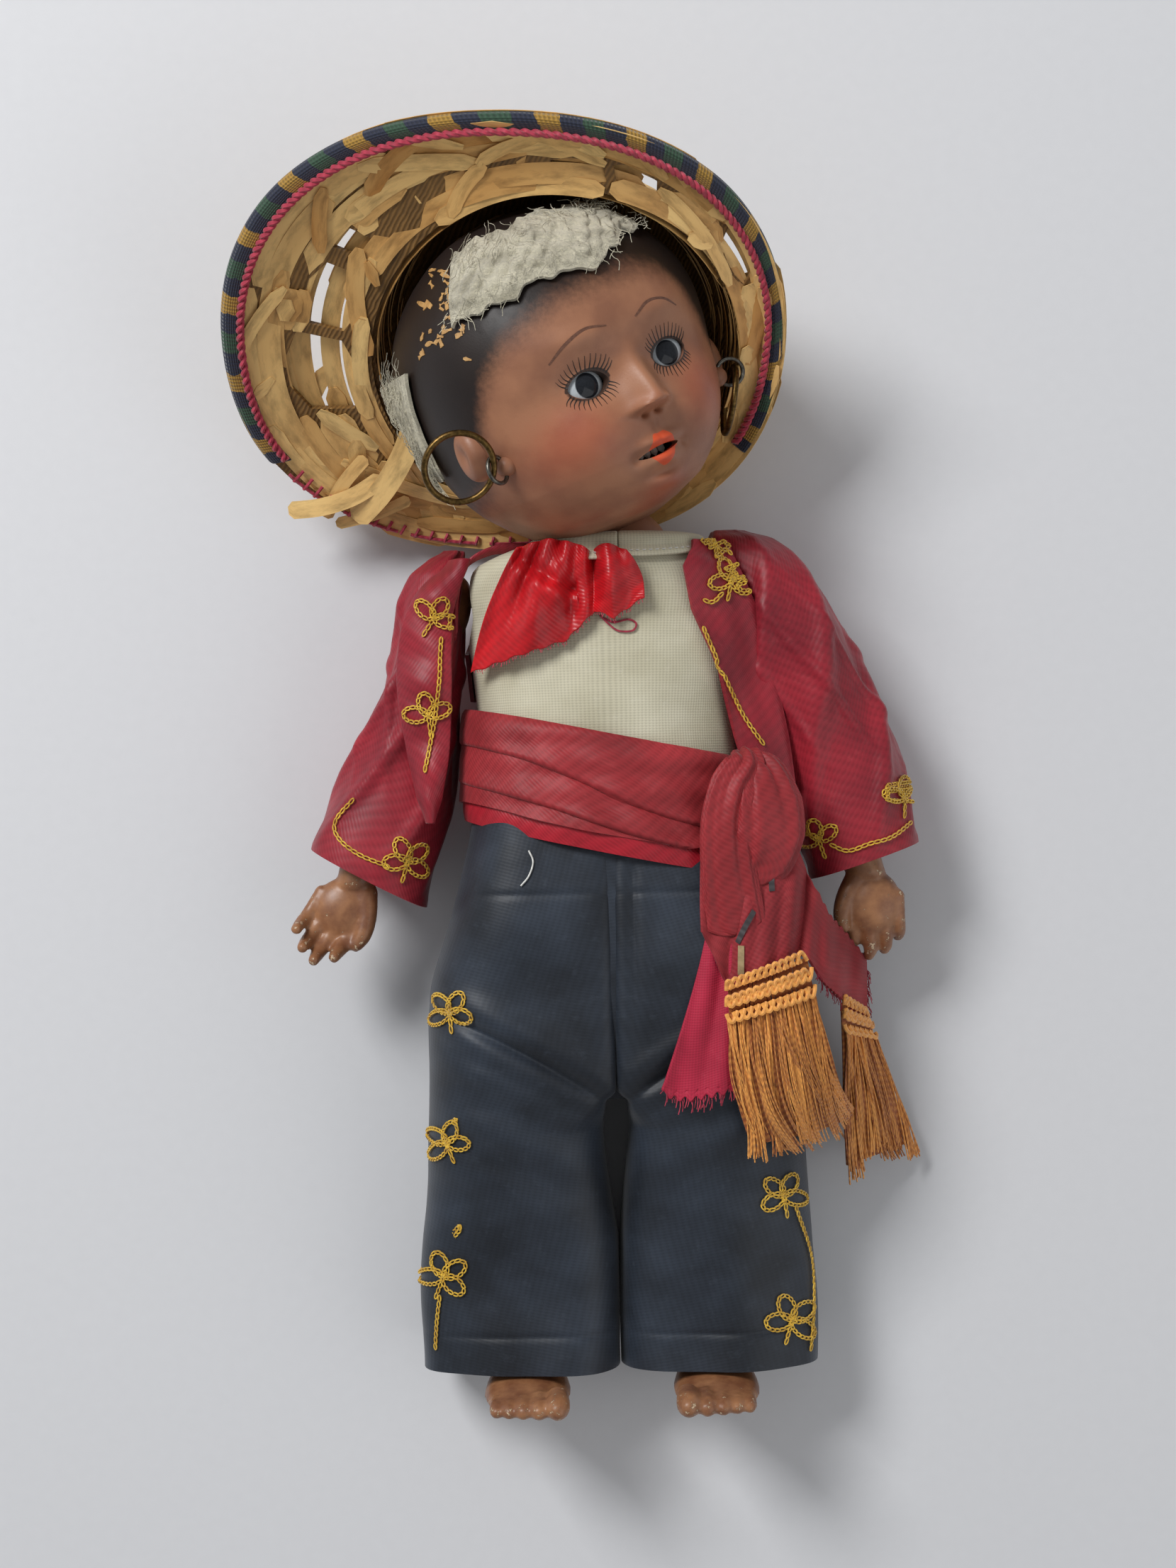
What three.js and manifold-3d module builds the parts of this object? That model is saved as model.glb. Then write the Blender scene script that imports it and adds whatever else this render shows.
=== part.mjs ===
// A costume doll lying on its back: a hollow ceramic socket head with set glass eyes, a five-piece
// composition body strung on elastic, a charro suit with a sash, and a torn palm-straw hat.
//
// Frame: millimetres, +Z up from the surface the doll lies on, +Y towards the head, +X towards the
// doll's left hand. The pieces are modelled in the doll's own frame (x = 0 is the middle of the
// body, z = 0 the surface), and the finished group is moved so that its origin is its base centre.
import * as THREE from 'three';
import { mergeVertices } from 'three/addons/utils/BufferGeometryUtils.js';
import Module from 'manifold-3d';

const wasm = await Module();
wasm.setup();

// Driving dimensions: clearances and cloth
const GAP = 0.35; // air between pieces that lie against each other
const CLOTH = 1.0; // suit and shirt cloth with its turned edges
const SASH = 2.0; // the wound sash, several layers deep
const STRAW = 1.2; // plaited straw
const SWING = 0.4; // air round the neck ball, and beside cloth that a limb moves
const SEAT = 0.25; // air between a limb's inner face and its seat on the trunk

// Driving dimensions: body
const TRUNK_Z = 20; // middle of the trunk above the surface
const WALL = 2.4; // pressed composition
const SHOULDER_Y = 36;
const ARM_SEAT = 25.5; // half the width between the two arm seats
const ARM_R = 7.5; // the arm's round top
const HIP_Y = -46;
const HIP_Z = 19.2;
const WEDGE = 8.8; // half the width of the crotch between the two legs
const THIGH_R = 15; // the thigh's round top about the hip axis
const TROUSER_R = 18.9; // the trouser leg's round top about the hip axis
const SOLE_Y = -120.5;
const HEM_Y = -113.5;
const WAIST_Y = -4; // where the shirt's tail meets the trousers, under the sash
const CORD_R = 1.1; // stringing elastic
const BAR_R = 0.7; // stringing bars and the neck hook

// Driving dimensions: head
const NECK = new THREE.Vector3(3.6, 43.8, 26.4); // centre of the neck ball in its cup
const NECK_R = 9.3;
const HOOK_REACH = 17; // the neck hook's length below the ball's centre
const NECK_TO_SKULL = new THREE.Vector3(0, 37, 4.5); // with the head upright
const HEAD_NOD = 8; // how the head lies at rest, in degrees
const HEAD_TILT = 21.5;
const HEAD_TURN = 28.5;
const HEAD_WALL = 3;
const EYE_R = 5.2;
const EYE = new THREE.Vector3(9, -5, 19.9); // left eye's centre in the head
const EYE_OPEN = [7.6, 5]; // width and height between the lids
const MOUTH = new THREE.Vector3(0, -20.6, 26);
const MOUTH_OPEN = [7.6, 1.9];
const LOBE = new THREE.Vector3(24.4, -12.6, 12.8); // left ear lobe's pierced hole

// Driving dimensions: hat
const BRIM_TILT = 40; // degrees between the brim's plane and the surface
const CROWN_R = 36; // crown's mouth
const CROWN_BASE = 6; // the mouth's plane behind the skull's centre
const CROWN_TOP = 35.4;
const RIM_A = 52.4; // rim's half width
const RIM_B = 46; // rim's half height in its own plane
const RIM_SHIFT = [-10.1, 4, 5]; // rim's centre from the skull's: across, up and behind
const SCRAP_WIDTH = 3.2; // straws hanging loose from the brim
const BAND_WIDTH = 4.2; // woven band over the rim
const BAND_CLOTH = 0.8;
const BAND_AIR = 0.5;
const CORD_TRIM_R = 0.75;
const BAND_SPAN = [-30, 210]; // what is left of the woven band, in degrees round the rim

const TAU = Math.PI * 2;
const rad = THREE.MathUtils.degToRad;
const mix = THREE.MathUtils.lerp;
const smooth = THREE.MathUtils.smoothstep;
const V = (x, y, z) => new THREE.Vector3(x, y, z);

// Geometry helpers: closed solids out of rings and grids

function closedSolid(points, faces) {
  let volume = 0;
  for (const [a, b, c] of faces) {
    volume += points[a].dot(points[b].clone().cross(points[c]));
  }
  const order = volume > 0 ? faces : faces.map(([a, b, c]) => [a, c, b]);
  const geometry = new THREE.BufferGeometry();
  geometry.setFromPoints(points);
  geometry.setIndex(order.flat());
  return geometry;
}

// A solid through a row of rings with the same number of points, its two ends closed by fans.
function loft(rings) {
  const n = rings[0].length;
  const points = rings.flat();
  const faces = [];
  for (let j = 0; j + 1 < rings.length; j += 1) {
    for (let i = 0; i < n; i += 1) {
      const a = j * n + i;
      const b = j * n + (i + 1) % n;
      faces.push([a, b, b + n], [a, b + n, a + n]);
    }
  }
  for (const [j, flip] of [[0, true], [rings.length - 1, false]]) {
    const centre = rings[j].reduce((sum, p) => sum.add(p), V(0, 0, 0)).divideScalar(n);
    const c = points.push(centre) - 1;
    for (let i = 0; i < n; i += 1) {
      const a = j * n + i;
      const b = j * n + (i + 1) % n;
      faces.push(flip ? [b, a, c] : [a, b, c]);
    }
  }
  return closedSolid(points, faces);
}

// A wall between two grids of points, closed at its edges; wrap joins the last column to the first.
function wall(columns, rows, wrap, outer, inner) {
  const count = wrap ? columns : columns + 1;
  const points = [];
  for (const side of [outer, inner]) {
    for (let i = 0; i < count; i += 1) {
      for (let j = 0; j <= rows; j += 1) {
        points.push(side(i / columns, j / rows));
      }
    }
  }
  const at = (side, i, j) => (side * count + (i % count)) * (rows + 1) + j;
  const faces = [];
  const quad = (a, b, c, d) => faces.push([a, b, c], [a, c, d]);
  for (let i = 0; i < columns; i += 1) {
    for (let j = 0; j < rows; j += 1) {
      quad(at(0, i, j), at(0, i + 1, j), at(0, i + 1, j + 1), at(0, i, j + 1));
      quad(at(1, i, j), at(1, i, j + 1), at(1, i + 1, j + 1), at(1, i + 1, j));
    }
    quad(at(0, i, 0), at(1, i, 0), at(1, i + 1, 0), at(0, i + 1, 0));
    quad(at(0, i, rows), at(0, i + 1, rows), at(1, i + 1, rows), at(1, i, rows));
  }
  if (!wrap) {
    for (let j = 0; j < rows; j += 1) {
      quad(at(0, 0, j), at(0, 0, j + 1), at(1, 0, j + 1), at(1, 0, j));
      quad(at(0, columns, j), at(1, columns, j), at(1, columns, j + 1), at(0, columns, j + 1));
    }
  }
  return closedSolid(points, faces);
}

// A sheet of one thickness, given by its front face.
function sheet(columns, rows, thickness, front) {
  const step = 1e-3;
  const back = (s, t) => {
    const [s0, s1] = [Math.max(0, s - step), Math.min(1, s + step)];
    const [t0, t1] = [Math.max(0, t - step), Math.min(1, t + step)];
    const across = front(s1, t).sub(front(s0, t));
    const down = front(s, t1).sub(front(s, t0));
    const normal = across.cross(down).normalize();
    return front(s, t).addScaledVector(normal, normal.z > 0 ? -thickness : thickness);
  };
  return wall(columns, rows, false, front, back);
}

const signedPower = (value, power) => Math.sign(value) * Math.abs(value) ** power;

// One ring in a plane of constant y, or leaning by slope along x.
function ring({ x, y, z, rx, rz, slope = 0, square = 2.2, folds = 0, ripple = 0, phase = 0 }, sides) {
  const points = [];
  for (let i = 0; i < sides; i += 1) {
    const a = TAU * i / sides;
    const swell = 1 + ripple * Math.cos(folds * a + phase);
    const dx = rx * swell * signedPower(Math.cos(a), 2 / square);
    const dz = rz * swell * signedPower(Math.sin(a), 2 / square);
    points.push(V(x + dx, y + slope * dx, z + dz));
  }
  return points;
}

// A limb or a sleeve: stations written as rows of y, near x, far x, middle z, half depth, slope.
function stations(rows, { inset = 0, side = 1, ...form }) {
  return rows.map(([y, near, far, z, rz, slope = 0]) => ({
    x: side * (near + far) / 2,
    y,
    z,
    rx: (far - near) / 2 - inset,
    rz: rz - inset,
    slope: side * slope,
    ...form,
  }));
}

// A tapered body round a path, one radius for each point.
function sausage(path, radii, sides) {
  const rings = path.map((p, k) => {
    const ahead = path[Math.min(k + 1, path.length - 1)].clone();
    const along = ahead.sub(path[Math.max(k - 1, 0)]).normalize();
    const up = Math.abs(along.z) < 0.9 ? V(0, 0, 1) : V(1, 0, 0);
    const u = up.cross(along).normalize();
    const v = along.clone().cross(u);
    return Array.from({ length: sides }, (_, i) => {
      const a = TAU * i / sides;
      return p.clone().addScaledVector(u, radii[k] * Math.cos(a)).addScaledVector(v, radii[k] * Math.sin(a));
    });
  });
  return loft(rings);
}

// A cord of one radius along a smooth curve.
function cord(points, radius, sides, steps) {
  const section = new THREE.Shape();
  section.absarc(0, 0, radius, 0, TAU);
  const path = new THREE.CatmullRomCurve3(points);
  const options = { extrudePath: path, steps, bevelEnabled: false, curveSegments: sides };
  return new THREE.ExtrudeGeometry(section, options);
}

function rod(from, to, radius, sides = 14) {
  const length = from.distanceTo(to);
  const geometry = new THREE.CylinderGeometry(radius, radius, length, sides);
  geometry.translate(0, length / 2, 0);
  const turn = new THREE.Quaternion().setFromUnitVectors(V(0, 1, 0), to.clone().sub(from).normalize());
  return geometry.applyQuaternion(turn).translate(from.x, from.y, from.z);
}

function ball(centre, radii, columns = 14, rows = 8) {
  const geometry = new THREE.SphereGeometry(1, columns, rows);
  return geometry.scale(radii.x, radii.y, radii.z).translate(centre.x, centre.y, centre.z);
}

function block(low, high) {
  const size = high.clone().sub(low);
  const middle = low.clone().add(high).divideScalar(2);
  return new THREE.BoxGeometry(size.x, size.y, size.z).translate(middle.x, middle.y, middle.z);
}

// A flat outline pushed along z from one height to another.
function prism(outline, low, high) {
  const shape = new THREE.Shape(outline.map(([x, y]) => new THREE.Vector2(x, y)));
  const geometry = new THREE.ExtrudeGeometry(shape, { depth: high - low, bevelEnabled: false });
  return geometry.translate(0, 0, low);
}

function manifold(geometry) {
  const bare = geometry.clone();
  for (const name of ['normal', 'uv']) {
    if (bare.hasAttribute(name)) {
      bare.deleteAttribute(name);
    }
  }
  const merged = mergeVertices(bare, 1e-4);
  const vertProperties = new Float32Array(merged.attributes.position.array);
  const triVerts = new Uint32Array(merged.index.array);
  return new wasm.Manifold(new wasm.Mesh({ numProp: 3, vertProperties, triVerts }));
}

function fromManifold(body) {
  const mesh = body.getMesh();
  const geometry = new THREE.BufferGeometry();
  geometry.setAttribute('position', new THREE.BufferAttribute(new Float32Array(mesh.vertProperties), 3));
  geometry.setIndex(new THREE.BufferAttribute(new Uint32Array(mesh.triVerts), 1));
  return geometry;
}

const join = (...parts) => fromManifold(parts.map(manifold).reduce((all, part) => all.add(part)));
function cut(base, ...tools) {
  return fromManifold(tools.reduce((body, tool) => body.subtract(manifold(tool)), manifold(base)));
}

const common = (a, b) => fromManifold(manifold(a).intersect(manifold(b)));

// The largest body of a cut piece, without its loose scraps.
function largest(geometry) {
  const bodies = manifold(geometry).decompose();
  return fromManifold(bodies.reduce((best, body) => (body.volume() > best.volume() ? body : best)));
}

function mirrored(geometry) {
  const merged = mergeVertices(geometry.clone().scale(-1, 1, 1), 1e-4);
  const index = Array.from(merged.index.array);
  for (let k = 0; k < index.length; k += 3) {
    [index[k + 1], index[k + 2]] = [index[k + 2], index[k + 1]];
  }
  merged.setIndex(index);
  return merged;
}

// Smooth values between the rows of a table, whose first column rises.
function between(table, key) {
  const last = table.length - 1;
  const at = Math.min(Math.max(key, table[0][0]), table[last][0]);
  let k = 0;
  while (k < last - 1 && table[k + 1][0] < at) {
    k += 1;
  }
  const row = (i) => table[Math.min(Math.max(i, 0), last)];
  const t = (at - row(k)[0]) / (row(k + 1)[0] - row(k)[0]);
  return row(k).slice(1).map((_, c) => {
    const [p0, p1, p2, p3] = [row(k - 1), row(k), row(k + 1), row(k + 2)].map((r) => r[c + 1]);
    const bend = 2 * p0 - 5 * p1 + 4 * p2 - p3;
    const twist = 3 * (p1 - p2) + p3 - p0;
    return p1 + 0.5 * t * (p2 - p0 + t * (bend + t * twist));
  });
}

// The group that every piece goes into
const group = new THREE.Group();

function add(name, geometry, material) {
  const mesh = new THREE.Mesh(geometry, material);
  mesh.name = name;
  group.add(mesh);
}

const finish = (color, roughness, metalness = 0) => (
  new THREE.MeshStandardMaterial({ color, roughness, metalness })
);
const bisque = finish('#93583f', 0.45);
const composition = finish('#8d5f42', 0.5);
const glass = finish('#e4e2dc', 0.12);
const plaster = finish('#d9d4c6', 0.9);
const enamel = finish('#efe9dc', 0.3);
const card = finish('#b59a6c', 0.85);
const wadding = finish('#d8d0a8', 0.95);
const timber = finish('#b48a58', 0.7);
const wire = finish('#8d8d88', 0.4, 0.9);
const antiqueBrass = finish('#7d7250', 0.4, 0.9);
const elastic = finish('#d8d0bc', 0.8);
const lawn = finish('#cfccb4', 0.85);
const ribbon = finish('#c8141e', 0.35);
const redSateen = finish('#a02838', 0.6);
const sashSateen = finish('#a83038', 0.65);
const navySateen = finish('#222c3a', 0.6);
const floss = finish('#c87828', 0.6);
const straw = finish('#c9a05a', 0.75);
const bandCloth = finish('#2b3f73', 0.85);
const crimson = finish('#a8284a', 0.8);

// The trunk's form: y, half width, half depth, middle z
const TRUNK = [
  [-60, 9, 8, TRUNK_Z],
  [-56, 15, 12, TRUNK_Z],
  [-50, 21, 15, TRUNK_Z],
  [-40, 25, 16.8, TRUNK_Z],
  [-28, 26, 17.6, TRUNK_Z],
  [-14, 25.4, 17.6, TRUNK_Z],
  [0, 24.2, 17.3, TRUNK_Z],
  [12, 23.8, 17.3, TRUNK_Z],
  [24, 24.8, 17.4, TRUNK_Z],
  [32, 25.9, 16.4, TRUNK_Z + 0.3],
  [37, 26.3, 15.4, TRUNK_Z + 1.4],
  [41, 24.2, 14.2, TRUNK_Z + 3],
  [43.5, 18.6, 13, TRUNK_Z + 4.6],
  [45, 13.2, 11.6, NECK.z - 0.5],
];
const TRUNK_SQUARE = 2.4;
const TRUNK_SIDES = 20; // facets round the trunk, shared by every cloth over it
const BACK = 2.7; // the trunk's flattened back above the surface, leaving room for two cloths
const LAYER = CLOTH + GAP;
const clothFloor = (layer) => BACK - layer * LAYER; // underside of each cloth where the doll lies on it

// A point on the trunk or on a cloth at some height over it; a = 0 is the left side, 90 the front.
function trunk(y, degrees, height = 0, floor = BACK) {
  const a = rad(degrees);
  const [w, d, z] = between(TRUNK, y);
  const [w0, d0] = between(TRUNK, y - 0.5);
  const [w1, d1] = between(TRUNK, y + 0.5);
  const slope = mix(w1 - w0, d1 - d0, Math.sin(a) ** 2);
  const share = 1 / Math.hypot(1, slope);
  const x = (w + height * share) * signedPower(Math.cos(a), 2 / TRUNK_SQUARE);
  const up = (d + height * share) * signedPower(Math.sin(a), 2 / TRUNK_SQUARE);
  return V(x, y - height * slope * share, Math.max(z + up, floor));
}

function trunkRing(y, height, floor, sides = TRUNK_SIDES) {
  return Array.from({ length: sides }, (_, i) => trunk(y, 360 * i / sides, height, floor));
}

const TRUNK_ROWS = [-60, -56, -48, -36, -20, 0, 18, 30, 36, 40, 43, 45];
const shoulderAxis = (from, to, radius) => (
  rod(V(from, SHOULDER_Y, TRUNK_Z), V(to, SHOULDER_Y, TRUNK_Z), radius, 18)
);
const hipAxis = (from, to, radius, sides = 24) => (
  rod(V(from, HIP_Y, HIP_Z), V(to, HIP_Y, HIP_Z), radius, sides)
);
const FAR = 80; // well outside the body

// Room that both trouser legs need as they swing forward, cut out of everything fixed to the trunk.
function legRoom() {
  const room = TROUSER_R + SWING;
  const cuts = [];
  for (const side of [-1, 1]) {
    cuts.push(hipAxis(side * WEDGE, side * FAR, room));
    const low = V(Math.min(side * WEDGE, side * FAR), HIP_Y - FAR, HIP_Z);
    const high = V(Math.max(side * WEDGE, side * FAR), HIP_Y + room, FAR);
    cuts.push(block(low, high));
  }
  return cuts;
}

function buildTorso() {
  const skin = loft(TRUNK_ROWS.map((y) => trunkRing(y, 0, BACK)));
  const hollowRows = [-24, -18, 0, 16, 27, 34, 37.5];
  const hollow = loft(hollowRows.map((y) => trunkRing(y, -WALL, BACK + WALL, 12)));
  const cup = ball(NECK, V(1, 1, 1).multiplyScalar(NECK_R + SWING), 18, 10);
  const throat = rod(V(NECK.x, 30, NECK.z), V(NECK.x, NECK.y, NECK.z), 6.2);
  const shaft = rod(V(0, HIP_Y, HIP_Z), V(0, -20, HIP_Z), 4.6);
  const cuts = [hollow, cup, throat, shaft, jawRoom(), hipAxis(-FAR, FAR, CORD_R + 0.9, 10), ...legRoom()];
  for (const side of [-1, 1]) {
    cuts.push(shoulderAxis(side * ARM_SEAT, side * FAR, 12));
    cuts.push(shoulderAxis(side * 12, side * FAR, CORD_R + 2.6));
  }
  add('torso', cut(skin, ...cuts), composition);
}

// Arms: y, near x, far x, middle z, half depth
const ARM = [
  [42.6, 29, 33, 20, 3.2],
  [40, 26.4, 36.4, 20, 6],
  [36, ARM_SEAT + SWING, 38.4, 20, 7.3],
  [30.5, 27.4, 39.2, 19.8, 7.1],
  [26, 31.4, 40.6, 19.4, 6.6],
  [20, 32.2, 42.4, 19, 6.4],
  [8, 34.9, 45.6, 18.2, 6],
  [0, 37.6, 48.2, 17.8, 5.8],
  [-10, 42.2, 51.6, 17.8, 5.1],
  [-17, 45.4, 53.4, 18.4, 4.4],
  [-20, 46.2, 54.2, 18.8, 4],
];
const KNUCKLE_Y = -28.5;

// One finger: where it leaves the palm, how far it reaches and how it curls; curl is up or down.
function finger(x, y, reach, curl, radius) {
  const path = [
    V(x, y + 3, 19.5),
    V(x + 0.2, y - 0.35 * reach, 19.5 + curl * 0.6),
    V(x + 0.5, y - 0.8 * reach, 19.5 + curl * 2.2),
    V(x + 0.4, y - reach, 19.5 + curl * 4.4),
  ];
  return sausage(path, [radius, radius, radius * 0.9, radius * 0.55], 5);
}

function buildArm(side, name, curl) {
  const limb = loft(stations(ARM, {}).map((station) => ring(station, 10)));
  const palm = ball(V(51, -24.6, 19.2), V(6.2, 6.6, 3.6), 10, 7);
  const hub = shoulderAxis(ARM_SEAT + SEAT, ARM_SEAT + 6, ARM_R - 1.2);
  const parts = [limb, palm, hub];
  [[47.2, 5.2], [50.2, 6.4], [53.2, 6], [56, 4.6]].forEach(([x, reach], k) => {
    parts.push(finger(x, KNUCKLE_Y + 1.2 * Math.abs(k - 1.2), reach, curl, 1.75 - 0.12 * k));
  });
  const thumb = [V(48.4, -20.4, 19.6), V(45.6, -23.4, 20.4), V(44.7, -26.4, 21), V(45.2, -28.6, 21.2)];
  parts.push(sausage(thumb, [2.6, 2.1, 1.8, 1], 6));
  const recess = shoulderAxis(ARM_SEAT - 1, ARM_SEAT + 6.5, 3.4);
  const inside = block(V(0, -FAR, -FAR), V(ARM_SEAT + SEAT, FAR, FAR));
  const arm = cut(join(...parts), recess, inside);
  add(name, side > 0 ? arm : mirrored(arm), composition);
  const bar = rod(
    V(side * (ARM_SEAT + 4), SHOULDER_Y - 3.4 + GAP, TRUNK_Z),
    V(side * (ARM_SEAT + 4), SHOULDER_Y + 3.4 - GAP, TRUNK_Z),
    BAR_R,
    6,
  );
  add(`${name}_bar`, bar, wire);
}

// Legs: y, near x, far x, middle z, half depth
const LEG = [
  [-33, 12, 22, 19.2, 7],
  [-38, WEDGE + 2 * SWING, 25, 19.2, 12.4],
  [-46, WEDGE + 2 * SWING, 26.6, 19.2, 14.8],
  [-55, 10.2, 27.2, 18, 14],
  [-61, 11.2, 27, 17, 13],
  [-70, 11.2, 26.4, 15.8, 11.6],
  [-82, 11.2, 25.6, 14.6, 10.2],
  [-92, 10.6, 26, 13.8, 10],
  [-103, 11.6, 25, 13.4, 8.2],
  [-109, 12, 24.4, 13.6, 7.6],
  [HEM_Y + 0.5, 12, 24.6, 14.4, 8.6],
  [HEM_Y - 0.6, 11.8, 24.8, 14.6, 8.8],
  [-116, 10.8, 26, 18.8, 13],
  [-118, 10, 26.8, 20.6, 15.6],
  [-119.6, 9.8, 27, 21, 16.2],
  [SOLE_Y, 10.4, 26.6, 21, 15.6],
];

function buildLeg(side, name) {
  const limb = loft(stations(LEG, {}).map((station) => ring(station, 11)));
  const hub = hipAxis(WEDGE + SEAT, 22, THIGH_R, 18);
  const toes = [[12.2, 2.6], [15.6, 2.1], [18.6, 1.9], [21.4, 1.8], [24, 1.6]].map(([x, r]) => (
    ball(V(x, SOLE_Y + 0.6 + r, 35.4 - 0.12 * (x - 12) ** 1.3), V(r * 0.95, r, r * 1.5), 6, 4)
  ));
  const recess = hipAxis(WEDGE, WEDGE + 6.5, 3.6, 12);
  const inside = block(V(-FAR, -2 * FAR, -FAR), V(WEDGE + SEAT, FAR, FAR));
  const leg = cut(join(limb, hub, ...toes), recess, inside);
  add(name, side > 0 ? leg : mirrored(leg), composition);
  const x = side * (WEDGE + 4.6);
  const bar = rod(V(x, HIP_Y - 3.6 + GAP, HIP_Z), V(x, HIP_Y + 3.6 - GAP, HIP_Z), BAR_R, 6);
  add(`${name}_bar`, bar, wire);
}

function buildStringing() {
  const armEnd = ARM_SEAT + 4 - BAR_R - GAP;
  const half = [
    V(armEnd, SHOULDER_Y, TRUNK_Z),
    V(armEnd - 6, SHOULDER_Y, TRUNK_Z),
    V(14, 34.6, 17),
    V(5, 31.6, 12.8),
  ];
  const other = half.map((p) => V(-p.x, p.y, p.z)).reverse();
  add('arm_elastic', cord([...half, ...other], CORD_R, 3, 14), elastic);
  const legEnd = WEDGE + 4.6 - BAR_R - GAP;
  add('leg_elastic', rod(V(-legEnd, HIP_Y, HIP_Z), V(legEnd, HIP_Y, HIP_Z), CORD_R, 8), elastic);
  const top = NECK.y - HOOK_REACH - GAP;
  const low = HIP_Y + 2 * CORD_R + GAP;
  add('neck_elastic', rod(V(NECK.x, top, NECK.z), V(0, low, HIP_Z), CORD_R, 8), elastic);
}

// The head's own frame: x to its left, y up, z out of the face, its origin at the skull's centre
const headTurn = new THREE.Matrix4()
  .makeRotationX(rad(HEAD_NOD))
  .multiply(new THREE.Matrix4().makeRotationZ(rad(HEAD_TILT)))
  .multiply(new THREE.Matrix4().makeRotationY(rad(HEAD_TURN)));
const SKULL = NECK_TO_SKULL.clone().applyMatrix4(headTurn).add(NECK);
const headPlace = new THREE.Matrix4().makeTranslation(SKULL).multiply(headTurn);
const nodTurn = new THREE.Matrix4().makeRotationX(rad(HEAD_NOD));
const hookPlace = new THREE.Matrix4().makeTranslation(NECK).multiply(nodTurn);
const neckInHead = NECK_TO_SKULL.clone().negate();

// The skull's form: y, half width, front, back
const FACE = [
  [-31.5, 7.6, 2.5, 12],
  [-30, 12, 11, 13.2],
  [-27.5, 16.6, 19.2, 15],
  [-24, 20.4, 23.4, 17.4],
  [-20, 23.8, 25.4, 20.4],
  [-15, 26.4, 26.6, 24],
  [-10, 27.8, 27, 27],
  [-5, 28.7, 27.2, 29],
  [0, 29.3, 28.2, 30],
  [6, 29.4, 28.6, 30.3],
  [12, 28.2, 27.2, 29.6],
  [18, 25, 23.8, 26.6],
  [24, 19.6, 18.4, 21],
  [28.5, 13, 12, 13.8],
  [31.8, 3, 3, 3],
];
const bump = (x, y, cx, cy, sx, sy) => Math.exp(-(((x - cx) / sx) ** 2) - ((y - cy) / sy) ** 2);

// How far the modelled face stands out of the plain skull.
function relief(x, y, front) {
  const bridge = smooth(y, -13.6, -12.2) * (1 - smooth(y, -11.5, 0.5)) * 4.4;
  const nose = bridge * Math.exp(-((x / (2.1 + 0.12 * Math.max(0, -2 - y))) ** 2));
  const wings = 1.5 * (bump(x, y, 2.6, -12.4, 1.3, 1.3) + bump(x, y, -2.6, -12.4, 1.3, 1.3));
  const upperLip = 1.1 * bump(Math.abs(x), y, 1.2, -18.9, 2.8, 1);
  const lowerLip = 1.4 * bump(x, y, 0, -22.3, 2.8, 1.2);
  const chin = 2 * bump(x, y, 0, -26.6, 4.4, 2.6);
  const cheeks = 1.2 * bump(Math.abs(x), y, 14, -15, 6, 6);
  const sockets = -1.7 * bump(Math.abs(x), y, EYE.x, EYE.y + 0.4, 5, 3.6);
  const brows = 0.6 * bump(Math.abs(x), y, 9, 3, 6, 2.4);
  return front * (nose + wings + upperLip + lowerLip + chin + cheeks + sockets + brows);
}

function skullPoint(y, degrees, inset = 0) {
  const a = rad(degrees);
  const [w, front, back] = between(FACE, y);
  const depth = Math.cos(a) > 0 ? front : back;
  const x = w * signedPower(Math.sin(a), 0.94);
  const z = depth * signedPower(Math.cos(a), 0.94);
  const facing = smooth(Math.cos(a), 0.15, 0.6);
  const out = inset === 0 ? relief(x, y, facing) : inset;
  const flat = V(x / (w * w), 0, z / (depth * depth)).normalize();
  return V(x + flat.x * out * 0.35, y, z + (z > 0 && inset === 0 ? out : flat.z * out)).addScaledVector(
    V(flat.x, 0, 0), inset === 0 ? 0 : out * 0.65);
}

// Longitudes are closer together across the face.
const FACE_COLUMNS = 32;
function faceDegrees(i) {
  const t = i / FACE_COLUMNS;
  return 360 * t + 33 * Math.sin(TAU * t + Math.PI);
}
const FACE_ROWS = [
  -31.5, -29.6, -27, -24.6, -22.3, -20.6, -18.9, -17, -14.6, -13, -11.8, -9.6, -7, -4.4, -2, 1, 5, 10, 15, 20,
  25, 31.4,
];

function lens([width, height], centre, lean = 0) {
  const points = [];
  const count = 14;
  for (let i = 0; i < count; i += 1) {
    const a = TAU * i / count;
    const x = 0.5 * width * Math.cos(a);
    const y = 0.5 * height * Math.sin(a) * Math.abs(Math.sin(a)) ** 0.25;
    const across = x * Math.cos(lean) - y * Math.sin(lean);
    const up = x * Math.sin(lean) + y * Math.cos(lean);
    points.push([centre.x + across, centre.y + up]);
  }
  return points;
}

const PATE_TILT = 32; // degrees the cut crown leans back
const PATE_HEIGHT = 22.6; // the cut above the skull's centre
function aboveCut(height, reach = 60) {
  const slab = new THREE.BoxGeometry(2 * FAR, reach, 2 * FAR).translate(0, height + reach / 2, 0);
  return slab.rotateX(-rad(PATE_TILT));
}

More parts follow.
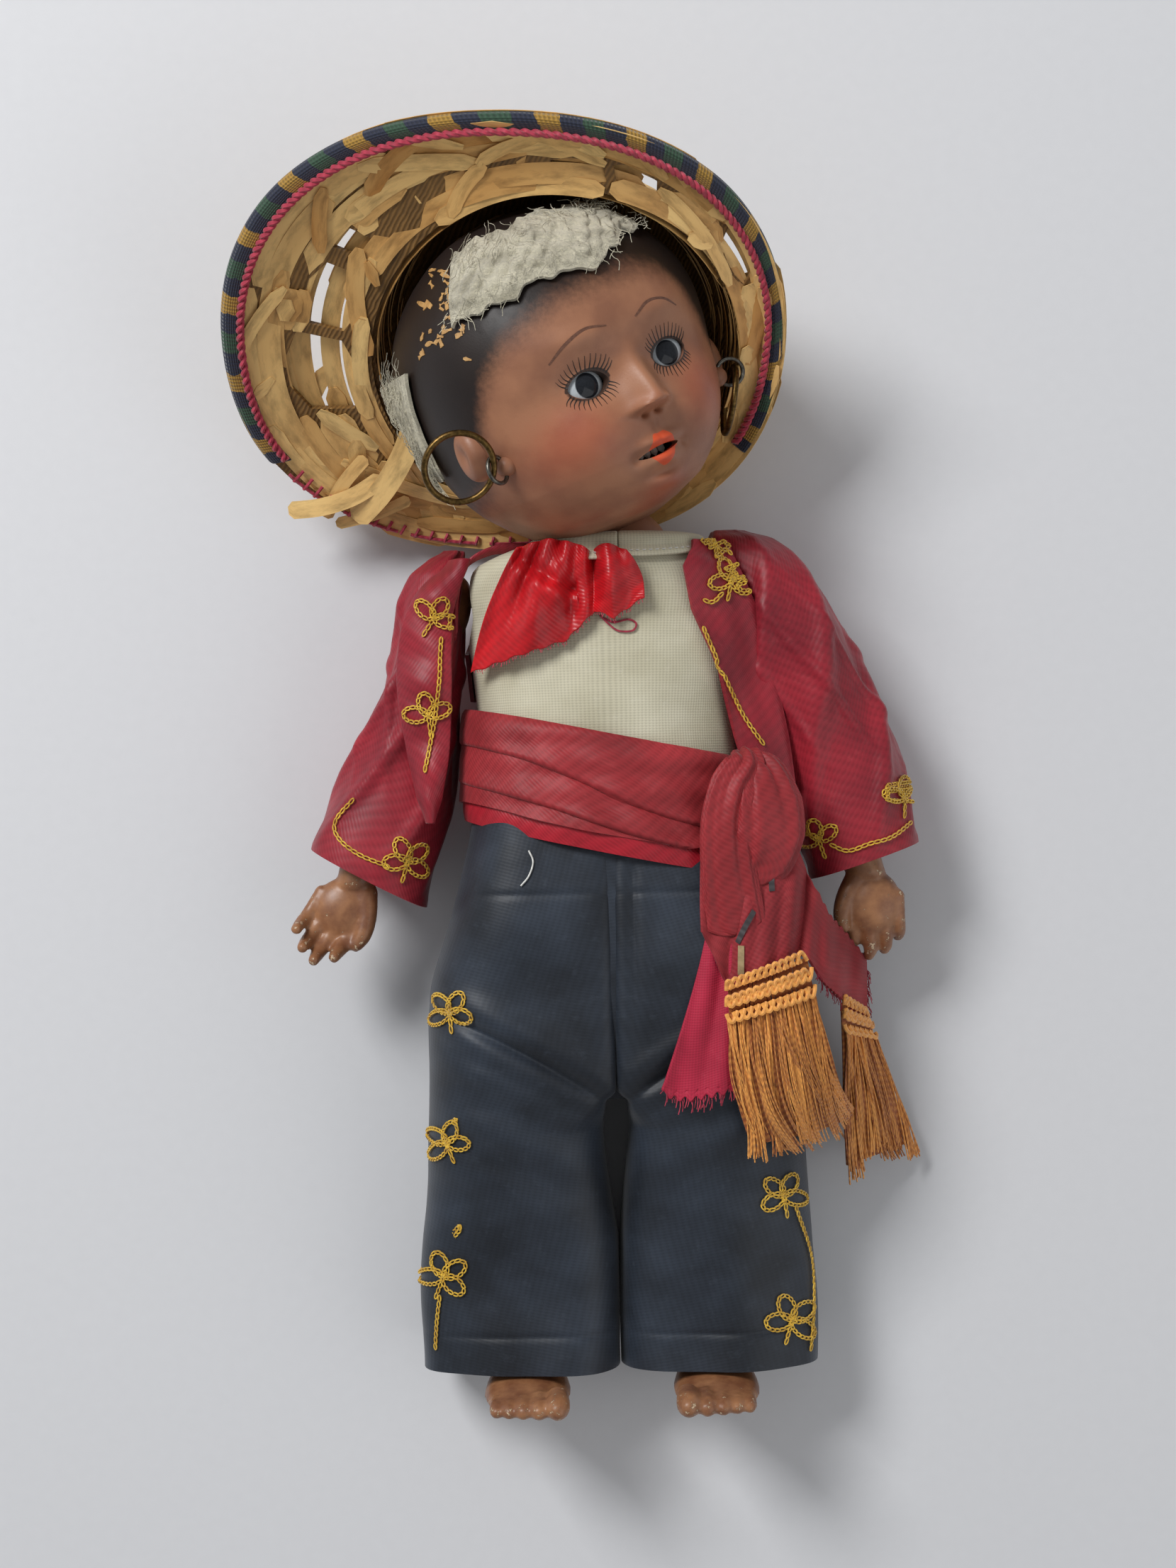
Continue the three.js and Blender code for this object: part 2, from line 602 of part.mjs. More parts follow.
function buildHead() {
  const skinRing = (y) => Array.from({ length: FACE_COLUMNS }, (_, i) => skullPoint(y, faceDegrees(i)));
  const skin = loft(FACE_ROWS.map(skinRing));
  const hollowRows = [-26, -21, -14, -5, 4, 13, 20, 27];
  const hollowRing = (y) => Array.from({ length: 14 }, (_, i) => skullPoint(y, 360 * i / 14, -HEAD_WALL));
  const hollow = loft(hollowRows.map(hollowRing));
  const neckBall = ball(neckInHead, V(1, 1, 1).multiplyScalar(NECK_R), 16, 9);
  const neckHollow = ball(neckInHead, V(1, 1, 1).multiplyScalar(NECK_R - 2.5), 14, 8);
  const channel = rod(neckInHead, V(0, -24, -3), 5.8);
  const neckHole = rod(neckInHead.clone().add(V(0, -12, 0)), neckInHead, 5.2);
  const parts = [skin, neckBall];
  const cuts = [hollow, neckHollow, channel, neckHole, aboveCut(PATE_HEIGHT)];
  for (const side of [-1, 1]) {
    const pinna = ball(V(0, 0, 0), V(2.6, 5.6, 3.6), 9, 6);
    parts.push(pinna.rotateX(-0.5).translate(side * 26.6, -8.4, 7));
    const conch = ball(V(0, 0, 0), V(1.6, 3.4, 1.9), 8, 6).rotateX(-0.5);
    cuts.push(conch.translate(side * 29.6, -8, 7));
    parts.push(ball(V(side * (LOBE.x - 0.2), LOBE.y, LOBE.z), V(1.9, 2, 1.7), 8, 6));
    cuts.push(rod(lobeEnd(side, -4), lobeEnd(side, 4), 1.25, 8));
    const socket = EYE.clone().multiply(V(side, 1, 1));
    cuts.push(ball(socket, V(1, 1, 1).multiplyScalar(EYE_R + GAP), 12, 8));
    cuts.push(prism(lens(EYE_OPEN, socket, side * 0.06), EYE.z, 40));
  }
  cuts.push(prism(lens(MOUTH_OPEN, MOUTH), 18, 40));
  add('head', cut(join(...parts), ...cuts).applyMatrix4(headPlace), bisque);
}

// The pierced hole runs down through the lobe.
function lobeEnd(side, reach) {
  return V(side * (LOBE.x + 0.4), LOBE.y + reach, LOBE.z + 0.2);
}

function buildHeadFittings() {
  for (const [side, name] of [[-1, 'eye_right'], [1, 'eye_left']]) {
    const eye = ball(EYE.clone().multiply(V(side, 1, 1)), V(1, 1, 1).multiplyScalar(EYE_R), 12, 8);
    add(name, eye.applyMatrix4(headPlace), glass);
  }
  const lump = ball(V(0, EYE.y, EYE.z - 5.4), V(16.5, 6, 4.6), 10, 6);
  const socketRadii = V(1, 1, 1).multiplyScalar(EYE_R + GAP);
  const socket = (side) => ball(EYE.clone().multiply(V(side, 1, 1)), socketRadii, 12, 8);
  const sockets = [-1, 1].map(socket);
  add('eye_plaster', cut(lump, ...sockets).applyMatrix4(headPlace), plaster);

  const gum = block(V(-3.4, -19.4, 20.2), V(3.4, -18.2, 21.6));
  const crowns = [-2.4, -0.8, 0.8, 2.4].map((x) => ball(V(x, -20, 20.9), V(0.85, 1.5, 0.6), 6, 3));
  add('teeth', join(gum, ...crowns).applyMatrix4(headPlace), enamel);

  const dome = ball(V(0, 0, 0), V(28.6, 31, 28.6), 14, 10);
  const inner = ball(V(0, 0, 0), V(27.2, 29.6, 27.2), 14, 10);
  const cap = cut(common(dome, aboveCut(PATE_HEIGHT + GAP)), inner);
  add('pate', cap.applyMatrix4(headPlace), card);

  const front = wall(11, 2, false, padPoint(1.9), padPoint(0.4));
  add('wig_pad_front', front.applyMatrix4(headPlace), wadding);
  const side = wall(3, 4, false, sidePadPoint(1.7), sidePadPoint(0.4));
  add('wig_pad_side', side.applyMatrix4(headPlace), wadding);
}

// What is left of the wig's wadding: a ragged band over the forehead and a scrap at the right side.
function padPoint(height) {
  return (s, t) => {
    const degrees = mix(-50, 42, s);
    const ragged = 1.1 * Math.sin(19 * s) + 0.8 * Math.sin(43 * s + 1);
    const y = mix(14.5 + 3.5 * s + ragged, 23.5 + 1.5 * Math.sin(9 * s), t);
    return skullPoint(y, degrees, height + 0.5);
  };
}

function sidePadPoint(height) {
  return (s, t) => {
    const y = mix(-9, 4, t);
    const width = mix(2, 11, t ** 0.8);
    return skullPoint(y, -104 + width * (s - 0.5) + 3 * t, height + 0.3);
  };
}

// Room that the jaw sweeps as the head turns on its neck: how far out, and how far above the ball.
function jawRoom() {
  const sweep = [[0, 5], [8, 5], [16, 6.2], [24, 8.1], [28, 10.1], [31, 13], [33, 17], [33, FAR], [0, FAR]];
  const room = new THREE.LatheGeometry(sweep.map(([r, h]) => new THREE.Vector2(r, h)), 24);
  return room.translate(neckInHead.x, neckInHead.y, neckInHead.z).applyMatrix4(headPlace);
}

function buildNeckFittings() {
  const button = cut(
    ball(V(0, 0, 0), V(1, 1, 1).multiplyScalar(NECK_R - 2.5 - SWING), 14, 8),
    block(V(-FAR, 0, -FAR), V(FAR, FAR, FAR)),
    ball(V(0, 0, 0), V(2.2, 2.2, 2.2), 10, 6),
    new THREE.CylinderGeometry(0.9, 5.4, 8, 12).translate(0, -4, 0),
  );
  const buttonPlace = hookPlace.clone().multiply(new THREE.Matrix4().makeRotationZ(rad(HEAD_TILT)));
  add('neck_button', button.applyMatrix4(buttonPlace), timber);
  const shank = rod(V(0, -HOOK_REACH, 0), V(0, 0, 0), BAR_R, 6);
  const hook = join(shank, ball(V(0, 0, 0), V(1.8, 1.8, 1.8), 8, 6));
  add('neck_hook', hook.applyMatrix4(hookPlace), wire);
}

// Ear rings: a small split ring through each lobe, with a flat hoop hung in it
const SPLIT_R = 2.5;
const SPLIT_WIRE = 0.4;
const HOOP_R = 6.3;
const HOOP_WIRE = 0.55;
const HOOP_HANGS = { // how each hoop lies at rest: which way it reaches, and which way it faces
  right: [V(-6.1, 0.65, 1.5), V(-0.34, -0.26, 0.94)],
  left: [V(-0.17, -0.84, -0.52), V(1, 0, 0)],
};

function torus(centre, axis, radius, tube, tubular, radial) {
  const geometry = new THREE.TorusGeometry(radius, tube, radial, tubular);
  const turn = new THREE.Quaternion().setFromUnitVectors(V(0, 0, 1), axis.clone().normalize());
  return geometry.applyQuaternion(turn).translate(centre.x, centre.y, centre.z);
}

function buildEarrings() {
  for (const [side, name] of [[-1, 'right'], [1, 'left']]) {
    const hole = V(side * LOBE.x, LOBE.y, LOBE.z);
    const along = V(0, 1, 0);
    const hang = V(side * 0.906, 0, 0.424).normalize();
    const centre = hole.clone().addScaledVector(hang, SPLIT_R);
    const split = torus(centre, along.clone().cross(hang), SPLIT_R, SPLIT_WIRE, 10, 4);
    add(`ear_ring_${name}`, split.applyMatrix4(headPlace), wire);
    const link = centre.clone().addScaledVector(hang, SPLIT_R - SPLIT_WIRE - GAP - HOOP_WIRE);
    const [reach, facing] = HOOP_HANGS[name].map((v) => v.clone().normalize());
    const hoopAxis = facing.addScaledVector(reach, -facing.dot(reach));
    const middle = link.applyMatrix4(headPlace).addScaledVector(reach, HOOP_R);
    const hoop = torus(middle, hoopAxis, HOOP_R, HOOP_WIRE, 20, 4);
    add(`ear_hoop_${name}`, hoop, antiqueBrass);
  }
}

// A patch of cloth over the trunk between two heights over it; edges are given by functions of t.
function trunkCloth(columns, rows, wrap, layer, thickness, place) {
  const low = layer * LAYER + GAP;
  const outer = (s, t) => {
    const [y, degrees, lift = 0] = place(s, t);
    return trunk(y, degrees, low + thickness + lift, clothFloor(layer + 1));
  };
  const inner = (s, t) => {
    const [y, degrees] = place(s, t);
    return trunk(y, degrees, low, clothFloor(layer + 1) + CLOTH);
  };
  return wall(columns, rows, wrap, outer, inner);
}

const rowsOf = (list) => (t) => {
  const k = Math.min(Math.floor(t * (list.length - 1) + 1e-6), list.length - 2);
  return mix(list[k], list[k + 1], t * (list.length - 1) - k);
};

function buildShirt() {
  const heights = [WAIST_Y + GAP, 6, 18, 30, 36, 40, 43, 45];
  const y = rowsOf(heights);
  const body = trunkCloth(TRUNK_SIDES, heights.length - 1, true, 0, CLOTH, (s, t) => [y(t), 360 * s]);
  const holes = [-1, 1].map((side) => shoulderAxis(side * 15, side * FAR, ARM_R + 2));
  add('shirt', cut(body, ...holes, jawRoom()), lawn);

  const neckPoint = (b, radius, height) => (
    V(NECK.x + radius * Math.sin(b), height, NECK.z - 1 + radius * Math.cos(b))
  );
  const fold = (lift) => (s, t) => {
    const b = rad(mix(14, 346, s));
    const side = Math.sin(b) ** 2;
    const front = Math.max(0, Math.cos(b));
    const reach = 15 + 1.6 * side + 2.2 * front * (1 - side);
    const drop = 41.6 + 4.4 * side + 2 * Math.max(0, -Math.cos(b));
    const height = mix(46.9, drop + lift, t ** 1.4);
    return neckPoint(b, mix(12.6, reach, t ** 0.7), height + (t === 0 ? lift : 0));
  };
  const yoke = loft([30, 36, 40, 43, 45].map((height) => trunkRing(height, LAYER + GAP, 0)));
  add('shirt_collar', largest(cut(wall(18, 2, false, fold(CLOTH), fold(0)), jawRoom(), yoke)), lawn);
}

// The bow: one gathered piece of ribbon, pinched at its top, with a long and a short end
function buildBow() {
  const front = (s, t) => {
    const top = V(mix(-11, 1.3, s), 45 + 0.6 * Math.sin(Math.PI * s), 0);
    const low = s < 0.62
      ? V(mix(-25.3, -8.6, s / 0.62), mix(21.4, 25, s / 0.62), 0)
      : V(mix(-8.6, 7.7, (s - 0.62) / 0.38), mix(25, 35.4, (s - 0.62) / 0.38), 0);
    const p = top.lerp(low, t);
    const crease = Math.exp(-(((s - 0.55) / 0.07) ** 2));
    const pleats = 0.35 * Math.cos(TAU * 7 * s) * (1 - t);
    const z = 41 - 1.9 * crease * (1 - 0.6 * t) + pleats - 7.5 * Math.max(0, (-p.x - 9) / 17) ** 2;
    return V(p.x, p.y, z);
  };
  add('bow', cut(sheet(16, 5, 1.1, front), jawRoom()), ribbon);
}

// The short jacket: a back, a left front, and a right front that has slipped out over its sleeve
const JACKET_HEM = 17;
const ARMHOLE_R = 11;
const NECKLINE_R = 18.4;

function buildJacket() {
  const heights = [JACKET_HEM, 24, 30, 36, 40, 43, 44.6];
  const y = rowsOf(heights);
  const armholes = [-1, 1].map((side) => shoulderAxis(side * 15, side * FAR, ARMHOLE_R));
  const neckline = rod(V(NECK.x, 38, NECK.z - 1), V(NECK.x, FAR, NECK.z - 1), NECKLINE_R, 28);
  const around = rowsOf([188, 198, 216, 234, 252, 270, 288, 306, 324, 342, 352]);
  const back = trunkCloth(10, heights.length - 1, false, 1, CLOTH, (s, t) => [y(t), around(s)]);
  add('jacket_back', cut(back, ...armholes, neckline), redSateen);

  const frontHeights = [5.5, 11, 17, 24, 30, 36, 40, 43, 44.6];
  const frontEdge = [[5, 25.4], [8.3, 24.5], [21.2, 21.6], [32.5, 16.6], [40.6, 15], [44.2, 17]];
  const rise = rowsOf(frontHeights);
  const edgeDegrees = (height) => {
    const [x] = between(frontEdge, height);
    const [w] = between(TRUNK, height);
    const share = Math.min(1, x / (w + 2 * LAYER));
    return THREE.MathUtils.radToDeg(Math.acos(share ** (TRUNK_SQUARE / 2)));
  };
  const toEdge = rowsOf([-6.5, 0, 18, 36, 54, 72]);
  const front = trunkCloth(5, frontHeights.length - 1, false, 1, CLOTH, (s, t) => {
    const edge = edgeDegrees(rise(t));
    return [rise(t), Math.min(toEdge(s), edge - 0.4 * (1 - s))];
  });
  add('jacket_front_left', cut(front, armholes[1], neckline), redSateen);

  const slipped = (s, t) => {
    const height = mix(42, -6.5, t);
    const near = 28.5 + 2.6 * t ** 1.5;
    const far = near + 2.6 + 5.4 * Math.sin(Math.PI * Math.min(1, 0.12 + 0.8 * t)) ** 0.8;
    return V(-mix(near, far, s), height, 33 - 1.6 * s - 0.8 * t + 0.5 * Math.sin(6 * t));
  };
  add('jacket_front_right', sheet(3, 8, CLOTH, slipped), redSateen);
}

// Sleeves: y, near x, far x, middle z, half depth, slope of the ring across the arm
const SLEEVE_NEAR = 28.2; // inner edge of the sleeves, clear of everything on the trunk
const SLEEVE_LEFT = [
  [46.2, SLEEVE_NEAR + 0.4, 31.4, 20, 3.4],
  [44.4, SLEEVE_NEAR, 34.4, 20, 6.6],
  [41, SLEEVE_NEAR, 38.6, 20, 9.2],
  [36, SLEEVE_NEAR, 42, 20, 10.6],
  [29, SLEEVE_NEAR + 0.4, 46.6, 19.6, 11.2],
  [18, 30, 51.6, 18.6, 11.6],
  [8, 32.4, 54.8, 17.6, 11.4, 0.1],
  [0, 34.8, 57, 17, 11, 0.18],
  [-9, 37.6, 59, 16.8, 10.6, 0.26],
  [-16, 39.6, 60.2, 16.8, 10.2, 0.33],
];
const SLEEVE_RIGHT = [
  [46.2, SLEEVE_NEAR + 0.4, 31, 20, 3.4],
  [44.4, SLEEVE_NEAR, 33.6, 20, 6.6],
  [41, SLEEVE_NEAR, 38, 20, 9.2],
  [36, SLEEVE_NEAR, 40.2, 20, 10.4],
  [29, SLEEVE_NEAR + 0.2, 41.6, 19.4, 10.6],
  [18, 29.2, 44.4, 18.2, 10.6, 0.1],
  [8, 30.4, 47.8, 17.4, 10.6, 0.2],
  [0, 31.6, 51.2, 17, 10.6, 0.34],
  [-9, 34, 54.6, 16.8, 10.6, 0.46],
  [-17.4, 36.6, 57.8, 16.8, 10.4, 0.55],
];

function buildSleeve(side, name, rows, folds) {
  const form = { side, square: 2.1, ...folds };
  const [cuffY, ...cuff] = rows[rows.length - 1];
  const outer = loft(stations(rows, form).map((station) => ring(station, 15)));
  const lining = [...rows.slice(1), [cuffY - 3, ...cuff]];
  const inner = loft(stations(lining, { ...form, inset: CLOTH }).map((station) => ring(station, 11)));
  const armhole = shoulderAxis(side * (SLEEVE_NEAR - 2), side * (SLEEVE_NEAR + 3.6), ARM_R + 2.2);
  add(name, cut(outer, inner, armhole), redSateen);
}

// Trousers: a seat on the trunk, and a leg of cloth on each of the doll's legs
function buildSeat() {
  const rows = [-60, -56, -48, -36, -24, -14, WAIST_Y];
  const skin = (height, floor, list) => loft(list.map((y) => trunkRing(y, height, floor)));
  const outer = skin(LAYER, clothFloor(1), rows);
  const lining = skin(GAP, clothFloor(1) + CLOTH, [...rows.slice(0, -1), WAIST_Y, WAIST_Y + 3]);
  const above = block(V(-FAR, WAIST_Y, -FAR), V(FAR, FAR, FAR));
  add('trousers_seat', cut(outer, lining, above, ...legRoom()), navySateen);
}

// y, near x, far x, middle z, half depth
const TROUSER_LEG = [
  [-52, WEDGE + SWING + 0.2, 35.4, 19, 18.6],
  [-59, WEDGE + SWING + 0.2, 35.6, 18.2, 17.8],
  [-66, WEDGE + SWING + 0.2, 36, 17.2, 16.8],
  [-72, 7.4, 36.4, 16.2, 15.8],
  [-79, 4.2, 37, 14.9, 14.5],
  [-88, 1.8, 38, 13.8, 13.4],
  [-100, 0.9, 38.6, 13, 12.6],
  [HEM_Y, 0.8, 38.4, 12.8, 12.4],
];

function trouserRows(inset) {
  const dome = [];
  for (const degrees of [84, 62, 40, 20, 0]) {
    const reach = TROUSER_R * Math.sin(rad(degrees));
    const half = TROUSER_R * Math.cos(rad(degrees));
    dome.push([HIP_Y + reach, WEDGE + SWING + 0.2, 35 - 4 * (1 - Math.cos(rad(degrees))), HIP_Z, half]);
  }
  const rows = [...dome, ...TROUSER_LEG];
  if (inset > 0) {
    const [, ...hem] = rows[rows.length - 1];
    rows.push([HEM_Y - 3, ...hem]);
    rows.shift();
  }
  return rows;
}

function buildTrouserLeg(side, name) {
  const form = { side, square: 2.5, folds: 6, ripple: 0.012, phase: 0.6 };
  const outer = loft(stations(trouserRows(0), form).map((station) => ring(station, 16)));
  const lining = stations(trouserRows(CLOTH), { ...form, inset: CLOTH });
  const inner = loft(lining.map((station) => ring(station, 12)));
  const room = hipAxis(0, side * (WEDGE + 6.6), THIGH_R + 1.4, 17);
  const under = block(V(-FAR, -2 * FAR, -FAR), V(FAR, FAR, 0.3));
  add(name, cut(outer, inner, room, under), navySateen);
}

// The sash: wound on a slant, with its knot at the doll's left and two ends that hang from it
const SASH_HEIGHT = SASH + 2 * LAYER + GAP; // its face over the trunk
const sashTop = (x) => 9.3 - 0.2 * x;
const sashLow = (x) => -12.6 - 0.21 * x;
const KNOT = V(26.4, -6, 37.8);
const TAIL_PIVOT = V(26, -17, 41); // where the ends bend as the left leg lifts
const TAIL_Z = 41.6;

function buildSash() {
  const folds = (t) => 0.45 * Math.cos(TAU * 2.5 * t) + 0.2 * Math.cos(TAU * 6 * t);
  const band = wall(TRUNK_SIDES, 6, true,
    (s, t) => sashPoint(360 * s, t, SASH_HEIGHT - 0.5 + folds(t + 0.15 * Math.sin(TAU * s)), 0),
    (s, t) => sashPoint(360 * s, t, 2 * LAYER - CLOTH, clothFloor(2) + CLOTH));
  add('sash_band', band, sashSateen);

  const rings = [];
  const count = 7;
  for (let j = 0; j <= count; j += 1) {
    const t = j / count;
    const swell = Math.sin(Math.PI * mix(0.1, 0.9, t)) ** 0.6;
    const pinch = 1 - 0.16 * Math.exp(-(((t - 0.42) / 0.1) ** 2));
    const points = [];
    for (let i = 0; i < 12; i += 1) {
      const a = TAU * i / 12;
      const u = 8.4 * swell * pinch * Math.cos(a);
      const v = 3.4 * swell * Math.sin(a) * (1 + 0.12 * Math.cos(3 * a + 5 * t));
      const lean = rad(-38);
      points.push(V(
        KNOT.x + u * Math.cos(lean) - v * Math.sin(lean),
        mix(4.4, -16.4, t) - 0.12 * u,
        KNOT.z + u * Math.sin(lean) + v * Math.cos(lean),
      ));
    }
    rings.push(points);
  }
  add('sash_knot', loft(rings), sashSateen);
}

function sashPoint(degrees, t, height, floor) {
  const [w] = between(TRUNK, 0);
  const x = (w + height) * signedPower(Math.cos(rad(degrees)), 2 / TRUNK_SQUARE);
  return trunk(mix(sashLow(x), sashTop(x), t), degrees, height, floor);
}

// The end with two fringes, as a strip of x from its left edge to the corner that hangs at the side
const tailTop = [
  [17.8, -17.4], [34, -17.4], [36.6, -22], [38.6, -26], [42.6, -30.5], [43, -37], [50.4, -38.4],
];
const tailLow = [[17.8, -30], [21.2, -38.2], [36.2, -33.6], [40, -38.5], [44, -42], [50.4, -45.6]];
const tailHeight = (x) => TAIL_Z - 0.06 * Math.max(0, x - 18) - 0.05 * Math.max(0, x - 27) ** 2;
const line = (table, x) => {
  let k = 0;
  while (k < table.length - 2 && table[k + 1][0] < x) {
    k += 1;
  }
  const [x0, y0] = table[k];
  const [x1, y1] = table[k + 1];
  return mix(y0, y1, Math.min(1, Math.max(0, (x - x0) / (x1 - x0))));
};

function buildTails() {
  const front = (s, t) => {
    const x = mix(18, 50.2, s);
    const y = mix(line(tailTop, x), line(tailLow, x), t);
    return V(x, y, tailHeight(x) + 0.3 * Math.cos(0.55 * x) * smooth(-y, 17, 24));
  };
  add('sash_end_front', sheet(15, 3, CLOTH, front), sashSateen);

  const plain = (s, t) => {
    const y = mix(-22, mix(-57.5, -60.5 + 4 * s, Math.sin(Math.PI * s)), t);
    const x = mix(mix(19, 8.6, t ** 1.3), mix(30, 27, t), s);
    const settle = 1.4 * smooth(-y, 44, 60);
    return V(x, y, tailHeight(x) - CLOTH - 2 * GAP - 0.2 - settle);
  };
  add('sash_end_plain', sheet(5, 4, CLOTH, plain), redSateen);

  fringe('fringe_front', 12, (s, t) => {
    const top = V(mix(21.6, 36, s), mix(-39.2, -34.6, s), 0);
    const low = V(mix(25, 38.4, s), mix(-70.2, -69.6, s), 0);
    const p = top.lerp(low, t);
    const lie = mix(tailHeight(mix(21.6, 36, s)) + 0.4, 36.2 - 0.05 * (p.x - 24) ** 2, t ** 2.2);
    return V(p.x, p.y, lie + 0.8 * Math.sin(Math.PI * t));
  });
  fringe('fringe_side', 8, (s, t) => {
    const x = mix(44.2, 50.2, s);
    const end = V(mix(54, 59, s), mix(-80, -76, s), 7 - 3 * s);
    return V(x, line(tailLow, x) - 0.5, tailHeight(x)).lerp(end, t);
  });
}

// A fringe is a ribbed heading with a skirt of strands under it.
function fringe(name, strands, place) {
  const front = (s, t) => {
    const p = place(s, t);
    const rib = t < 0.16 ? 0.25 * Math.cos(TAU * t / 0.08) : 0.3 * Math.cos(TAU * strands * s);
    return p.add(V(0, 0, rib));
  };
  add(name, sheet(strands * 2, 3, CLOTH, front), floss);
}

// The hat's own frame: across, up its brim, and back into its crown, from the skull's centre
const brimLean = rad(BRIM_TILT);
const hatUp = V(0, Math.cos(brimLean), Math.sin(brimLean));
const hatBack = V(0, Math.sin(brimLean), -Math.cos(brimLean));
const hatPoint = (u, v, t) => (
  SKULL.clone().add(V(u, 0, 0)).addScaledVector(hatUp, v).addScaledVector(hatBack, t)
);

const CROWN = [
  [CROWN_R, CROWN_BASE],
  [35.6, 10],
  [34.6, 14],
  [32.4, 18],
  [28.4, 22.4],
  [23.4, 26.6],
  [18, 30.4],
  [12, 33.4],
  [6, 35],
  [0, CROWN_TOP],
];

// How far out and how far back the brim lies, from the crown's mouth (f = 0) to the rim (f = 1)
function brimPoint(a, f, lift = 0) {
  const rimU = RIM_SHIFT[0] + RIM_A * signedPower(Math.cos(a), 2 / 2.2);
  const rimV = RIM_SHIFT[1] + RIM_B * signedPower(Math.sin(a), 2 / 2.2);
  const mouth = CROWN_R - 0.6;
  const u = mix(mouth * Math.cos(a), rimU, f);
  const v = mix(mouth * Math.sin(a), rimV, f);
  const wave = 0.8 * Math.sin(3 * a + 0.6) * f;
  const base = CROWN_BASE - GAP;
  const arch = 1.6 * Math.sin(Math.PI * f) * (1 - 0.4 * f);
  return hatPoint(u, v, mix(base, RIM_SHIFT[2] + wave, f) + arch - lift);
}

// Torn places where straws are missing: from and to, in degrees round and in shares of the width
const TEARS = [
  [152, 171, 0.12, 0.5],
  [174, 196, 0.1, 0.62],
  [140, 147, 0.2, 0.5],
  [58, 70, 0.15, 0.5],
  [73, 86, 0.1, 0.42],
  [20, 34, 0.2, 0.7],
];

function tear([from, to, near, far]) {
  const side = (lift) => (s, t) => {
    const width = Math.sin(Math.PI * mix(0.12, 0.88, s)) ** 0.5;
    const middle = (near + far) / 2;
    return brimPoint(rad(mix(from, to, s)), middle + (t - 0.5) * (far - near) * width, lift);
  };
  return wall(3, 1, false, side(4), side(-5));
}

function buildHat() {
  const outer = CROWN.map(([r, t]) => new THREE.Vector2(r, t));
  const lining = ([r, t]) => new THREE.Vector2(Math.max(0, r - STRAW), r === 0 ? t - STRAW : t);
  const inner = CROWN.map(lining).reverse();
  const outline = [...outer, ...inner, outer[0].clone()];
  const crown = new THREE.LatheGeometry(outline, 20);
  const basis = new THREE.Matrix4().makeBasis(V(1, 0, 0), hatBack, V(1, 0, 0).cross(hatBack));
  crown.applyMatrix4(basis).translate(SKULL.x, SKULL.y, SKULL.z);
  const place = crown.attributes.position;
  for (let k = 0; k < place.count; k += 1) {
    const within = k % outline.length >= CROWN.length && k % outline.length < 2 * CROWN.length;
    place.setZ(k, Math.max(place.getZ(k), within ? STRAW : 0)); // pressed flat by the surface
  }
  add('hat_crown', fromManifold(manifold(crown)), straw);

  const front = (s, t) => brimPoint(TAU * s, t, STRAW);
  const back = (s, t) => brimPoint(TAU * s, t, 0);
  add('hat_brim', cut(wall(48, 2, true, front, back), ...TEARS.map(tear)), straw);

  const [bandFrom, bandTo] = BAND_SPAN.map(rad);
  const bandRing = (s) => {
    const a = mix(bandFrom, bandTo, s);
    const edge = brimPoint(a, 1, STRAW / 2);
    const outward = edge.clone().sub(brimPoint(a, 1 / 2, STRAW / 2));
    return [edge, outward.clone().normalize(), Math.min(BAND_WIDTH, outward.length())];
  };
  const binding = (air, thick) => {
    const half = STRAW / 2 + air + thick;
    const out = air + thick;
    const section = [
      [0, half], [out / 2, half], [out, half / 2], [out, -half / 2], [out / 2, -half], [0, -half],
    ];
    return (s, t) => {
      const [edge, outward, width] = bandRing(s);
      const k = Math.round(t * 5);
      const [depth, rise] = section[k];
      const reach = k === 0 || k === 5 ? -width : depth;
      return edge.addScaledVector(outward, reach).addScaledVector(hatBack, rise);
    };
  };
  add('hat_band', wall(32, 5, false, binding(BAND_AIR, BAND_CLOTH), binding(BAND_AIR, 0)), bandCloth);

  const rise = STRAW / 2 + BAND_AIR + BAND_CLOTH + GAP + CORD_TRIM_R;
  const beads = Array.from({ length: 30 }, (_, i) => {
    const [edge, outward, width] = bandRing(0.01 + 0.98 * i / 29);
    return edge.addScaledVector(outward, -width / 2).addScaledVector(hatBack, -rise);
  });
  add('hat_cord', cord(beads, CORD_TRIM_R, 3, 28), crimson);

  const scrapLift = GAP + 1.5 * STRAW;
  const scrapPath = [[207, 0.1, 0.2], [218, 0.38, 0.3], [229, 0.66, 0.6]].map(([degrees, f, rise]) => (
    brimPoint(rad(degrees), f, scrapLift + rise)
  ));
  scrapPath.push(V(-56, 56.5, 15));
  const scrapRings = scrapPath.map((p, k) => {
    const along = scrapPath[Math.min(k + 1, 3)].clone().sub(scrapPath[Math.max(k - 1, 0)]);
    const across = along.cross(hatBack).normalize();
    return [[-1, 0], [1, 0], [1, 1], [-1, 1]].map(([side, down]) => (
      p.clone().addScaledVector(across, side * SCRAP_WIDTH / 2).addScaledVector(hatBack, down * STRAW / 2)
    ));
  });
  add('hat_loose_straw', loft(scrapRings), straw);
}

buildHead();
buildHeadFittings();
buildNeckFittings();
buildEarrings();
buildTorso();
buildArm(-1, 'arm_right', 1);
buildArm(1, 'arm_left', -1);
buildLeg(-1, 'leg_right');
buildLeg(1, 'leg_left');
buildStringing();
buildShirt();
buildBow();
buildJacket();
buildSleeve(-1, 'sleeve_right', SLEEVE_RIGHT, { folds: 5, ripple: 0.02, phase: 1 });
buildSleeve(1, 'sleeve_left', SLEEVE_LEFT, { folds: 5, ripple: 0.025, phase: 0 });
buildSeat();
buildTrouserLeg(-1, 'trouser_leg_right');
buildTrouserLeg(1, 'trouser_leg_left');
buildSash();
buildTails();
buildHat();

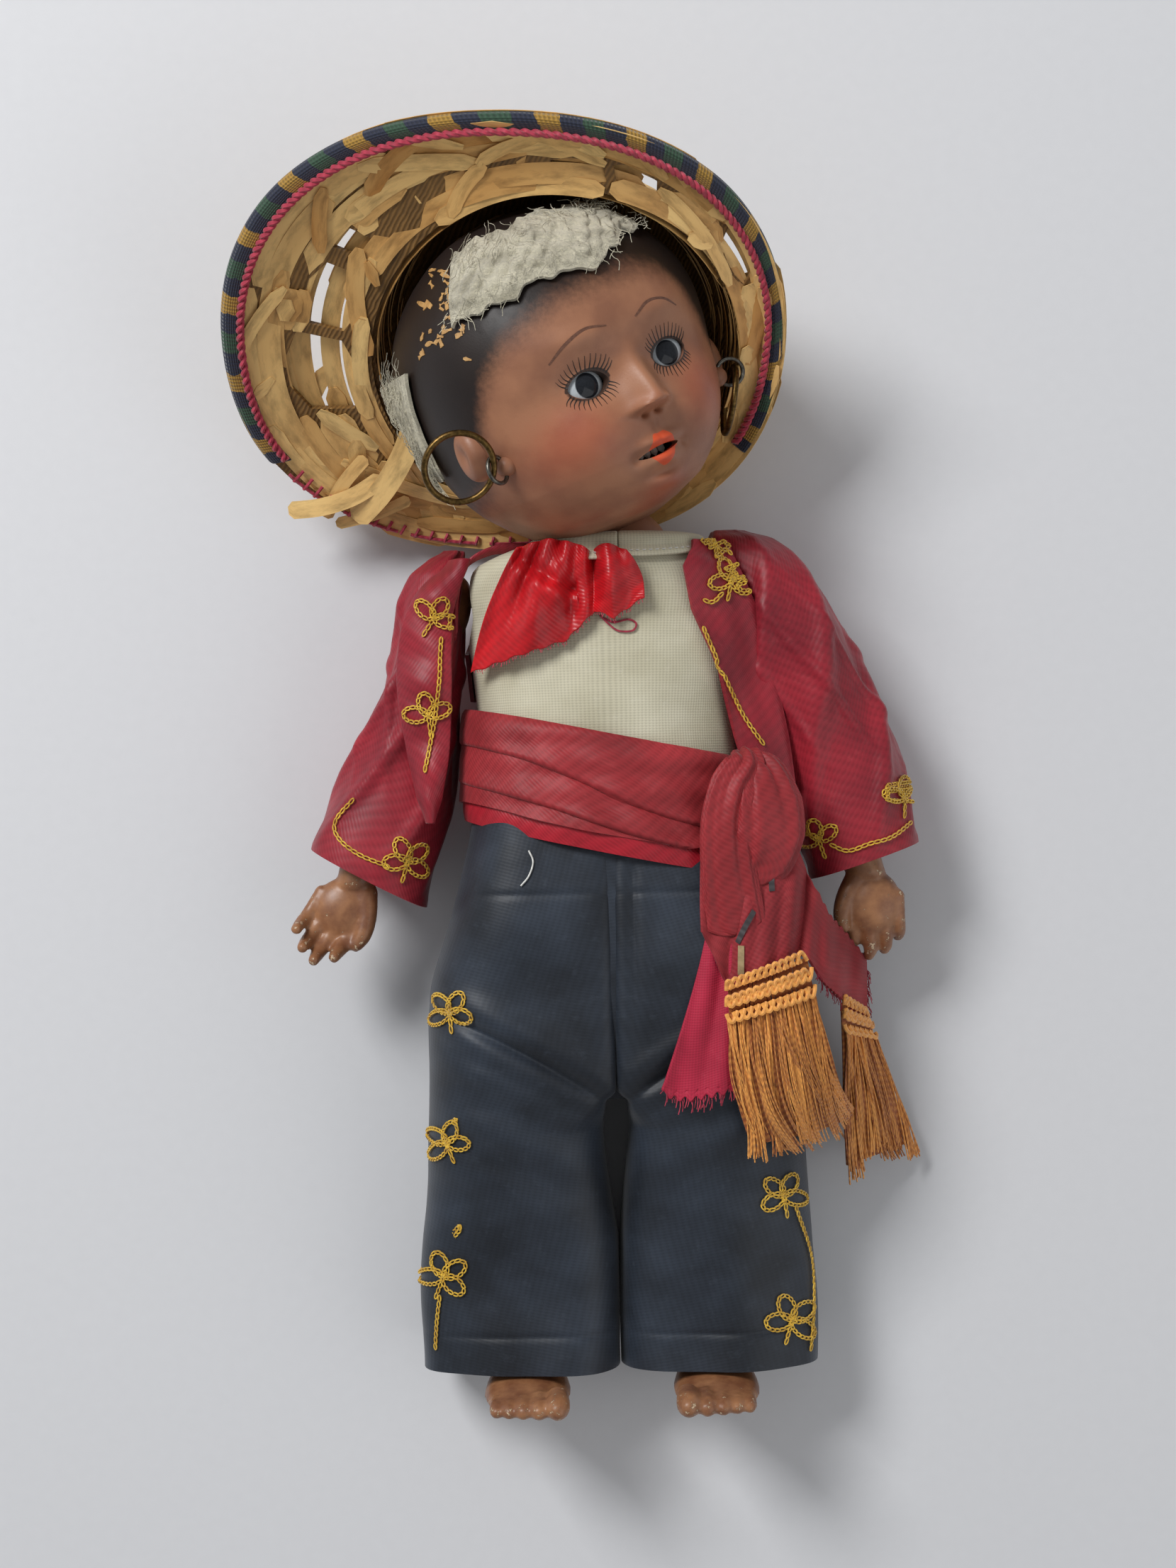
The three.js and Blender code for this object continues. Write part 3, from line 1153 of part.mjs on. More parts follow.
// The origin is the middle of the base.
const bounds = new THREE.Box3().setFromObject(group, true);
const middle = bounds.getCenter(new THREE.Vector3());
group.position.set(-middle.x, -middle.y, -bounds.min.z);

export default group;
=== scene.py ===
"""A costume doll lying on its back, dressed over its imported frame.

Places are written in millimetres in the doll's own frame: x = 0 is the middle of the body, y runs
towards the head, z = 0 is the surface it lies on. doll() turns them into the scene's metres.
"""

import math
import random

import bpy
import numpy as np
from mathutils import Matrix, Vector
from mathutils.bvhtree import BVHTree


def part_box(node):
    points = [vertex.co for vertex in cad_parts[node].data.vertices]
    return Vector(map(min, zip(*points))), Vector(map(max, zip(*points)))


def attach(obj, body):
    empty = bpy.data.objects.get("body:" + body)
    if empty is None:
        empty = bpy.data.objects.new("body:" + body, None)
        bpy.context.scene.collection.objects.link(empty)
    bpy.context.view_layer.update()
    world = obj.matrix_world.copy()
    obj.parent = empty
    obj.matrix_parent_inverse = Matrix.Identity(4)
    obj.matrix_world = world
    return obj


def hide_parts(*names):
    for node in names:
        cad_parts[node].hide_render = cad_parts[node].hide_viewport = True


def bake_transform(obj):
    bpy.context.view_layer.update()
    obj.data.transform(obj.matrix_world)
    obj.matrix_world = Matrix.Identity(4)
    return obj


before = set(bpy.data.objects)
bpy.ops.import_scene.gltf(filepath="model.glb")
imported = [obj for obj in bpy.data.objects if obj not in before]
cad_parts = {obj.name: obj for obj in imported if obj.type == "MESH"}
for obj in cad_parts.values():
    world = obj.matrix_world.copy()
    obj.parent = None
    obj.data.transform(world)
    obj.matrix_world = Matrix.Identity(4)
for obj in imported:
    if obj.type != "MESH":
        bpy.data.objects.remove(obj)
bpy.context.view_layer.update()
chance = random.Random(11)
TAU = 2 * math.pi
MM = 1000  # millimetres in a metre

# Where the doll's own frame lies in the scene

SOLE_Y = -120.5
torso_low, torso_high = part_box("torso")
leg_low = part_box("leg_left")[0]
SHIFT = np.array([
    MM * (torso_low[0] + torso_high[0]) / 2,
    MM * leg_low[1] - SOLE_Y,
    0.0,
])


def doll(points):
    """Millimetres in the doll's frame to metres in the scene."""
    return (np.asarray(points, float) + SHIFT) / MM


def spot(x, y, z):
    """One place in the doll's frame, as three plain numbers in metres."""
    return tuple(float(v) for v in doll([x, y, z]))


# Making and finishing a piece


def alone(piece):
    """Leaves one piece selected and active."""
    bpy.ops.object.select_all(action="DESELECT")
    piece.select_set(True)
    bpy.context.view_layer.objects.active = piece


def named(name):
    """Names the piece just made."""
    piece = bpy.context.active_object
    piece.name = name
    piece.data.name = name
    return piece


def primitive(add, name, **settings):
    """Adds one of the plain forms that pieces are made from."""
    bpy.ops.object.select_all(action="DESELECT")
    add(**settings)
    return named(name)


def grid(name, columns, rows):
    return primitive(bpy.ops.mesh.primitive_grid_add, name, x_subdivisions=columns, y_subdivisions=rows,
                     size=1)


def globe(name, segments, rings):
    add = bpy.ops.mesh.primitive_uv_sphere_add
    return primitive(add, name, segments=segments, ring_count=rings, radius=1)


def cylinder(name, sides):
    return primitive(bpy.ops.mesh.primitive_cylinder_add, name, vertices=sides, radius=1, depth=1)


def corners(piece):
    """A piece's corners in its own units: metres, or one for a plain form just made."""
    flat = np.empty(len(piece.data.vertices) * 3)
    piece.data.vertices.foreach_get("co", flat)
    return flat.reshape(-1, 3)


def measured(piece):
    """A finished piece's corners in millimetres of the doll's frame."""
    return corners(piece) * MM - SHIFT


def move(piece, points):
    piece.data.vertices.foreach_set("co", np.asarray(points, float).ravel())
    piece.data.update()


def modify(piece, kind, **settings):
    """Adds a modifier and applies it."""
    alone(piece)
    made = piece.modifiers.new(kind, kind)
    for key, value in settings.items():
        setattr(made, key, value)
    bpy.ops.object.modifier_apply(modifier=made.name)
    return piece


def edited(piece, *steps):
    """Runs steps of mesh editing, each over the whole piece."""
    alone(piece)
    bpy.ops.object.mode_set(mode="EDIT")
    for step in steps:
        bpy.ops.mesh.select_all(action="SELECT")
        step()
    bpy.ops.object.mode_set(mode="OBJECT")
    return piece


def face_outwards():
    bpy.ops.mesh.normals_make_consistent(inside=False)


def welded(piece, reach=1e-5):
    """Closes the seam of a rolled grid and turns its faces outwards."""
    return edited(piece, lambda: bpy.ops.mesh.remove_doubles(threshold=reach), face_outwards)


def smooth(piece, degrees=50):
    alone(piece)
    bpy.ops.object.shade_smooth_by_angle(angle=math.radians(degrees))
    return piece


def measure(piece, name, values):
    """Keeps one number for each corner of the mesh, for its material to read."""
    made = piece.data.attributes.new(name, "FLOAT", "POINT")
    made.data.foreach_set("value", np.asarray(values, np.float32))
    return piece


def grid_places(piece):
    """How far across and along a plain grid each corner lies, from 0 to 1."""
    flat = corners(piece)
    return flat[:, 0] + 0.5, flat[:, 1] + 0.5


def globe_places(piece):
    """How far down a plain globe each corner lies, from 0 to 1, and its angle round it."""
    flat = corners(piece)
    share = 0.5 - np.arcsin(np.clip(flat[:, 2], -1, 1)) / math.pi
    return share, np.arctan2(flat[:, 1], flat[:, 0])


def lay_map(piece, across, along):
    """Lays a piece's UV map out in millimetres of cloth."""
    loops = np.empty(len(piece.data.loops), int)
    piece.data.loops.foreach_get("vertex_index", loops)
    piece.data.uv_layers.active.data.foreach_set("uv", np.stack([across, along], 1)[loops].ravel())


def shaped(piece, place, width, length):
    """Moves a grid's corners to place(s, t), with its map as wide and long as the cloth."""
    s, t = grid_places(piece)
    lay_map(piece, s * width, t * length)
    move(piece, doll(place(s, t)))
    return piece


SATEEN = 0.8  # thickness of the jacket's and trousers' cloth, seams included


def cloth(name, columns, rows, place, size, thickness=SATEEN, rolled=False, levels=1):
    """A sheet of cloth: a grid given its place, then a thickness, then rounded."""
    piece = shaped(grid(name, columns, rows), place, *size)
    if rolled:
        welded(piece)
    modify(piece, "SOLIDIFY", thickness=thickness / MM, offset=0)
    if levels:
        modify(piece, "SUBSURF", levels=levels, render_levels=levels)
    return smooth(piece, 60)


def dressed(piece, body, look, replaces=()):
    """Gives a piece its finish and its body, and hides the frame's nodes that it stands for."""
    piece.data.materials.clear()
    piece.data.materials.append(look)
    if body:
        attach(piece, body)
    if replaces:
        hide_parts(*replaces)
    return piece


# Long thin things: straws, threads, strokes and wires, many to a mesh


def unit(vectors):
    """The same directions with a length of one."""
    vectors = np.asarray(vectors, float)
    return vectors / np.maximum(np.linalg.norm(vectors, axis=-1, keepdims=True), 1e-9)


class Bundle:
    """Many swept strips gathered into one mesh, each with its own tone and its length in mm."""

    def __init__(self):
        self.points = []
        self.faces = []
        self.tones = []
        self.along = []
        self.count = 0

    def sweep(self, path, normals, half_width, half_height, sides=4, tone=0.5, closed=False):
        path = np.asarray(path, float)
        count = len(path)
        normals = np.broadcast_to(np.asarray(normals, float), (count, 3))
        if closed:
            along = np.roll(path, -1, 0) - np.roll(path, 1, 0)
        else:
            along = np.gradient(path, axis=0)
        along = unit(along)
        across = unit(np.cross(along, normals))
        up = np.cross(across, along)
        wide = np.broadcast_to(half_width, (count,))[:, None]
        high = np.broadcast_to(half_height, (count,))[:, None]
        first = self.count
        self.count += sides * count
        for k in range(sides):
            turn = TAU * (k + 0.5) / sides if sides > 3 else TAU * k / sides
            self.points.append(path + across * wide * math.cos(turn) + up * high * math.sin(turn))
        at = lambda k, i: first + (k % sides) * count + i % count
        for k in range(sides):
            for i in range(count if closed else count - 1):
                self.faces.append((at(k, i), at(k, i + 1), at(k + 1, i + 1), at(k + 1, i)))
        if not closed:
            self.faces.append(tuple(at(k, 0) for k in range(sides)))
            self.faces.append(tuple(at(k, count - 1) for k in reversed(range(sides))))
        reach = np.concatenate([[0], np.cumsum(np.linalg.norm(np.diff(path, axis=0), axis=1))])
        for _ in range(sides):
            self.tones.append(np.full(count, tone))
            self.along.append(reach)

    def mesh(self, name, more=()):
        data = bpy.data.meshes.new(name)
        data.from_pydata(doll(np.concatenate(self.points)).tolist(), [], self.faces)
        piece = bpy.data.objects.new(name, data)
        bpy.context.scene.collection.objects.link(piece)
        measure(piece, "tone", np.concatenate(self.tones))
        measure(piece, "along", np.concatenate(self.along))
        for key, values in dict(more).items():
            measure(piece, key, values)
        welded(piece, 1e-8)
        return smooth(piece, 40)


def curve(points, steps):
    """A smooth path through a few points."""
    points = np.asarray(points, float)
    ends = np.concatenate([[2 * points[0] - points[1]], points, [2 * points[-1] - points[-2]]])
    spans = len(points) - 1
    at = np.linspace(0, spans, steps)
    k = np.minimum(at.astype(int), spans - 1)
    t = (at - k)[:, None]
    p0, p1, p2, p3 = ends[k], ends[k + 1], ends[k + 2], ends[k + 3]
    bend = 2 * p0 - 5 * p1 + 4 * p2 - p3
    twist = 3 * (p1 - p2) + p3 - p0
    return p1 + 0.5 * t * (p2 - p0 + t * (bend + t * twist))


def between(table, key):
    """Smooth values between the rows of a table whose first column rises."""
    table = np.asarray(table, float)
    last = len(table) - 1
    key = np.clip(np.asarray(key, float), table[0, 0], table[last, 0])
    k = np.clip(np.searchsorted(table[:, 0], key, side="left") - 1, 0, last - 1)
    row = lambda i: table[np.clip(i, 0, last)]
    t = ((key - row(k)[..., 0]) / (row(k + 1)[..., 0] - row(k)[..., 0]))[..., None]
    p0, p1, p2, p3 = [row(k + j)[..., 1:] for j in (-1, 0, 1, 2)]
    bend = 2 * p0 - 5 * p1 + 4 * p2 - p3
    twist = 3 * (p1 - p2) + p3 - p0
    return p1 + 0.5 * t * (p2 - p0 + t * (bend + t * twist))


def straight(table, key):
    """Straight lines between the rows of a table: one value for each key."""
    table = np.asarray(table, float)
    return np.interp(key, table[:, 0], table[:, 1])


def mix(a, b, t):
    """From a to b as t goes from 0 to 1."""
    return a + (b - a) * t


def ease(value, low, high):
    """A soft step from 0 to 1 as a value goes from low to high."""
    t = np.clip((np.asarray(value, float) - low) / (high - low), 0, 1)
    return t * t * (3 - 2 * t)


def power(value, exponent):
    """A power that keeps its value's sign, for squared-off rounds."""
    return np.sign(value) * np.abs(value) ** exponent


def bell(value, middle, width):
    """A smooth rise to 1 round a middle value."""
    return np.exp(-(((value - middle) / width) ** 2))


# The photograph's camera, and places found through it

LENS_HEIGHT = 495  # mm above the surface
LENS_X = -4
PLANE_Z = 25  # the height at which the next scale is true
PIXELS_PER_MM = 7.3
ROLL = math.radians(1.3)
PHOTO_MIDDLE = np.array([829.5, 1106])
FRONT_DEPTH = 35  # a usual height of the doll's front over the surface


def rolled(x, y, z):
    """A place turned with the camera, which is held a little askew."""
    turned = [x * math.cos(ROLL) + y * math.sin(ROLL), y * math.cos(ROLL) - x * math.sin(ROLL), z]
    return np.array(turned)


def aimed(u, v):
    """The lens, and the direction from it through a point of the photograph."""
    lens = rolled(LENS_X, 0, LENS_HEIGHT)
    across = (u - PHOTO_MIDDLE[0]) / PIXELS_PER_MM + LENS_X
    through = rolled(across, (PHOTO_MIDDLE[1] - v) / PIXELS_PER_MM, PLANE_Z)
    return lens, unit(through - lens)


def surface(*pieces):
    """A search tree over finished pieces, in millimetres."""
    points = []
    faces = []
    for piece in pieces:
        first = len(points)
        points.extend(measured(piece).tolist())
        faces.extend([first + v for v in face.vertices] for face in piece.data.polygons)
    return BVHTree.FromPolygons(points, faces)


def laid(tree, marks, lift, steps=None, smooth_path=True):
    """Carries a line of photograph points onto a surface: the path over it and its normals."""
    marks = curve(marks, steps or 8 * len(marks)) if smooth_path else np.asarray(marks, float)
    path = []
    normals = []
    for u, v in marks:
        lens, way = aimed(u, v)
        hit, normal, _, _ = tree.ray_cast(Vector(lens), Vector(way))
        if hit is None:
            hit, normal, _, _ = tree.find_nearest(Vector(lens + way * (LENS_HEIGHT - FRONT_DEPTH)))
        if normal.dot(Vector(way)) > 0:
            normal = -normal
        path.append(np.array(hit) + lift * np.array(normal))
        normals.append(np.array(normal))
    return np.array(path), np.array(normals)


def camera():
    bpy.ops.object.camera_add(location=spot(*rolled(LENS_X, 0, LENS_HEIGHT)), rotation=(0, 0, -ROLL))
    made = bpy.context.active_object
    made.data.sensor_fit = "VERTICAL"
    made.data.angle = 2 * math.atan(PHOTO_MIDDLE[1] / PIXELS_PER_MM / (LENS_HEIGHT - PLANE_Z))
    made.data.clip_start = 0.01
    bpy.context.scene.camera = made


def soft_light(name, place, size, energy):
    bpy.ops.object.light_add(type="AREA", location=place)
    made = bpy.context.active_object
    made.name = name
    made.data.size = size
    made.data.energy = energy
    made.rotation_euler = Vector(place).to_track_quat("Z", "Y").to_euler()


# Materials


def colour(code):
    """An sRGB hex colour as the linear value a shader takes."""
    parts = [int(code[k:k + 2], 16) / 255 for k in (1, 3, 5)]
    line = [c / 12.92 if c <= 0.04045 else ((c + 0.055) / 1.055) ** 2.4 for c in parts]
    return (*line, 1.0)


def node(look, kind, inputs=(), out=0, **settings):
    """Adds a node with its settings and links, and gives the output asked for."""
    made = look.node_tree.nodes.new("ShaderNode" + kind)
    for key, value in settings.items():
        setattr(made, key, value)
    for key, value in dict(inputs).items():
        if isinstance(value, bpy.types.NodeSocket):
            look.node_tree.links.new(value, made.inputs[key])
        else:
            made.inputs[key].default_value = value
    return made.outputs[out]


def started(name, **sockets):
    """A new material whose shader has these values."""
    look = bpy.data.materials.new(name)
    look.use_nodes = True
    shader = look.node_tree.nodes["Principled BSDF"]
    for key, value in sockets.items():
        shader.inputs[key.replace("_", " ")].default_value = value
    return look


def finished(look, tint, bump, depth, roughness=None):
    """Links a colour, a height in millimetres and a roughness to the shader."""
    shader = look.node_tree.nodes["Principled BSDF"]
    look.node_tree.links.new(tint, shader.inputs["Base Color"])
    if roughness is not None:
        look.node_tree.links.new(roughness, shader.inputs["Roughness"])
    relief = node(look, "Bump", {"Strength": 1.0, "Distance": depth / MM, "Height": bump}, out="Normal")
    look.node_tree.links.new(relief, shader.inputs["Normal"])
    return look


WAVE_UNIT = TAU / 20  # a wave texture's scale for a spacing of one


def woven(look, places, warp, weft):
    """Height of a plain weave with these thread spacings in millimetres."""
    threads = []
    for spacing, direction in ((warp, "X"), (weft, "Y")):
        inputs = {"Vector": places, "Scale": WAVE_UNIT / spacing, "Distortion": 0.6, "Detail": 1.0}
        threads.append(node(look, "TexWave", inputs, bands_direction=direction))
    return node(look, "Math", {0: threads[0], 1: threads[1]}, operation="ADD")


def object_places(look, scale=(MM, MM, MM), rotation=(0, 0, 0)):
    """Places on the piece in millimetres, for a finish that follows no cloth."""
    source = node(look, "TexCoord", out="Object")
    return node(look, "Mapping", {"Vector": source, "Scale": scale, "Rotation": rotation})


def mottled(look, value, low, high, dark, light, most=1.0):
    """Goes from one colour to another as a value goes from low to high."""
    share = node(look, "MapRange", {"Value": value, 1: low, 2: high, 4: most})
    return node(look, "Mix", {0: share, 6: dark, 7: light}, out=2, data_type="RGBA")


def shade_in_hollows(look, tint, value, low, high, least, most=1.0):
    """Paints shade into a colour where a value is low: the shade in the hollows between threads and fibres.
    """
    deep = node(look, "MapRange", {"Value": value, 1: low, 2: high, 3: least, 4: most})
    return node(look, "Mix", {0: 1.0, 6: tint, 7: deep}, out=2, data_type="RGBA", blend_type="MULTIPLY")


def cloth_finish(name, light, dark, worn, weave, sheen, roughness, shine=0.0, relief=0.05, bias=0.0):
    """Woven cloth: its threads, turned to a twill by bias, uneven dye, rubbed places, and painted shade
    between the threads.
    """
    look = started(name, Roughness=roughness, Sheen_Weight=sheen, Sheen_Roughness=0.4,
                   Specular_IOR_Level=0.35, Coat_Weight=shine, Coat_Roughness=0.45)
    places = node(look, "UVMap")
    turned_places = node(look, "Mapping", {"Vector": places, "Rotation": (0, 0, bias)})
    threads = woven(look, turned_places, *weave)
    patches = {"Vector": places, "Scale": 0.07, "Detail": 3.0, "Roughness": 0.5}
    dye = node(look, "TexNoise", patches, out="Fac")
    tint = mottled(look, dye, 0.35, 0.68, colour(dark), colour(light))
    rubs = {"Vector": places, "Scale": 0.4, "Detail": 6.0, "Roughness": 0.7}
    rub = node(look, "TexNoise", rubs, out="Fac")
    tint = mottled(look, rub, 0.56, 0.8, tint, colour(worn), 0.4)
    # painted shade in the hollows between the threads
    tint = shade_in_hollows(look, tint, threads, 0.2, 1.3, 0.8)
    return finished(look, tint, threads, relief)


def bisque_finish():
    """Tinted bisque, fired matt: a warm brown skin with painted hair, lips, lids and blushes."""
    look = started("tinted_bisque", Roughness=0.46, Specular_IOR_Level=0.4, Coat_Weight=0.08,
                   Coat_Roughness=0.3)
    places = object_places(look)
    fine = {"Vector": places, "Scale": 2.6, "Detail": 6.0, "Roughness": 0.7}
    grain = node(look, "TexNoise", fine, out="Fac")
    patches = node(look, "TexNoise", {"Vector": places, "Scale": 0.12, "Detail": 3.0}, out="Fac")
    tint = mottled(look, patches, 0.35, 0.65, colour("#8f6048"), colour("#a67355"))
    tint = mottled(look, grain, 0.62, 0.74, tint, colour("#6e4434"), 0.35)
    strokes = {"Vector": places, "Scale": 0.9, "Detail": 5.0, "Roughness": 0.7}
    brushed = node(look, "TexNoise", strokes, out="Fac")
    ragged = node(look, "Math", {0: brushed, 1: 0.5}, operation="SUBTRACT")
    for name, spread, low, high, most, code in (
        ("blush", 0.3, 0.0, 1.05, 0.48, "#b04c32"),
        ("lips", 0.25, -0.1, 0.12, 0.95, "#d4512b"),
        ("liner", 0.1, 0.35, 0.75, 0.9, "#1c120e"),
        ("hair", 4.2, -4.6, 3.2, 0.97, "#0e0c0d"),
    ):
        amount = node(look, "Attribute", attribute_name=name, out="Fac")
        edge = node(look, "Math", {0: ragged, 1: spread, 2: amount}, operation="MULTIPLY_ADD")
        share = node(look, "MapRange", {"Value": edge, 1: low, 2: high, 4: most},
                     interpolation_type="SMOOTHSTEP")
        tint = node(look, "Mix", {0: share, 6: tint, 7: colour(code)}, out=2, data_type="RGBA")
    matt = node(look, "MapRange", {"Value": grain, 1: 0.3, 2: 0.7, 3: 0.4, 4: 0.56})
    rough = node(look, "Mix", {0: share, 2: matt, 3: 0.52}, data_type="FLOAT")
    return finished(look, tint, grain, 0.03, rough)


def glass_eye_finish():
    """Blown glass eye: a blue-grey white, a near-black iris and pupil under a clear gloss."""
    look = started("glass_eye", Roughness=0.1, Specular_IOR_Level=0.22, Coat_Weight=0.12,
                   Coat_Roughness=0.03)
    places = object_places(look)
    rays = node(look, "TexNoise", {"Vector": places, "Scale": 2.2, "Detail": 4.0}, out="Fac")
    white = mottled(look, rays, 0.0, 1.0, colour("#a4abb0"), colour("#c4cace"))
    iris = mottled(look, rays, 0.0, 1.0, colour("#14161a"), colour("#2a2d33"))
    from_gaze = node(look, "Attribute", attribute_name="out", out="Fac")
    tint = mottled(look, from_gaze, 2.3, 2.5, iris, white)
    return finished(look, tint, rays, 0.004)


def straw_finish():
    """Plaited palm leaf: long fibres, each strip aged to its own shade of honey and brown."""
    look = started("palm_straw", Roughness=0.5, Specular_IOR_Level=0.4)
    tone, along, across = [node(look, "Attribute", attribute_name=name, out="Fac")
                           for name in ("tone", "along", "across")]
    drawn_out = node(look, "Math", {0: along, 1: 0.05}, operation="MULTIPLY")
    own_leaf = node(look, "Math", {0: tone, 1: 40.0}, operation="MULTIPLY")
    places = node(look, "CombineXYZ", {0: drawn_out, 1: across, 2: own_leaf})
    fine = {"Vector": places, "Scale": 3.2, "Detail": 5.0, "Roughness": 0.65}
    fibre = node(look, "TexNoise", fine, out="Fac")
    patches = node(look, "TexNoise", {"Vector": places, "Scale": 0.8, "Detail": 3.0}, out="Fac")
    age = node(look, "Math", {0: patches, 1: 0.75}, operation="MULTIPLY")
    mixed = node(look, "Math", {0: tone, 1: 0.55, 2: age}, operation="MULTIPLY_ADD")
    tint = mottled(look, mixed, 0.3, 0.95, colour("#b87a34"), colour("#f6cf88"))
    # painted shade in the hollows between the palm fibres
    tint = shade_in_hollows(look, tint, fibre, 0.3, 0.54, 0.6)
    return finished(look, tint, fibre, 0.12)


def brim_finish():
    """The plait under the strips: palm leaf seen through its gaps, mottled with age, and dark as painted
    shade in the gaps between the strips.
    """
    look = started("palm_plait", Roughness=0.6)
    places = object_places(look, rotation=(0, 0, 0.6))
    waves = {"Vector": places, "Scale": WAVE_UNIT / 0.8, "Distortion": 3.0, "Detail": 3.0}
    fibre = node(look, "TexWave", waves)
    age = node(look, "TexNoise", {"Vector": places, "Scale": 0.25, "Detail": 4.0}, out="Fac")
    # painted shade: the dark colour stands for the shade in the gaps between the strips; the mottling
    # between the two colours is age
    tint = mottled(look, age, 0.0, 1.0, colour("#4e3416"), colour("#a87c40"))
    # more painted shade in the hollows between the plait's fibres
    tint = shade_in_hollows(look, tint, fibre, 0.0, 1.0, 0.6)
    return finished(look, tint, fibre, 0.1)


BAND_REPEAT = 15.0  # mm from one run of blocks to the next
BAND_BLOCKS = ["#1a2138", "#a8802e", "#1a2138", "#2c4c36"]


def band_finish():
    """Woven hat band: blocks of navy, mustard and green with a plain weave."""
    look = started("woven_band", Roughness=0.75, Sheen_Weight=0.25)
    places = node(look, "UVMap")
    length = node(look, "SeparateXYZ", {0: places}, out=0)
    wavering = node(look, "TexNoise", {"Vector": places, "Scale": 0.5, "Detail": 2.0}, out="Fac")
    moved = node(look, "Math", {0: wavering, 1: 1.6, 2: length}, operation="MULTIPLY_ADD")
    within = node(look, "Math", {0: moved, 1: BAND_REPEAT}, operation="MODULO")
    block = node(look, "Math", {0: within, 1: BAND_REPEAT}, operation="DIVIDE")
    blocks = node(look, "ValToRGB", {0: block})
    ramp = blocks.node.color_ramp
    ramp.interpolation = "CONSTANT"
    ramp.elements[1].position = 1 / len(BAND_BLOCKS)
    while len(ramp.elements) < len(BAND_BLOCKS):
        ramp.elements.new(len(ramp.elements) / len(BAND_BLOCKS))
    for element, code in zip(ramp.elements, BAND_BLOCKS):
        element.color = colour(code)
    threads = woven(look, places, 0.7, 0.55)
    # painted shade between the threads, and a little painted light on their tops
    tint = shade_in_hollows(look, blocks, threads, 0.2, 1.2, 0.6, 1.05)
    return finished(look, tint, threads, 0.12)


def thread_finish(name, dark, light, twist=1.4, sheen=0.3):
    """Twisted thread: its ply shows as a slanting ribbing along each strand, in relief and as painted light
    and shade along the twist.
    """
    look = started(name, Roughness=0.6, Sheen_Weight=sheen)
    tone = node(look, "Attribute", attribute_name="tone", out="Fac")
    along = node(look, "Attribute", attribute_name="along", out="Fac")
    phase = node(look, "Math", {0: tone, 1: 60.0}, operation="MULTIPLY")
    turn = node(look, "Math", {0: along, 1: TAU / twist, 2: phase}, operation="MULTIPLY_ADD")
    ply = node(look, "Math", {0: turn}, operation="SINE")
    # each strand's own tone, lightened and darkened along its ply: painted light on the ridges and painted
    # shade in the grooves
    share = node(look, "Math", {0: ply, 1: 0.16, 2: tone}, operation="MULTIPLY_ADD")
    tint = node(look, "Mix", {0: share, 6: colour(dark), 7: colour(light)}, out=2, data_type="RGBA")
    return finished(look, tint, ply, 0.05)


def composition_finish():
    """Pressed composition under brown paint, chipped to its pale filler on the proud edges."""
    look = started("painted_composition", Roughness=0.42, Specular_IOR_Level=0.45, Coat_Weight=0.15,
                   Coat_Roughness=0.3)
    places = object_places(look)
    clouds = {"Vector": places, "Scale": 0.22, "Detail": 5.0, "Roughness": 0.6}
    cloud = node(look, "TexNoise", clouds, out="Fac")
    tint = mottled(look, cloud, 0.35, 0.68, colour("#7c4f35"), colour("#a87650"))
    flakes = {"Vector": places, "Scale": 0.85, "Detail": 6.0, "Roughness": 0.72}
    flake = node(look, "TexNoise", flakes, out="Fac")
    proud = node(look, "Attribute", attribute_name="proud", out="Fac")
    worn = node(look, "Math", {0: proud, 1: 0.12, 2: flake}, operation="MULTIPLY_ADD")
    chip = node(look, "MapRange", {"Value": worn, 1: 0.69, 2: 0.71})
    tint = node(look, "Mix", {0: chip, 6: tint, 7: colour("#cdb393")}, out=2, data_type="RGBA")
    height = node(look, "Math", {0: cloud, 1: chip}, operation="SUBTRACT")
    return finished(look, tint, height, 0.08)


def wadding_finish():
    """Cotton wadding under the lost wig: matted cream fibres, greyer in uneven patches, with painted shade
    between the fibres.
    """
    look = started("cotton_wadding", Roughness=0.95, Sheen_Weight=0.4, Specular_IOR_Level=0.15)
    places = object_places(look, (900, 1400, 1100))
    matted = {"Vector": places, "Scale": 1.3, "Detail": 8.0, "Roughness": 0.75, "Distortion": 1.6}
    fibre = node(look, "TexNoise", matted, out="Fac")
    grey_patches = node(look, "TexNoise", {"Vector": places, "Scale": 0.16, "Detail": 4.0}, out="Fac")
    tint = mottled(look, grey_patches, 0.46, 0.68, colour("#f4ecd0"), colour("#c4bca2"))
    # painted shade in the hollows between the fibres
    tint = shade_in_hollows(look, tint, fibre, 0.32, 0.56, 0.62)
    return finished(look, tint, fibre, 0.6)


def plain_finish(name, dark, light, roughness, scale, metallic=0.0, relief=0.03):
    """A small fitting's own finish: a mottled colour with a fine grain."""
    look = started(name, Roughness=roughness, Metallic=metallic)
    fine = {"Vector": object_places(look), "Scale": scale, "Detail": 6.0, "Roughness": 0.7}
    grain = node(look, "TexNoise", fine, out="Fac")
    tint = mottled(look, grain, 0.35, 0.65, colour(dark), colour(light))
    return finished(look, tint, grain, relief)


bisque = bisque_finish()
glass = glass_eye_finish()
straw = straw_finish()
plait = brim_finish()
band_cloth = band_finish()
composition = composition_finish()
wadding = wadding_finish()
# Lawn: plain woven cotton whose threads just show
lawn = cloth_finish("cotton_lawn", "#d9d4bc", "#c2bca2", "#e2decb", (0.62, 0.62), 0.2, 0.75, relief=0.02)
# Satin ribbon: a bright gloss along its folds
ribbon_satin = cloth_finish("satin_ribbon", "#d8141f", "#b00d18", "#e63a3a", (0.8, 3.2), 0.05, 0.36,
                            shine=0.25, relief=0.035, bias=0.7)
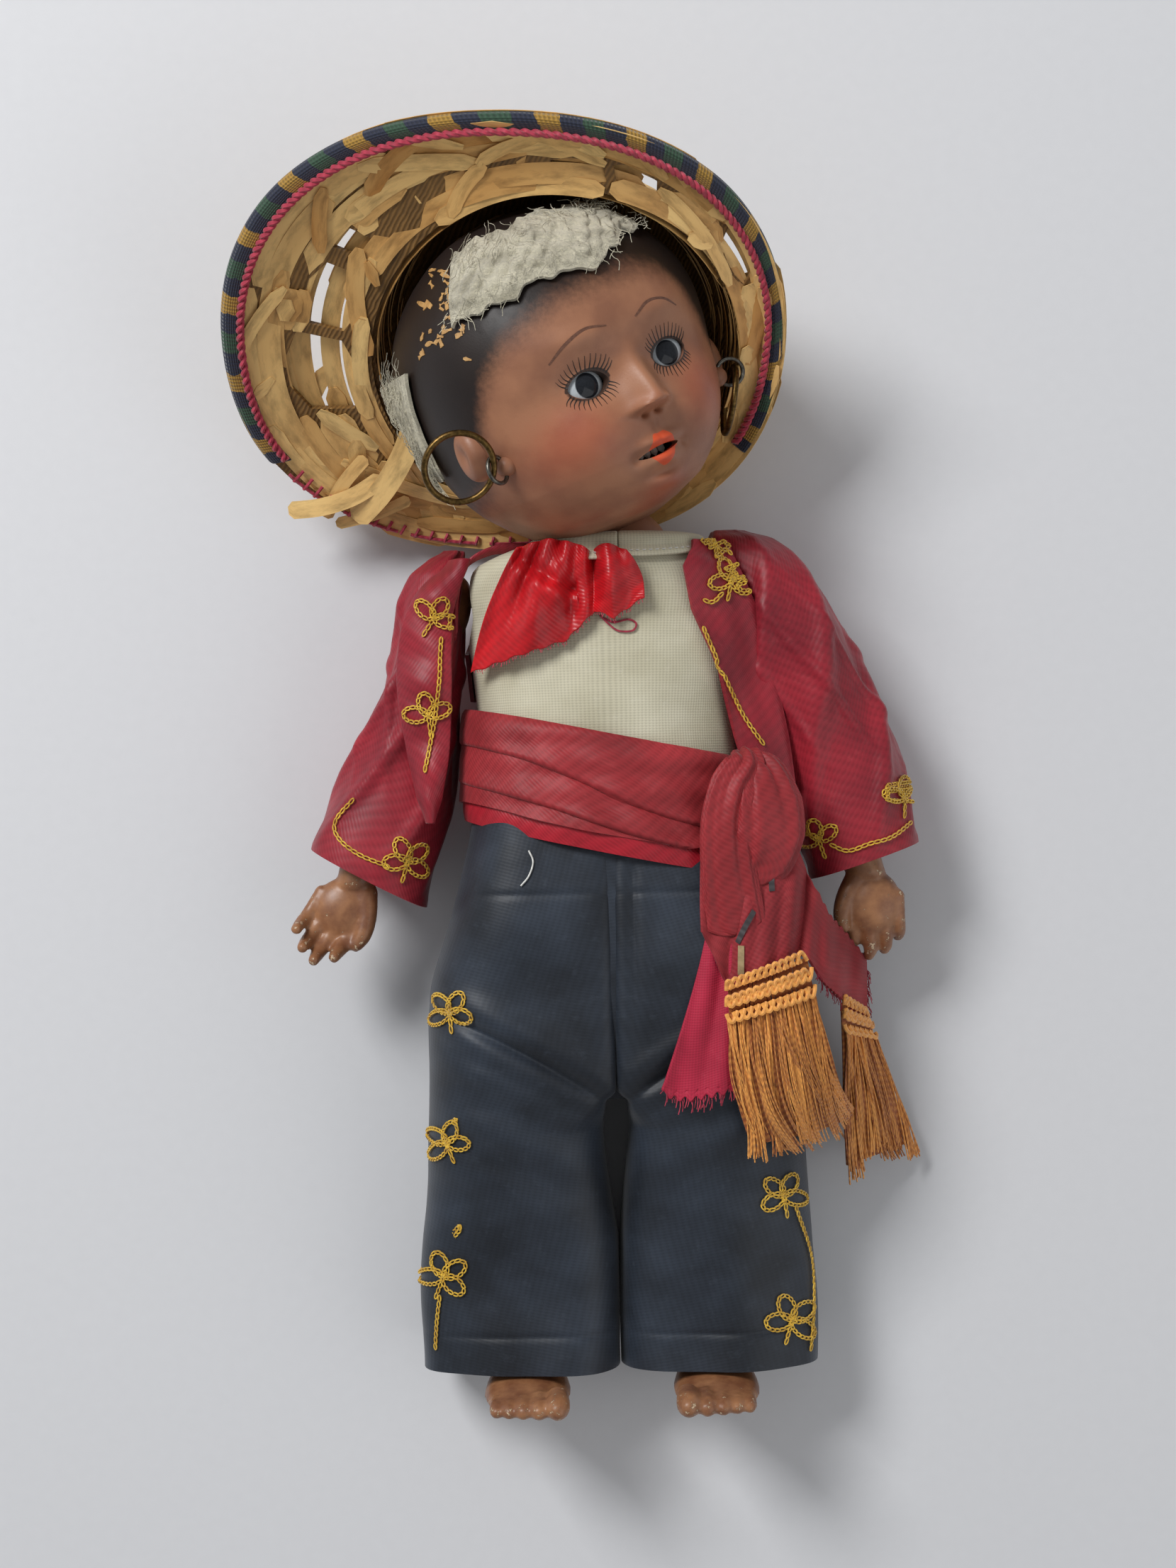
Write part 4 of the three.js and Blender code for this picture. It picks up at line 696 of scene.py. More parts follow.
# Sateen: a soft gloss over fine threads, rubbed paler on its folds
red_sateen = cloth_finish("red_sateen", "#aa2836", "#821a28", "#b8474e", (0.65, 1.7), 0.12, 0.48,
                          shine=0.12, relief=0.02, bias=0.6)
sash_red = cloth_finish("sash_sateen", "#ae3238", "#8a2429", "#bb4c4e", (0.7, 1.7), 0.12, 0.56,
                        shine=0.06, relief=0.03, bias=0.9)
# The sash's lining shows as a smoother, brighter strip under its folds
lining_red = cloth_finish("sash_lining_satin", "#c22233", "#a01626", "#cc3f48", (0.6, 2.2), 0.08, 0.42,
                          shine=0.2, relief=0.03, bias=0.8)
end_red = cloth_finish("sash_end_cloth", "#a8343a", "#8e282e", "#b65250", (0.7, 1.2), 0.12, 0.7,
                       relief=0.035, bias=0.9)
crimson_weave = cloth_finish("crimson_open_weave", "#c42a48", "#a41c38", "#cf4c62", (0.5, 0.5), 0.1, 0.65,
                             relief=0.02, bias=0.2)
navy_sateen = cloth_finish("navy_sateen", "#333b47", "#1e232b", "#464e5a", (0.6, 1.1), 0.15, 0.5,
                           shine=0.08, relief=0.008, bias=1.35)
gold_thread = thread_finish("gold_embroidery_floss", "#b8860f", "#eec33a")
orange_floss = thread_finish("orange_cotton_floss", "#984f1c", "#f6ab50")
red_floss = thread_finish("crimson_floss", "#8c1a32", "#c83852")
white_thread = thread_finish("white_sewing_thread", "#b8b8b4", "#e8e8e2")
black_paint = plain_finish("black_enamel_paint", "#0c0908", "#1d1512", 0.4, 1.5)
brown_paint = plain_finish("brown_enamel_paint", "#5c3a2a", "#7a5240", 0.5, 1.5)
grey_thread = thread_finish("grey_thread", "#2a2628", "#4a4446")
antique_brass = plain_finish("antique_brass", "#43351f", "#7d6238", 0.38, 1.2, 1.0)
dull_wire = plain_finish("tinned_wire", "#4c4a46", "#7e7b72", 0.4, 1.5, 1.0)
iron_wire = plain_finish("iron_wire", "#3c3936", "#6c625a", 0.45, 1.5, 1.0)
plaster = plain_finish("plaster", "#cfc6b4", "#e6dfd0", 0.9, 0.8, relief=0.1)
enamel = plain_finish("white_enamel", "#d8d2c4", "#efeade", 0.25, 0.6)
card = plain_finish("pasted_card", "#8f7a58", "#b49c74", 0.85, 0.5, relief=0.1)
timber = plain_finish("turned_beech", "#a57c4e", "#c89c68", 0.6, 0.7)
rubber_elastic = plain_finish("covered_elastic", "#b0a48c", "#d0c6b0", 0.8, 1.8, relief=0.1)
glue = plain_finish("dried_glue", "#a47a48", "#d0a468", 0.4, 0.9, relief=0.2)

# The head: its own frame has x to its left, y up and z out of the face


def turned(axis, degrees):
    """The matrix of a turn about an axis."""
    return np.array(Matrix.Rotation(math.radians(degrees), 3, axis))


HEAD = turned("X", 8) @ turned("Z", 21.5) @ turned("Y", 28.5)
NECK = np.array([3.6, 43.8, 26.4])
NECK_R = 9.3
SKULL = NECK + HEAD @ np.array([0, 37, 4.5])
EYE_R = 5.2
EYE = np.array([9, -5, 19.9])
LID_R = 5.8
EYE_OPENING = (7.8, 4.8)
MOUTH_Y = -20.6
MOUTH_OPENING = (8.6, 1.5)
THROUGH = 40  # well in front of the face
BISQUE = 1.8  # thickness of the shell
PATE_NORMAL = np.array([0, math.cos(math.radians(32)), -math.sin(math.radians(32))])
PATE_HEIGHT = 22.6

SKULL_SQUARE = 0.94  # how square the skull's sections are; 1 is round

# y, half width, front, back
FACE = [
    [-32.4, 0.1, 0.1, 0.1],
    [-31.5, 7.6, 4.5, 12],
    [-30, 12, 11, 13.2],
    [-27.5, 16.6, 19.2, 15],
    [-24, 20.4, 23.4, 17.4],
    [-20, 23.8, 25.4, 20.4],
    [-15, 26.4, 26.6, 24],
    [-10, 27.8, 27, 27],
    [-5, 28.7, 27.2, 29],
    [0, 29.3, 28.2, 30],
    [6, 29.4, 28.6, 30.3],
    [12, 28.2, 27.2, 29.6],
    [18, 25, 23.8, 26.6],
    [24, 19.6, 18.4, 21],
    [28.5, 13, 12, 13.8],
    [31.8, 0.1, 0.1, 0.1],
]


def in_head(points):
    """Points of the head's frame, in the doll's."""
    return np.asarray(points, float) @ HEAD.T + SKULL


def bump(x, y, cx, cy, sx, sy):
    """A smooth swelling of 1 round (cx, cy), sx wide and sy high."""
    return np.exp(-(((x - cx) / sx) ** 2) - ((y - cy) / sy) ** 2)


def features(x, y):
    """How far the modelled face stands out of the plain skull."""
    side = np.abs(x)
    bridge = ease(y, -13.7, -12.1) * (1 - ease(y, -11.5, 0.5)) * 4.4
    nose = bridge * np.exp(-((x / (2.1 + 0.12 * np.maximum(0, -2 - y))) ** 2))
    nose = nose + 0.5 * bump(x, y, 0, -11.8, 1.9, 1.5)
    wings = 1.5 * bump(side, y, 2.6, -12.4, 1.3, 1.2)
    nostrils = -1.3 * bump(side, y, 1.5, -13.7, 0.8, 0.5)
    groove = -0.4 * bump(x, y, 0, -16.3, 0.7, 1.7)
    upper_lip = 1.2 * bump(side, y, 1.5, -18.9, 2.8, 0.95)
    lower_lip = 1.5 * bump(x, y, 0, -22.3, 3.0, 1.15)
    under_lip = -0.7 * bump(x, y, 0, -24.4, 3.4, 0.9)
    corners_in = -0.7 * bump(side, y, 5.2, -20.7, 1.0, 1.0)
    chin = 2.1 * bump(x, y, 0, -27.0, 4.4, 2.4)
    cheeks = 1.3 * bump(side, y, 13.5, -15, 6, 6)
    sockets = -1.9 * bump(side, y, EYE[0], EYE[1] + 0.4, 5.4, 4.0)
    brows = 0.7 * bump(side, y, 9, 3.2, 6, 2.2)
    return (nose + wings + nostrils + groove + upper_lip + lower_lip + under_lip + corners_in + chin + cheeks
            + sockets + brows)


def lids(x, y, z):
    """Lets the lids swell over the eyeballs."""
    away = np.hypot(np.abs(x) - EYE[0], y - EYE[1])
    ball = EYE[2] + np.sqrt(np.maximum(LID_R ** 2 - away ** 2, 0))
    soft = 0.25
    lift = np.where(away < LID_R, (ball - z) / soft, -40)
    return z + soft * np.logaddexp(0, np.clip(lift, -40, 40))


def skull(y, degrees, lift=0.0, face=False):
    """A point on the skull, in the head's frame; the face carries its features and lids."""
    a = np.radians(degrees)
    table = between(FACE, y)
    wide = table[..., 0]
    deep = np.where(np.cos(a) > 0, table[..., 1], table[..., 2])
    x = wide * power(np.sin(a), SKULL_SQUARE)
    z = deep * power(np.cos(a), SKULL_SQUARE)
    across = x / wide ** 2
    out = z / deep ** 2
    size = np.maximum(np.hypot(across, out), 1e-6)
    x = x + lift * across / size
    z = z + lift * out / size
    if face:
        shown = ease(np.cos(a), 0.15, 0.6)
        z = z + shown * features(x, y)
        z = np.where(np.cos(a) > 0.3, lids(x, y, z), z)
    return np.stack(np.broadcast_arrays(x, y, z), -1)


def lens_cutter(name, centre, width, height, lean, low, high):
    """A lens-shaped bar through the face, for cutting an eye or the mouth."""
    piece = cylinder(name, 56)
    places = corners(piece)
    x = 0.5 * width * places[:, 0]
    y = 0.5 * height * places[:, 1] * np.abs(places[:, 1]) ** 0.25
    z = np.where(places[:, 2] > 0, high, low)
    turned_x = centre[0] + x * math.cos(lean) - y * math.sin(lean)
    turned_y = centre[1] + x * math.sin(lean) + y * math.cos(lean)
    move(piece, doll(in_head(np.stack([turned_x, turned_y, z], 1))))
    return piece


def ball(name, centre, radii, segments=48, rings=32):
    piece = globe(name, segments, rings)
    move(piece, doll(centre + corners(piece) * np.asarray(radii, float)))
    return piece


def cut(piece, *cutters):
    """Cuts a piece with others, which are used up."""
    for cutter in cutters:
        modify(piece, "BOOLEAN", operation="DIFFERENCE", object=cutter, solver="MANIFOLD")
        bpy.data.objects.remove(cutter)
    return piece


def make_head():
    """The bisque shell: its features, open crown, and cut eyes and mouth."""
    piece = globe("bisque_head", 256, 208)
    flat = corners(piece)
    share = 0.5 + np.arcsin(np.clip(flat[:, 2], -1, 1)) / math.pi
    y = np.interp(share, [0, 0.03, 0.1, 0.76, 1], [-32.4, -31.6, -29.2, 10, 31.8])
    t = np.arctan2(flat[:, 1], flat[:, 0]) / TAU
    degrees = 360 * t + 33 * np.sin(TAU * t + math.pi)
    move(piece, doll(in_head(skull(y, degrees, face=True))))
    crown_cut = {"plane_co": spot(*in_head(PATE_NORMAL * PATE_HEIGHT)),
                 "plane_no": tuple(HEAD @ PATE_NORMAL)}
    edited(piece, face_outwards, lambda: bpy.ops.mesh.bisect(clear_outer=True, **crown_cut))
    modify(piece, "SOLIDIFY", thickness=BISQUE / MM, offset=-1)
    for side in (-1, 1):
        centre = EYE * [side, 1, 1]
        cut(piece, lens_cutter("eye_cutter", centre, *EYE_OPENING, side * 0.06, EYE[2], THROUGH))
        cut(piece, ball("socket_cutter", in_head(centre), [EYE_R + 0.1] * 3))
    cut(piece, lens_cutter("mouth_cutter", [-0.5, MOUTH_Y, 0], *MOUTH_OPENING, 0.05, 14, THROUGH))
    paint_head(piece)
    smooth(piece, 42)
    return dressed(piece, "head", bisque, ["head"])


# degrees round the head, and the height of the painted hair's edge
HAIRLINE = [
    [-180, -20], [-110, -19], [-80, -15], [-66, -6], [-56, 2], [-42, 8], [-20, 11.5], [0, 12], [18, 12],
    [30, 9.5], [38, 4], [46, -2], [58, -9], [80, -15], [110, -19], [180, -20],
]


UNPAINTED = -9.0  # far outside any painted edge


def paint_head(piece):
    """Writes where the painter's colours lie: hair, lips, liner round the eyes, and blushes."""
    x, y, z = ((measured(piece) - SKULL) @ HEAD).T
    side = np.abs(x)
    degrees = np.degrees(np.arctan2(x, z))
    measure(piece, "hair", y - straight(HAIRLINE, degrees))
    front = z > 10
    peaks = -17.7 + 0.5 * bell(side, 1.3, 0.8) - 0.27 * side ** 2
    upper = np.minimum(peaks - y, y - (MOUTH_Y - 0.4))
    lower = np.minimum(MOUTH_Y + 0.4 - y, y - (-23.5 + 0.3 * side ** 2))
    measure(piece, "lips", np.where(front, np.maximum(upper, lower), UNPAINTED))
    lid = np.sqrt(((side - EYE[0]) / 3.85) ** 2 + ((y - EYE[1]) / 2.45) ** 2)
    liner = bell(lid, 1.02, 0.13) * np.where(y > EYE[1], 1.25, 0.75)
    measure(piece, "liner", np.where(front, liner, 0))
    cheeks = bump(side, y, 14.5, -13.5, 8, 7)
    chin = 0.9 * bump(x, y, 0, -28, 6, 3.5)
    nose = 0.35 * bump(x, y, 0, -12, 3, 3)
    measure(piece, "blush", np.where(front, cheeks + chin + nose, 0))


def leave_bare(piece):
    """Marks a piece of bisque that carries no paint but its skin tint."""
    for kind in ("hair", "lips", "liner"):
        measure(piece, kind, np.full(len(piece.data.vertices), UNPAINTED))


def make_ear(side, name):
    """A small moulded ear: a rolled rim round a hollow, and a pierced lobe."""
    piece = globe(name, 64, 48)
    u, v, w = corners(piece).T
    out = np.where(u * side > 0, 1, 0)
    rim = np.hypot(v / 0.92, (w + 0.02) / 0.92)
    hollow = 1.5 * np.exp(-((rim / 0.55) ** 2)) * out
    x = side * (26.6 + 3.1 * np.abs(u) ** 0.9 * np.sign(u * side) - hollow)
    y = -8.4 + 5.7 * (v * math.cos(0.5) + 0.45 * w * math.sin(0.5))
    z = 7 + 3.7 * w - 2.2 * v * math.sin(0.5)
    move(piece, doll(in_head(np.stack([x, y, z], 1))))
    lobe = ball("lobe", in_head([side * 24.3, -12.6, 12.8]), [1.9] * 3, 24, 16)
    alone(piece)
    lobe.select_set(True)
    bpy.ops.object.join()
    leave_bare(piece)
    smooth(piece, 60)
    return dressed(piece, "head", bisque)


def make_eye(side, name):
    """A glass eye, with how far each corner is from the middle of its gaze."""
    centre = EYE * [side, 1, 1]
    piece = ball(name, in_head(centre), [EYE_R] * 3, 96, 64)
    places = (measured(piece) - SKULL) @ HEAD
    measure(piece, "out", np.linalg.norm(places - (centre + [0, 0, EYE_R]), axis=1))
    smooth(piece)
    return dressed(piece, "head", glass, [name])


def ring_from(node_name, name, tube, body, look):
    """A smooth round wire ring where the frame's faceted one is."""
    places = measured(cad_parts[node_name])
    middle = places.mean(0)
    axes = np.linalg.svd(places - middle)[2]
    radius = np.linalg.norm((places - middle) @ axes[:2].T, axis=1)
    radius = (radius.min() + radius.max()) / 2
    piece = primitive(bpy.ops.mesh.primitive_torus_add, name, major_segments=96, minor_segments=18,
                      major_radius=radius, minor_radius=tube)
    move(piece, doll(middle + corners(piece) @ axes))
    edited(piece, face_outwards)
    smooth(piece)
    return dressed(piece, body, look, [node_name])


RING_WIRE = 0.4  # half thickness
HOOP_WIRE = 0.6
FACE_OUT = HEAD @ np.array([0, 0, 1])


def on_face(x, y, lift):
    """A point on the face in the doll's frame, found from its place across and up the face."""
    wide = between(FACE, y)[..., 0]
    degrees = np.degrees(np.arcsin(np.clip(np.abs(x) / wide, 0, 1) ** (1 / SKULL_SQUARE)) * np.sign(x))
    return in_head(skull(y, degrees, face=True)) + lift * FACE_OUT


LASHES = 14  # in one row


def make_lashes():
    """Painted lashes above and below each eye: fine curved strokes standing a hair off the skin."""
    strokes = Bundle()
    steps = 9
    for side in (-1, 1):
        for half in (1, -1):
            for k in range(LASHES):
                a = math.radians(18 + 144 * k / (LASHES - 1)) * half
                start = np.array([3.95 * math.cos(a), 2.6 * math.sin(a)])
                fan = math.radians(90 - 46 * math.cos(a)) * half
                reach = (2.2 if half > 0 else 1.7) + 0.3 * math.sin(abs(a)) + chance.uniform(-0.25, 0.25)
                end = start + reach * np.array([math.cos(fan), math.sin(fan)])
                bent = (start + end) / 2 + 0.25 * np.array([math.cos(a), 0.0])
                flat = curve([start, bent, end], steps)
                path = on_face(side * EYE[0] + flat[:, 0], EYE[1] + flat[:, 1], 0.04)
                strokes.sweep(path, FACE_OUT, 0.17 * (1 - np.linspace(0, 0.8, steps)), 0.035)
    return dressed(strokes.mesh("painted_lashes"), "head", black_paint)


def make_brows():
    """Painted brows, each one stroke that thins to its ends."""
    strokes = Bundle()
    steps = 30
    for marks in ([(-14.8, 0.8), (-11.4, 3.0), (-7.2, 4.2), (-3.0, 3.4)],
                  [(3.2, 3.0), (6.8, 4.6), (10.6, 4.2), (13.8, 2.2)]):
        flat = curve(marks, steps)
        taper = np.sin(np.linspace(0.35, math.pi - 0.2, steps)) ** 0.7
        strokes.sweep(on_face(flat[:, 0], flat[:, 1], 0.03), FACE_OUT, 0.42 * taper, 0.03)
    return dressed(strokes.mesh("painted_brows"), "head", brown_paint)


PAD_FIBRES = 260
GLUE_FLAKES = 34


def make_pad(name, node_name, place, lumps):
    """Torn wadding: an uneven mat with loose fibres along its edges."""
    piece = grid(name, 110, 44)
    s, t = grid_places(piece)
    base = place(s, t, 0)
    away = unit(place(s, t, 1) - base)
    edge = np.minimum(np.minimum(s, 1 - s) * 8, np.minimum(t, 1 - t) * 4)
    ripple = np.sin(31 * s + 9 * t) * np.sin(17 * t + 5 * s) + 0.6 * np.sin(67 * s - 23 * t)
    height = 0.7 + lumps * (0.5 + 0.22 * ripple) * np.clip(edge, 0.15, 1)
    move(piece, doll(base + away * height[:, None]))
    modify(piece, "SOLIDIFY", thickness=0.7 / MM, offset=0)
    smooth(piece, 70)
    fibres = Bundle()
    at = np.linspace(0, 1, 7)
    for _ in range(PAD_FIBRES):
        u = chance.random()
        v = chance.choice([chance.random() * 0.2, 1 - chance.random() * 0.2, chance.random()])
        du = chance.uniform(-0.05, 0.05)
        dv = chance.uniform(-0.3, 0.3)
        wander = 0.6 * np.sin(at * 5 + chance.random() * 6)
        path = place(u + du * at, v + dv * at, lumps + 0.8 + 0.5 * np.abs(wander))
        path = path + wander[:, None] * np.array([0.5, 0.5, 0.0])
        fibres.sweep(path, FACE_OUT, 0.06, 0.06, sides=3)
    dressed(fibres.mesh(name + "_fibres"), "head", wadding)
    return dressed(piece, "head", wadding, [node_name])


def make_glue_flakes():
    """Flakes of the wig's old glue, still on the painted hair."""
    flakes = Bundle()
    tree = surface(bpy.data.objects["bisque_head"])
    for _ in range(GLUE_FLAKES):
        u = chance.uniform(590, 668)
        v = chance.uniform(380, 520)
        turn = chance.uniform(0, TAU)
        size = chance.uniform(3, 8)
        way = np.array([math.cos(turn), math.sin(turn)])
        marks = [np.array([u, v]) + k * size * way for k in (-1, -0.3, 0.4, 1)]
        path, normals = laid(tree, marks, 0.08, smooth_path=False)
        widths = [chance.uniform(0.15, 0.75) for _ in marks]
        flakes.sweep(path, normals, widths, 0.1, tone=0.5)
    return dressed(flakes.mesh("wig_glue_flakes"), "head", glue)


def torn_edge(s, phase):
    """An uneven torn line: large bites with smaller ones in them."""
    return (1.2 * np.sin(7 * s + phase) + 0.8 * np.sin(17 * s + 2 * phase) + 0.5 * np.sin(39 * s + phase)
            + 0.22 * np.sin(83 * s))


def front_pad(s, t, lift):
    """A point on the wadding above the forehead."""
    degrees = mix(-58, 40, s)
    low = 12.3 + 6.2 * s + torn_edge(s, 0.4)
    high = 28 - 5 * np.abs(s - 0.4) + 0.7 * torn_edge(s, 2.3)
    y = mix(low, high, t)
    return in_head(skull(y, degrees, lift + 0.3))


def side_pad(s, t, lift):
    """A point on the torn scrap in front of the right ear."""
    y = mix(-10.5, 10, t)
    width = mix(4, 21, np.clip(t, 0, 1) ** 0.8)
    return in_head(skull(y, -102 + width * (s - 0.5) + 3 * t, lift + 0.2))


# The hat: u across, v up its brim and t back into its crown, from the skull's centre

BRIM_LEAN = math.radians(40)
HAT_UP = np.array([0, math.cos(BRIM_LEAN), math.sin(BRIM_LEAN)])
HAT_BACK = np.array([0, math.sin(BRIM_LEAN), -math.cos(BRIM_LEAN)])
STRAW = 1.2  # thickness of the plait
CROWN_R = 35.4  # at the crown's mouth
# radius and depth of the crown, from its mouth to its top
CROWN = [[36, 6], [35.6, 10], [34.6, 14], [32.4, 18], [28.4, 22.4], [23.4, 26.6], [18, 30.4], [12, 33.4],
         [6, 35], [0, 35.4]]
# where the straw is torn away: from and to in degrees, and from and to between mouth and rim
TEARS = [[152, 171, 0.12, 0.5], [174, 196, 0.1, 0.62], [140, 147, 0.2, 0.5], [58, 70, 0.15, 0.5],
         [73, 86, 0.1, 0.42], [20, 34, 0.2, 0.7]]


def in_hat(u, v, t):
    """A place in the hat, in the doll's frame."""
    u, v, t = np.broadcast_arrays(u, v, t)
    flat = np.stack([u, np.zeros_like(u), np.zeros_like(u)], -1)
    return SKULL + flat + v[..., None] * HAT_UP + t[..., None] * HAT_BACK


def brim(a, f, lift=0.0):
    """A point on the brim: a round it in radians, f from the crown's mouth to the rim."""
    rim_u = -10.1 + 52.4 * power(np.cos(a), 2 / 2.2)
    rim_v = 4 + 46 * power(np.sin(a), 2 / 2.2)
    u = mix(CROWN_R * np.cos(a), rim_u, f)
    v = mix(CROWN_R * np.sin(a), rim_v, f)
    arch = 1.6 * np.sin(math.pi * np.clip(f, 0, 1)) * (1 - 0.4 * f)
    return in_hat(u, v, mix(5.65, 5 + 0.8 * np.sin(3 * a + 0.6) * f, f) + arch - lift)


def crown(a, k, lift=0.0):
    """A point on the crown: a round it, k from its mouth to its top; pressed flat by the surface."""
    table = np.array([[i, r, t] for i, (r, t) in enumerate(CROWN)], float)
    row = np.clip(k, 0, 1) * (len(CROWN) - 1)
    radius, depth = np.moveaxis(between(table, row), -1, 0)
    ahead, deeper = np.moveaxis(between(table, row + 0.1), -1, 0)
    before, shallower = np.moveaxis(between(table, row - 0.1), -1, 0)
    slope = np.hypot(ahead - before, deeper - shallower)
    radius = radius + lift * (deeper - shallower) / slope
    depth = depth - lift * (ahead - before) / slope
    place = in_hat(radius * np.cos(a), radius * np.sin(a), depth)
    place[..., 2] = np.maximum(place[..., 2], 0.2 + (STRAW if lift < 0 else 0))
    return place


def torn(degrees, f):
    """Whether the brim is torn away at this place."""
    degrees = degrees % 360
    return any(low < degrees < high and near < f < far for low, high, near, far in TEARS)


def strip(bundle, points, facing, width, tone):
    """One palm strip: a thin ribbon whose ends are pulled narrow and ragged."""
    count = len(points)
    ends = np.minimum(np.arange(count), np.arange(count)[::-1]) / 1.5
    half = 0.5 * width * np.clip(0.45 + ends, 0, 1)
    bundle.sweep(points, facing, half, 0.11, sides=4, tone=tone)


FRONT_STRIPS = 124
BACK_STRIPS = 90


def make_brim_strips(name, front):
    """Long strips running round the brim, with shorter ones plaited across them."""
    strips = Bundle()
    step = 3  # degrees
    for k in range(FRONT_STRIPS if front else BACK_STRIPS):
        long = k % 5 < 3
        start = chance.uniform(0, 360)
        span = chance.uniform(45, 130) if long else chance.uniform(14, 34)
        f = 0.04 + 0.9 * ((k * 0.618) % 1)
        drift = chance.uniform(-0.12, 0.12) if long else chance.choice([-1, 1]) * chance.uniform(0.25, 0.6)
        width = chance.uniform(4.2, 6.4) if long else chance.uniform(3.2, 5)
        tone = chance.uniform(0.25, 1) if long else chance.uniform(0.1, 1)
        layer = chance.uniform(0.1, 0.5) if long else chance.uniform(0.5, 0.95)
        crosses = chance.random() < 0.12
        run = []
        for turn in range(0, int(span / step) * step + 1, step):
            degrees = start + turn
            share = f + drift * turn / span
            if 0.01 < share < 0.95 and (crosses or not torn(degrees, share)):
                lift = STRAW + layer + 0.3 * math.sin(0.11 * degrees + k) if front else -layer
                run.append((math.radians(degrees), share, lift))
                continue
            add_strip(strips, run, width, tone, front)
            run = []
        add_strip(strips, run, width, tone, front)
    return dressed(strip_mesh(strips, name), "hat", straw)


def add_strip(strips, run, width, tone, front):
    """Lays one unbroken run of a strip on the brim."""
    if len(run) < 3:
        return
    a, f, lift = np.array(run).T
    round_it = brim(a + 0.02, f) - brim(a - 0.02, f)
    outwards = brim(a, f + 0.02) - brim(a, f - 0.02)
    facing = unit(np.cross(round_it, outwards))
    strip(strips, brim(a, f, lift), facing if front else -facing, width, tone)


def strip_mesh(bundle, name):
    """The strips' mesh, with how far across its strip each corner lies."""
    across = [np.full(len(tones), 0.6 * (k % 4 in (0, 3))) for k, tones in enumerate(bundle.tones)]
    return bundle.mesh(name, {"across": np.concatenate(across)})


def make_crown_strips(name, inside):
    """Strips wound round the crown, inside it or outside."""
    strips = Bundle()
    for _ in range(90 if inside else 150):
        start = chance.uniform(0, TAU)
        span = chance.uniform(0.5, 1.5)
        at = chance.uniform(0.0, 0.42) if inside else chance.uniform(0.0, 0.92)
        drift = chance.uniform(-0.1, 0.1)
        steps = int(span / 0.07) + 3
        a = start + np.linspace(0, span, steps)
        level = np.clip(at + drift * np.linspace(0, 1, steps), 0, 0.98)
        lift = -STRAW - chance.uniform(0.1, 0.5) if inside else chance.uniform(0.12, 0.5)
        points = crown(a, level, lift)
        radial = unit(points - in_hat(0, 0, 12))
        width = chance.uniform(3, 4.8)
        # strips inside the crown get only the darker tones: painted shade inside the crown's hollow
        strip(strips, points, radial, width, chance.random() * (0.55 if inside else 1))
    return dressed(strip_mesh(strips, name), "hat", straw)


BAND_FROM = math.radians(-30)
BAND_TO = math.radians(210)
BAND_WIDTH = 3.6


def rim_place(a, inward, lift):
    """A point near the rim: so many millimetres in from it, and off the brim's front."""
    edge = brim(a, 1.0, STRAW / 2)
    outward = edge - brim(a, 0.5, STRAW / 2)
    reach = np.linalg.norm(outward, axis=-1, keepdims=True)
    inward = np.minimum(np.asarray(inward, float)[..., None], reach)
    return edge - outward / reach * inward - np.asarray(lift, float)[..., None] * HAT_BACK


def make_band():
    """The woven band, folded over the rim."""
    def place(s, t):
        a = mix(BAND_FROM, BAND_TO, s)
        fold = np.interp(t, [0, 0.42, 0.5, 0.58, 1], [BAND_WIDTH, 0.1, -0.9, 0.1, BAND_WIDTH])
        lift = np.interp(t, [0, 0.42, 0.5, 0.58, 1], [1.5, 1.5, 0, -1.5, -1.5])
        ragged = 0.25 * np.sin(90 * s) * (np.abs(t - 0.5) > 0.4)
        return rim_place(a, fold + ragged, lift + 0.1 * np.sin(60 * s))

    piece = cloth("woven_hat_band", 300, 14, place, (205, 11), 0.45)
    return dressed(piece, "hat", band_cloth, ["hat_band"])


def make_hat_cord():
    """Two crimson strands twisted round each other along the band."""
    strands = Bundle()
    steps = 900
    a = np.linspace(BAND_FROM + 0.02, BAND_TO - 0.02, steps)
    middle = rim_place(a, np.full(steps, 3.1), np.full(steps, 2.25))
    inward = unit(rim_place(a, np.full(steps, 3.4), np.full(steps, 2.25)) - middle)
    for phase in (0, math.pi):
        turn = np.linspace(0, TAU * 62, steps) + phase
        path = middle + 0.42 * (np.cos(turn)[:, None] * inward - np.sin(turn)[:, None] * HAT_BACK)
        strands.sweep(path, -HAT_BACK, 0.46, 0.46, sides=6, tone=0.4 + 0.2 * (phase > 0))
    return dressed(strands.mesh("crimson_hat_cord"), "hat", red_floss, ["hat_cord"])


def make_hat_stitches():
    """Long crimson stitches along the lower edge, where the band is lost."""
    stitches = Bundle()
    for k in range(26):
        a = math.radians(214 + 3.3 * k)
        b = a + math.radians(2.6)
        near = rim_place(np.array([a, (a + b) / 2, b]), np.array([4.0, 2.2, 0.6]), np.array([1.6, 2.0, 1.6]))
        stitches.sweep(curve(near, 6), -HAT_BACK, 0.34, 0.3, sides=6, tone=chance.uniform(0.3, 0.7))
    steps = 8
    for start in range(214, 299, 17):
        a = np.linspace(math.radians(start), math.radians(start + 14), steps)
        path = rim_place(a, np.full(steps, 1.2), np.full(steps, 1.7))
        stitches.sweep(path, -HAT_BACK, 0.36, 0.32, sides=6, tone=0.4)
    return dressed(stitches.mesh("crimson_hat_stitches"), "hat", red_floss)


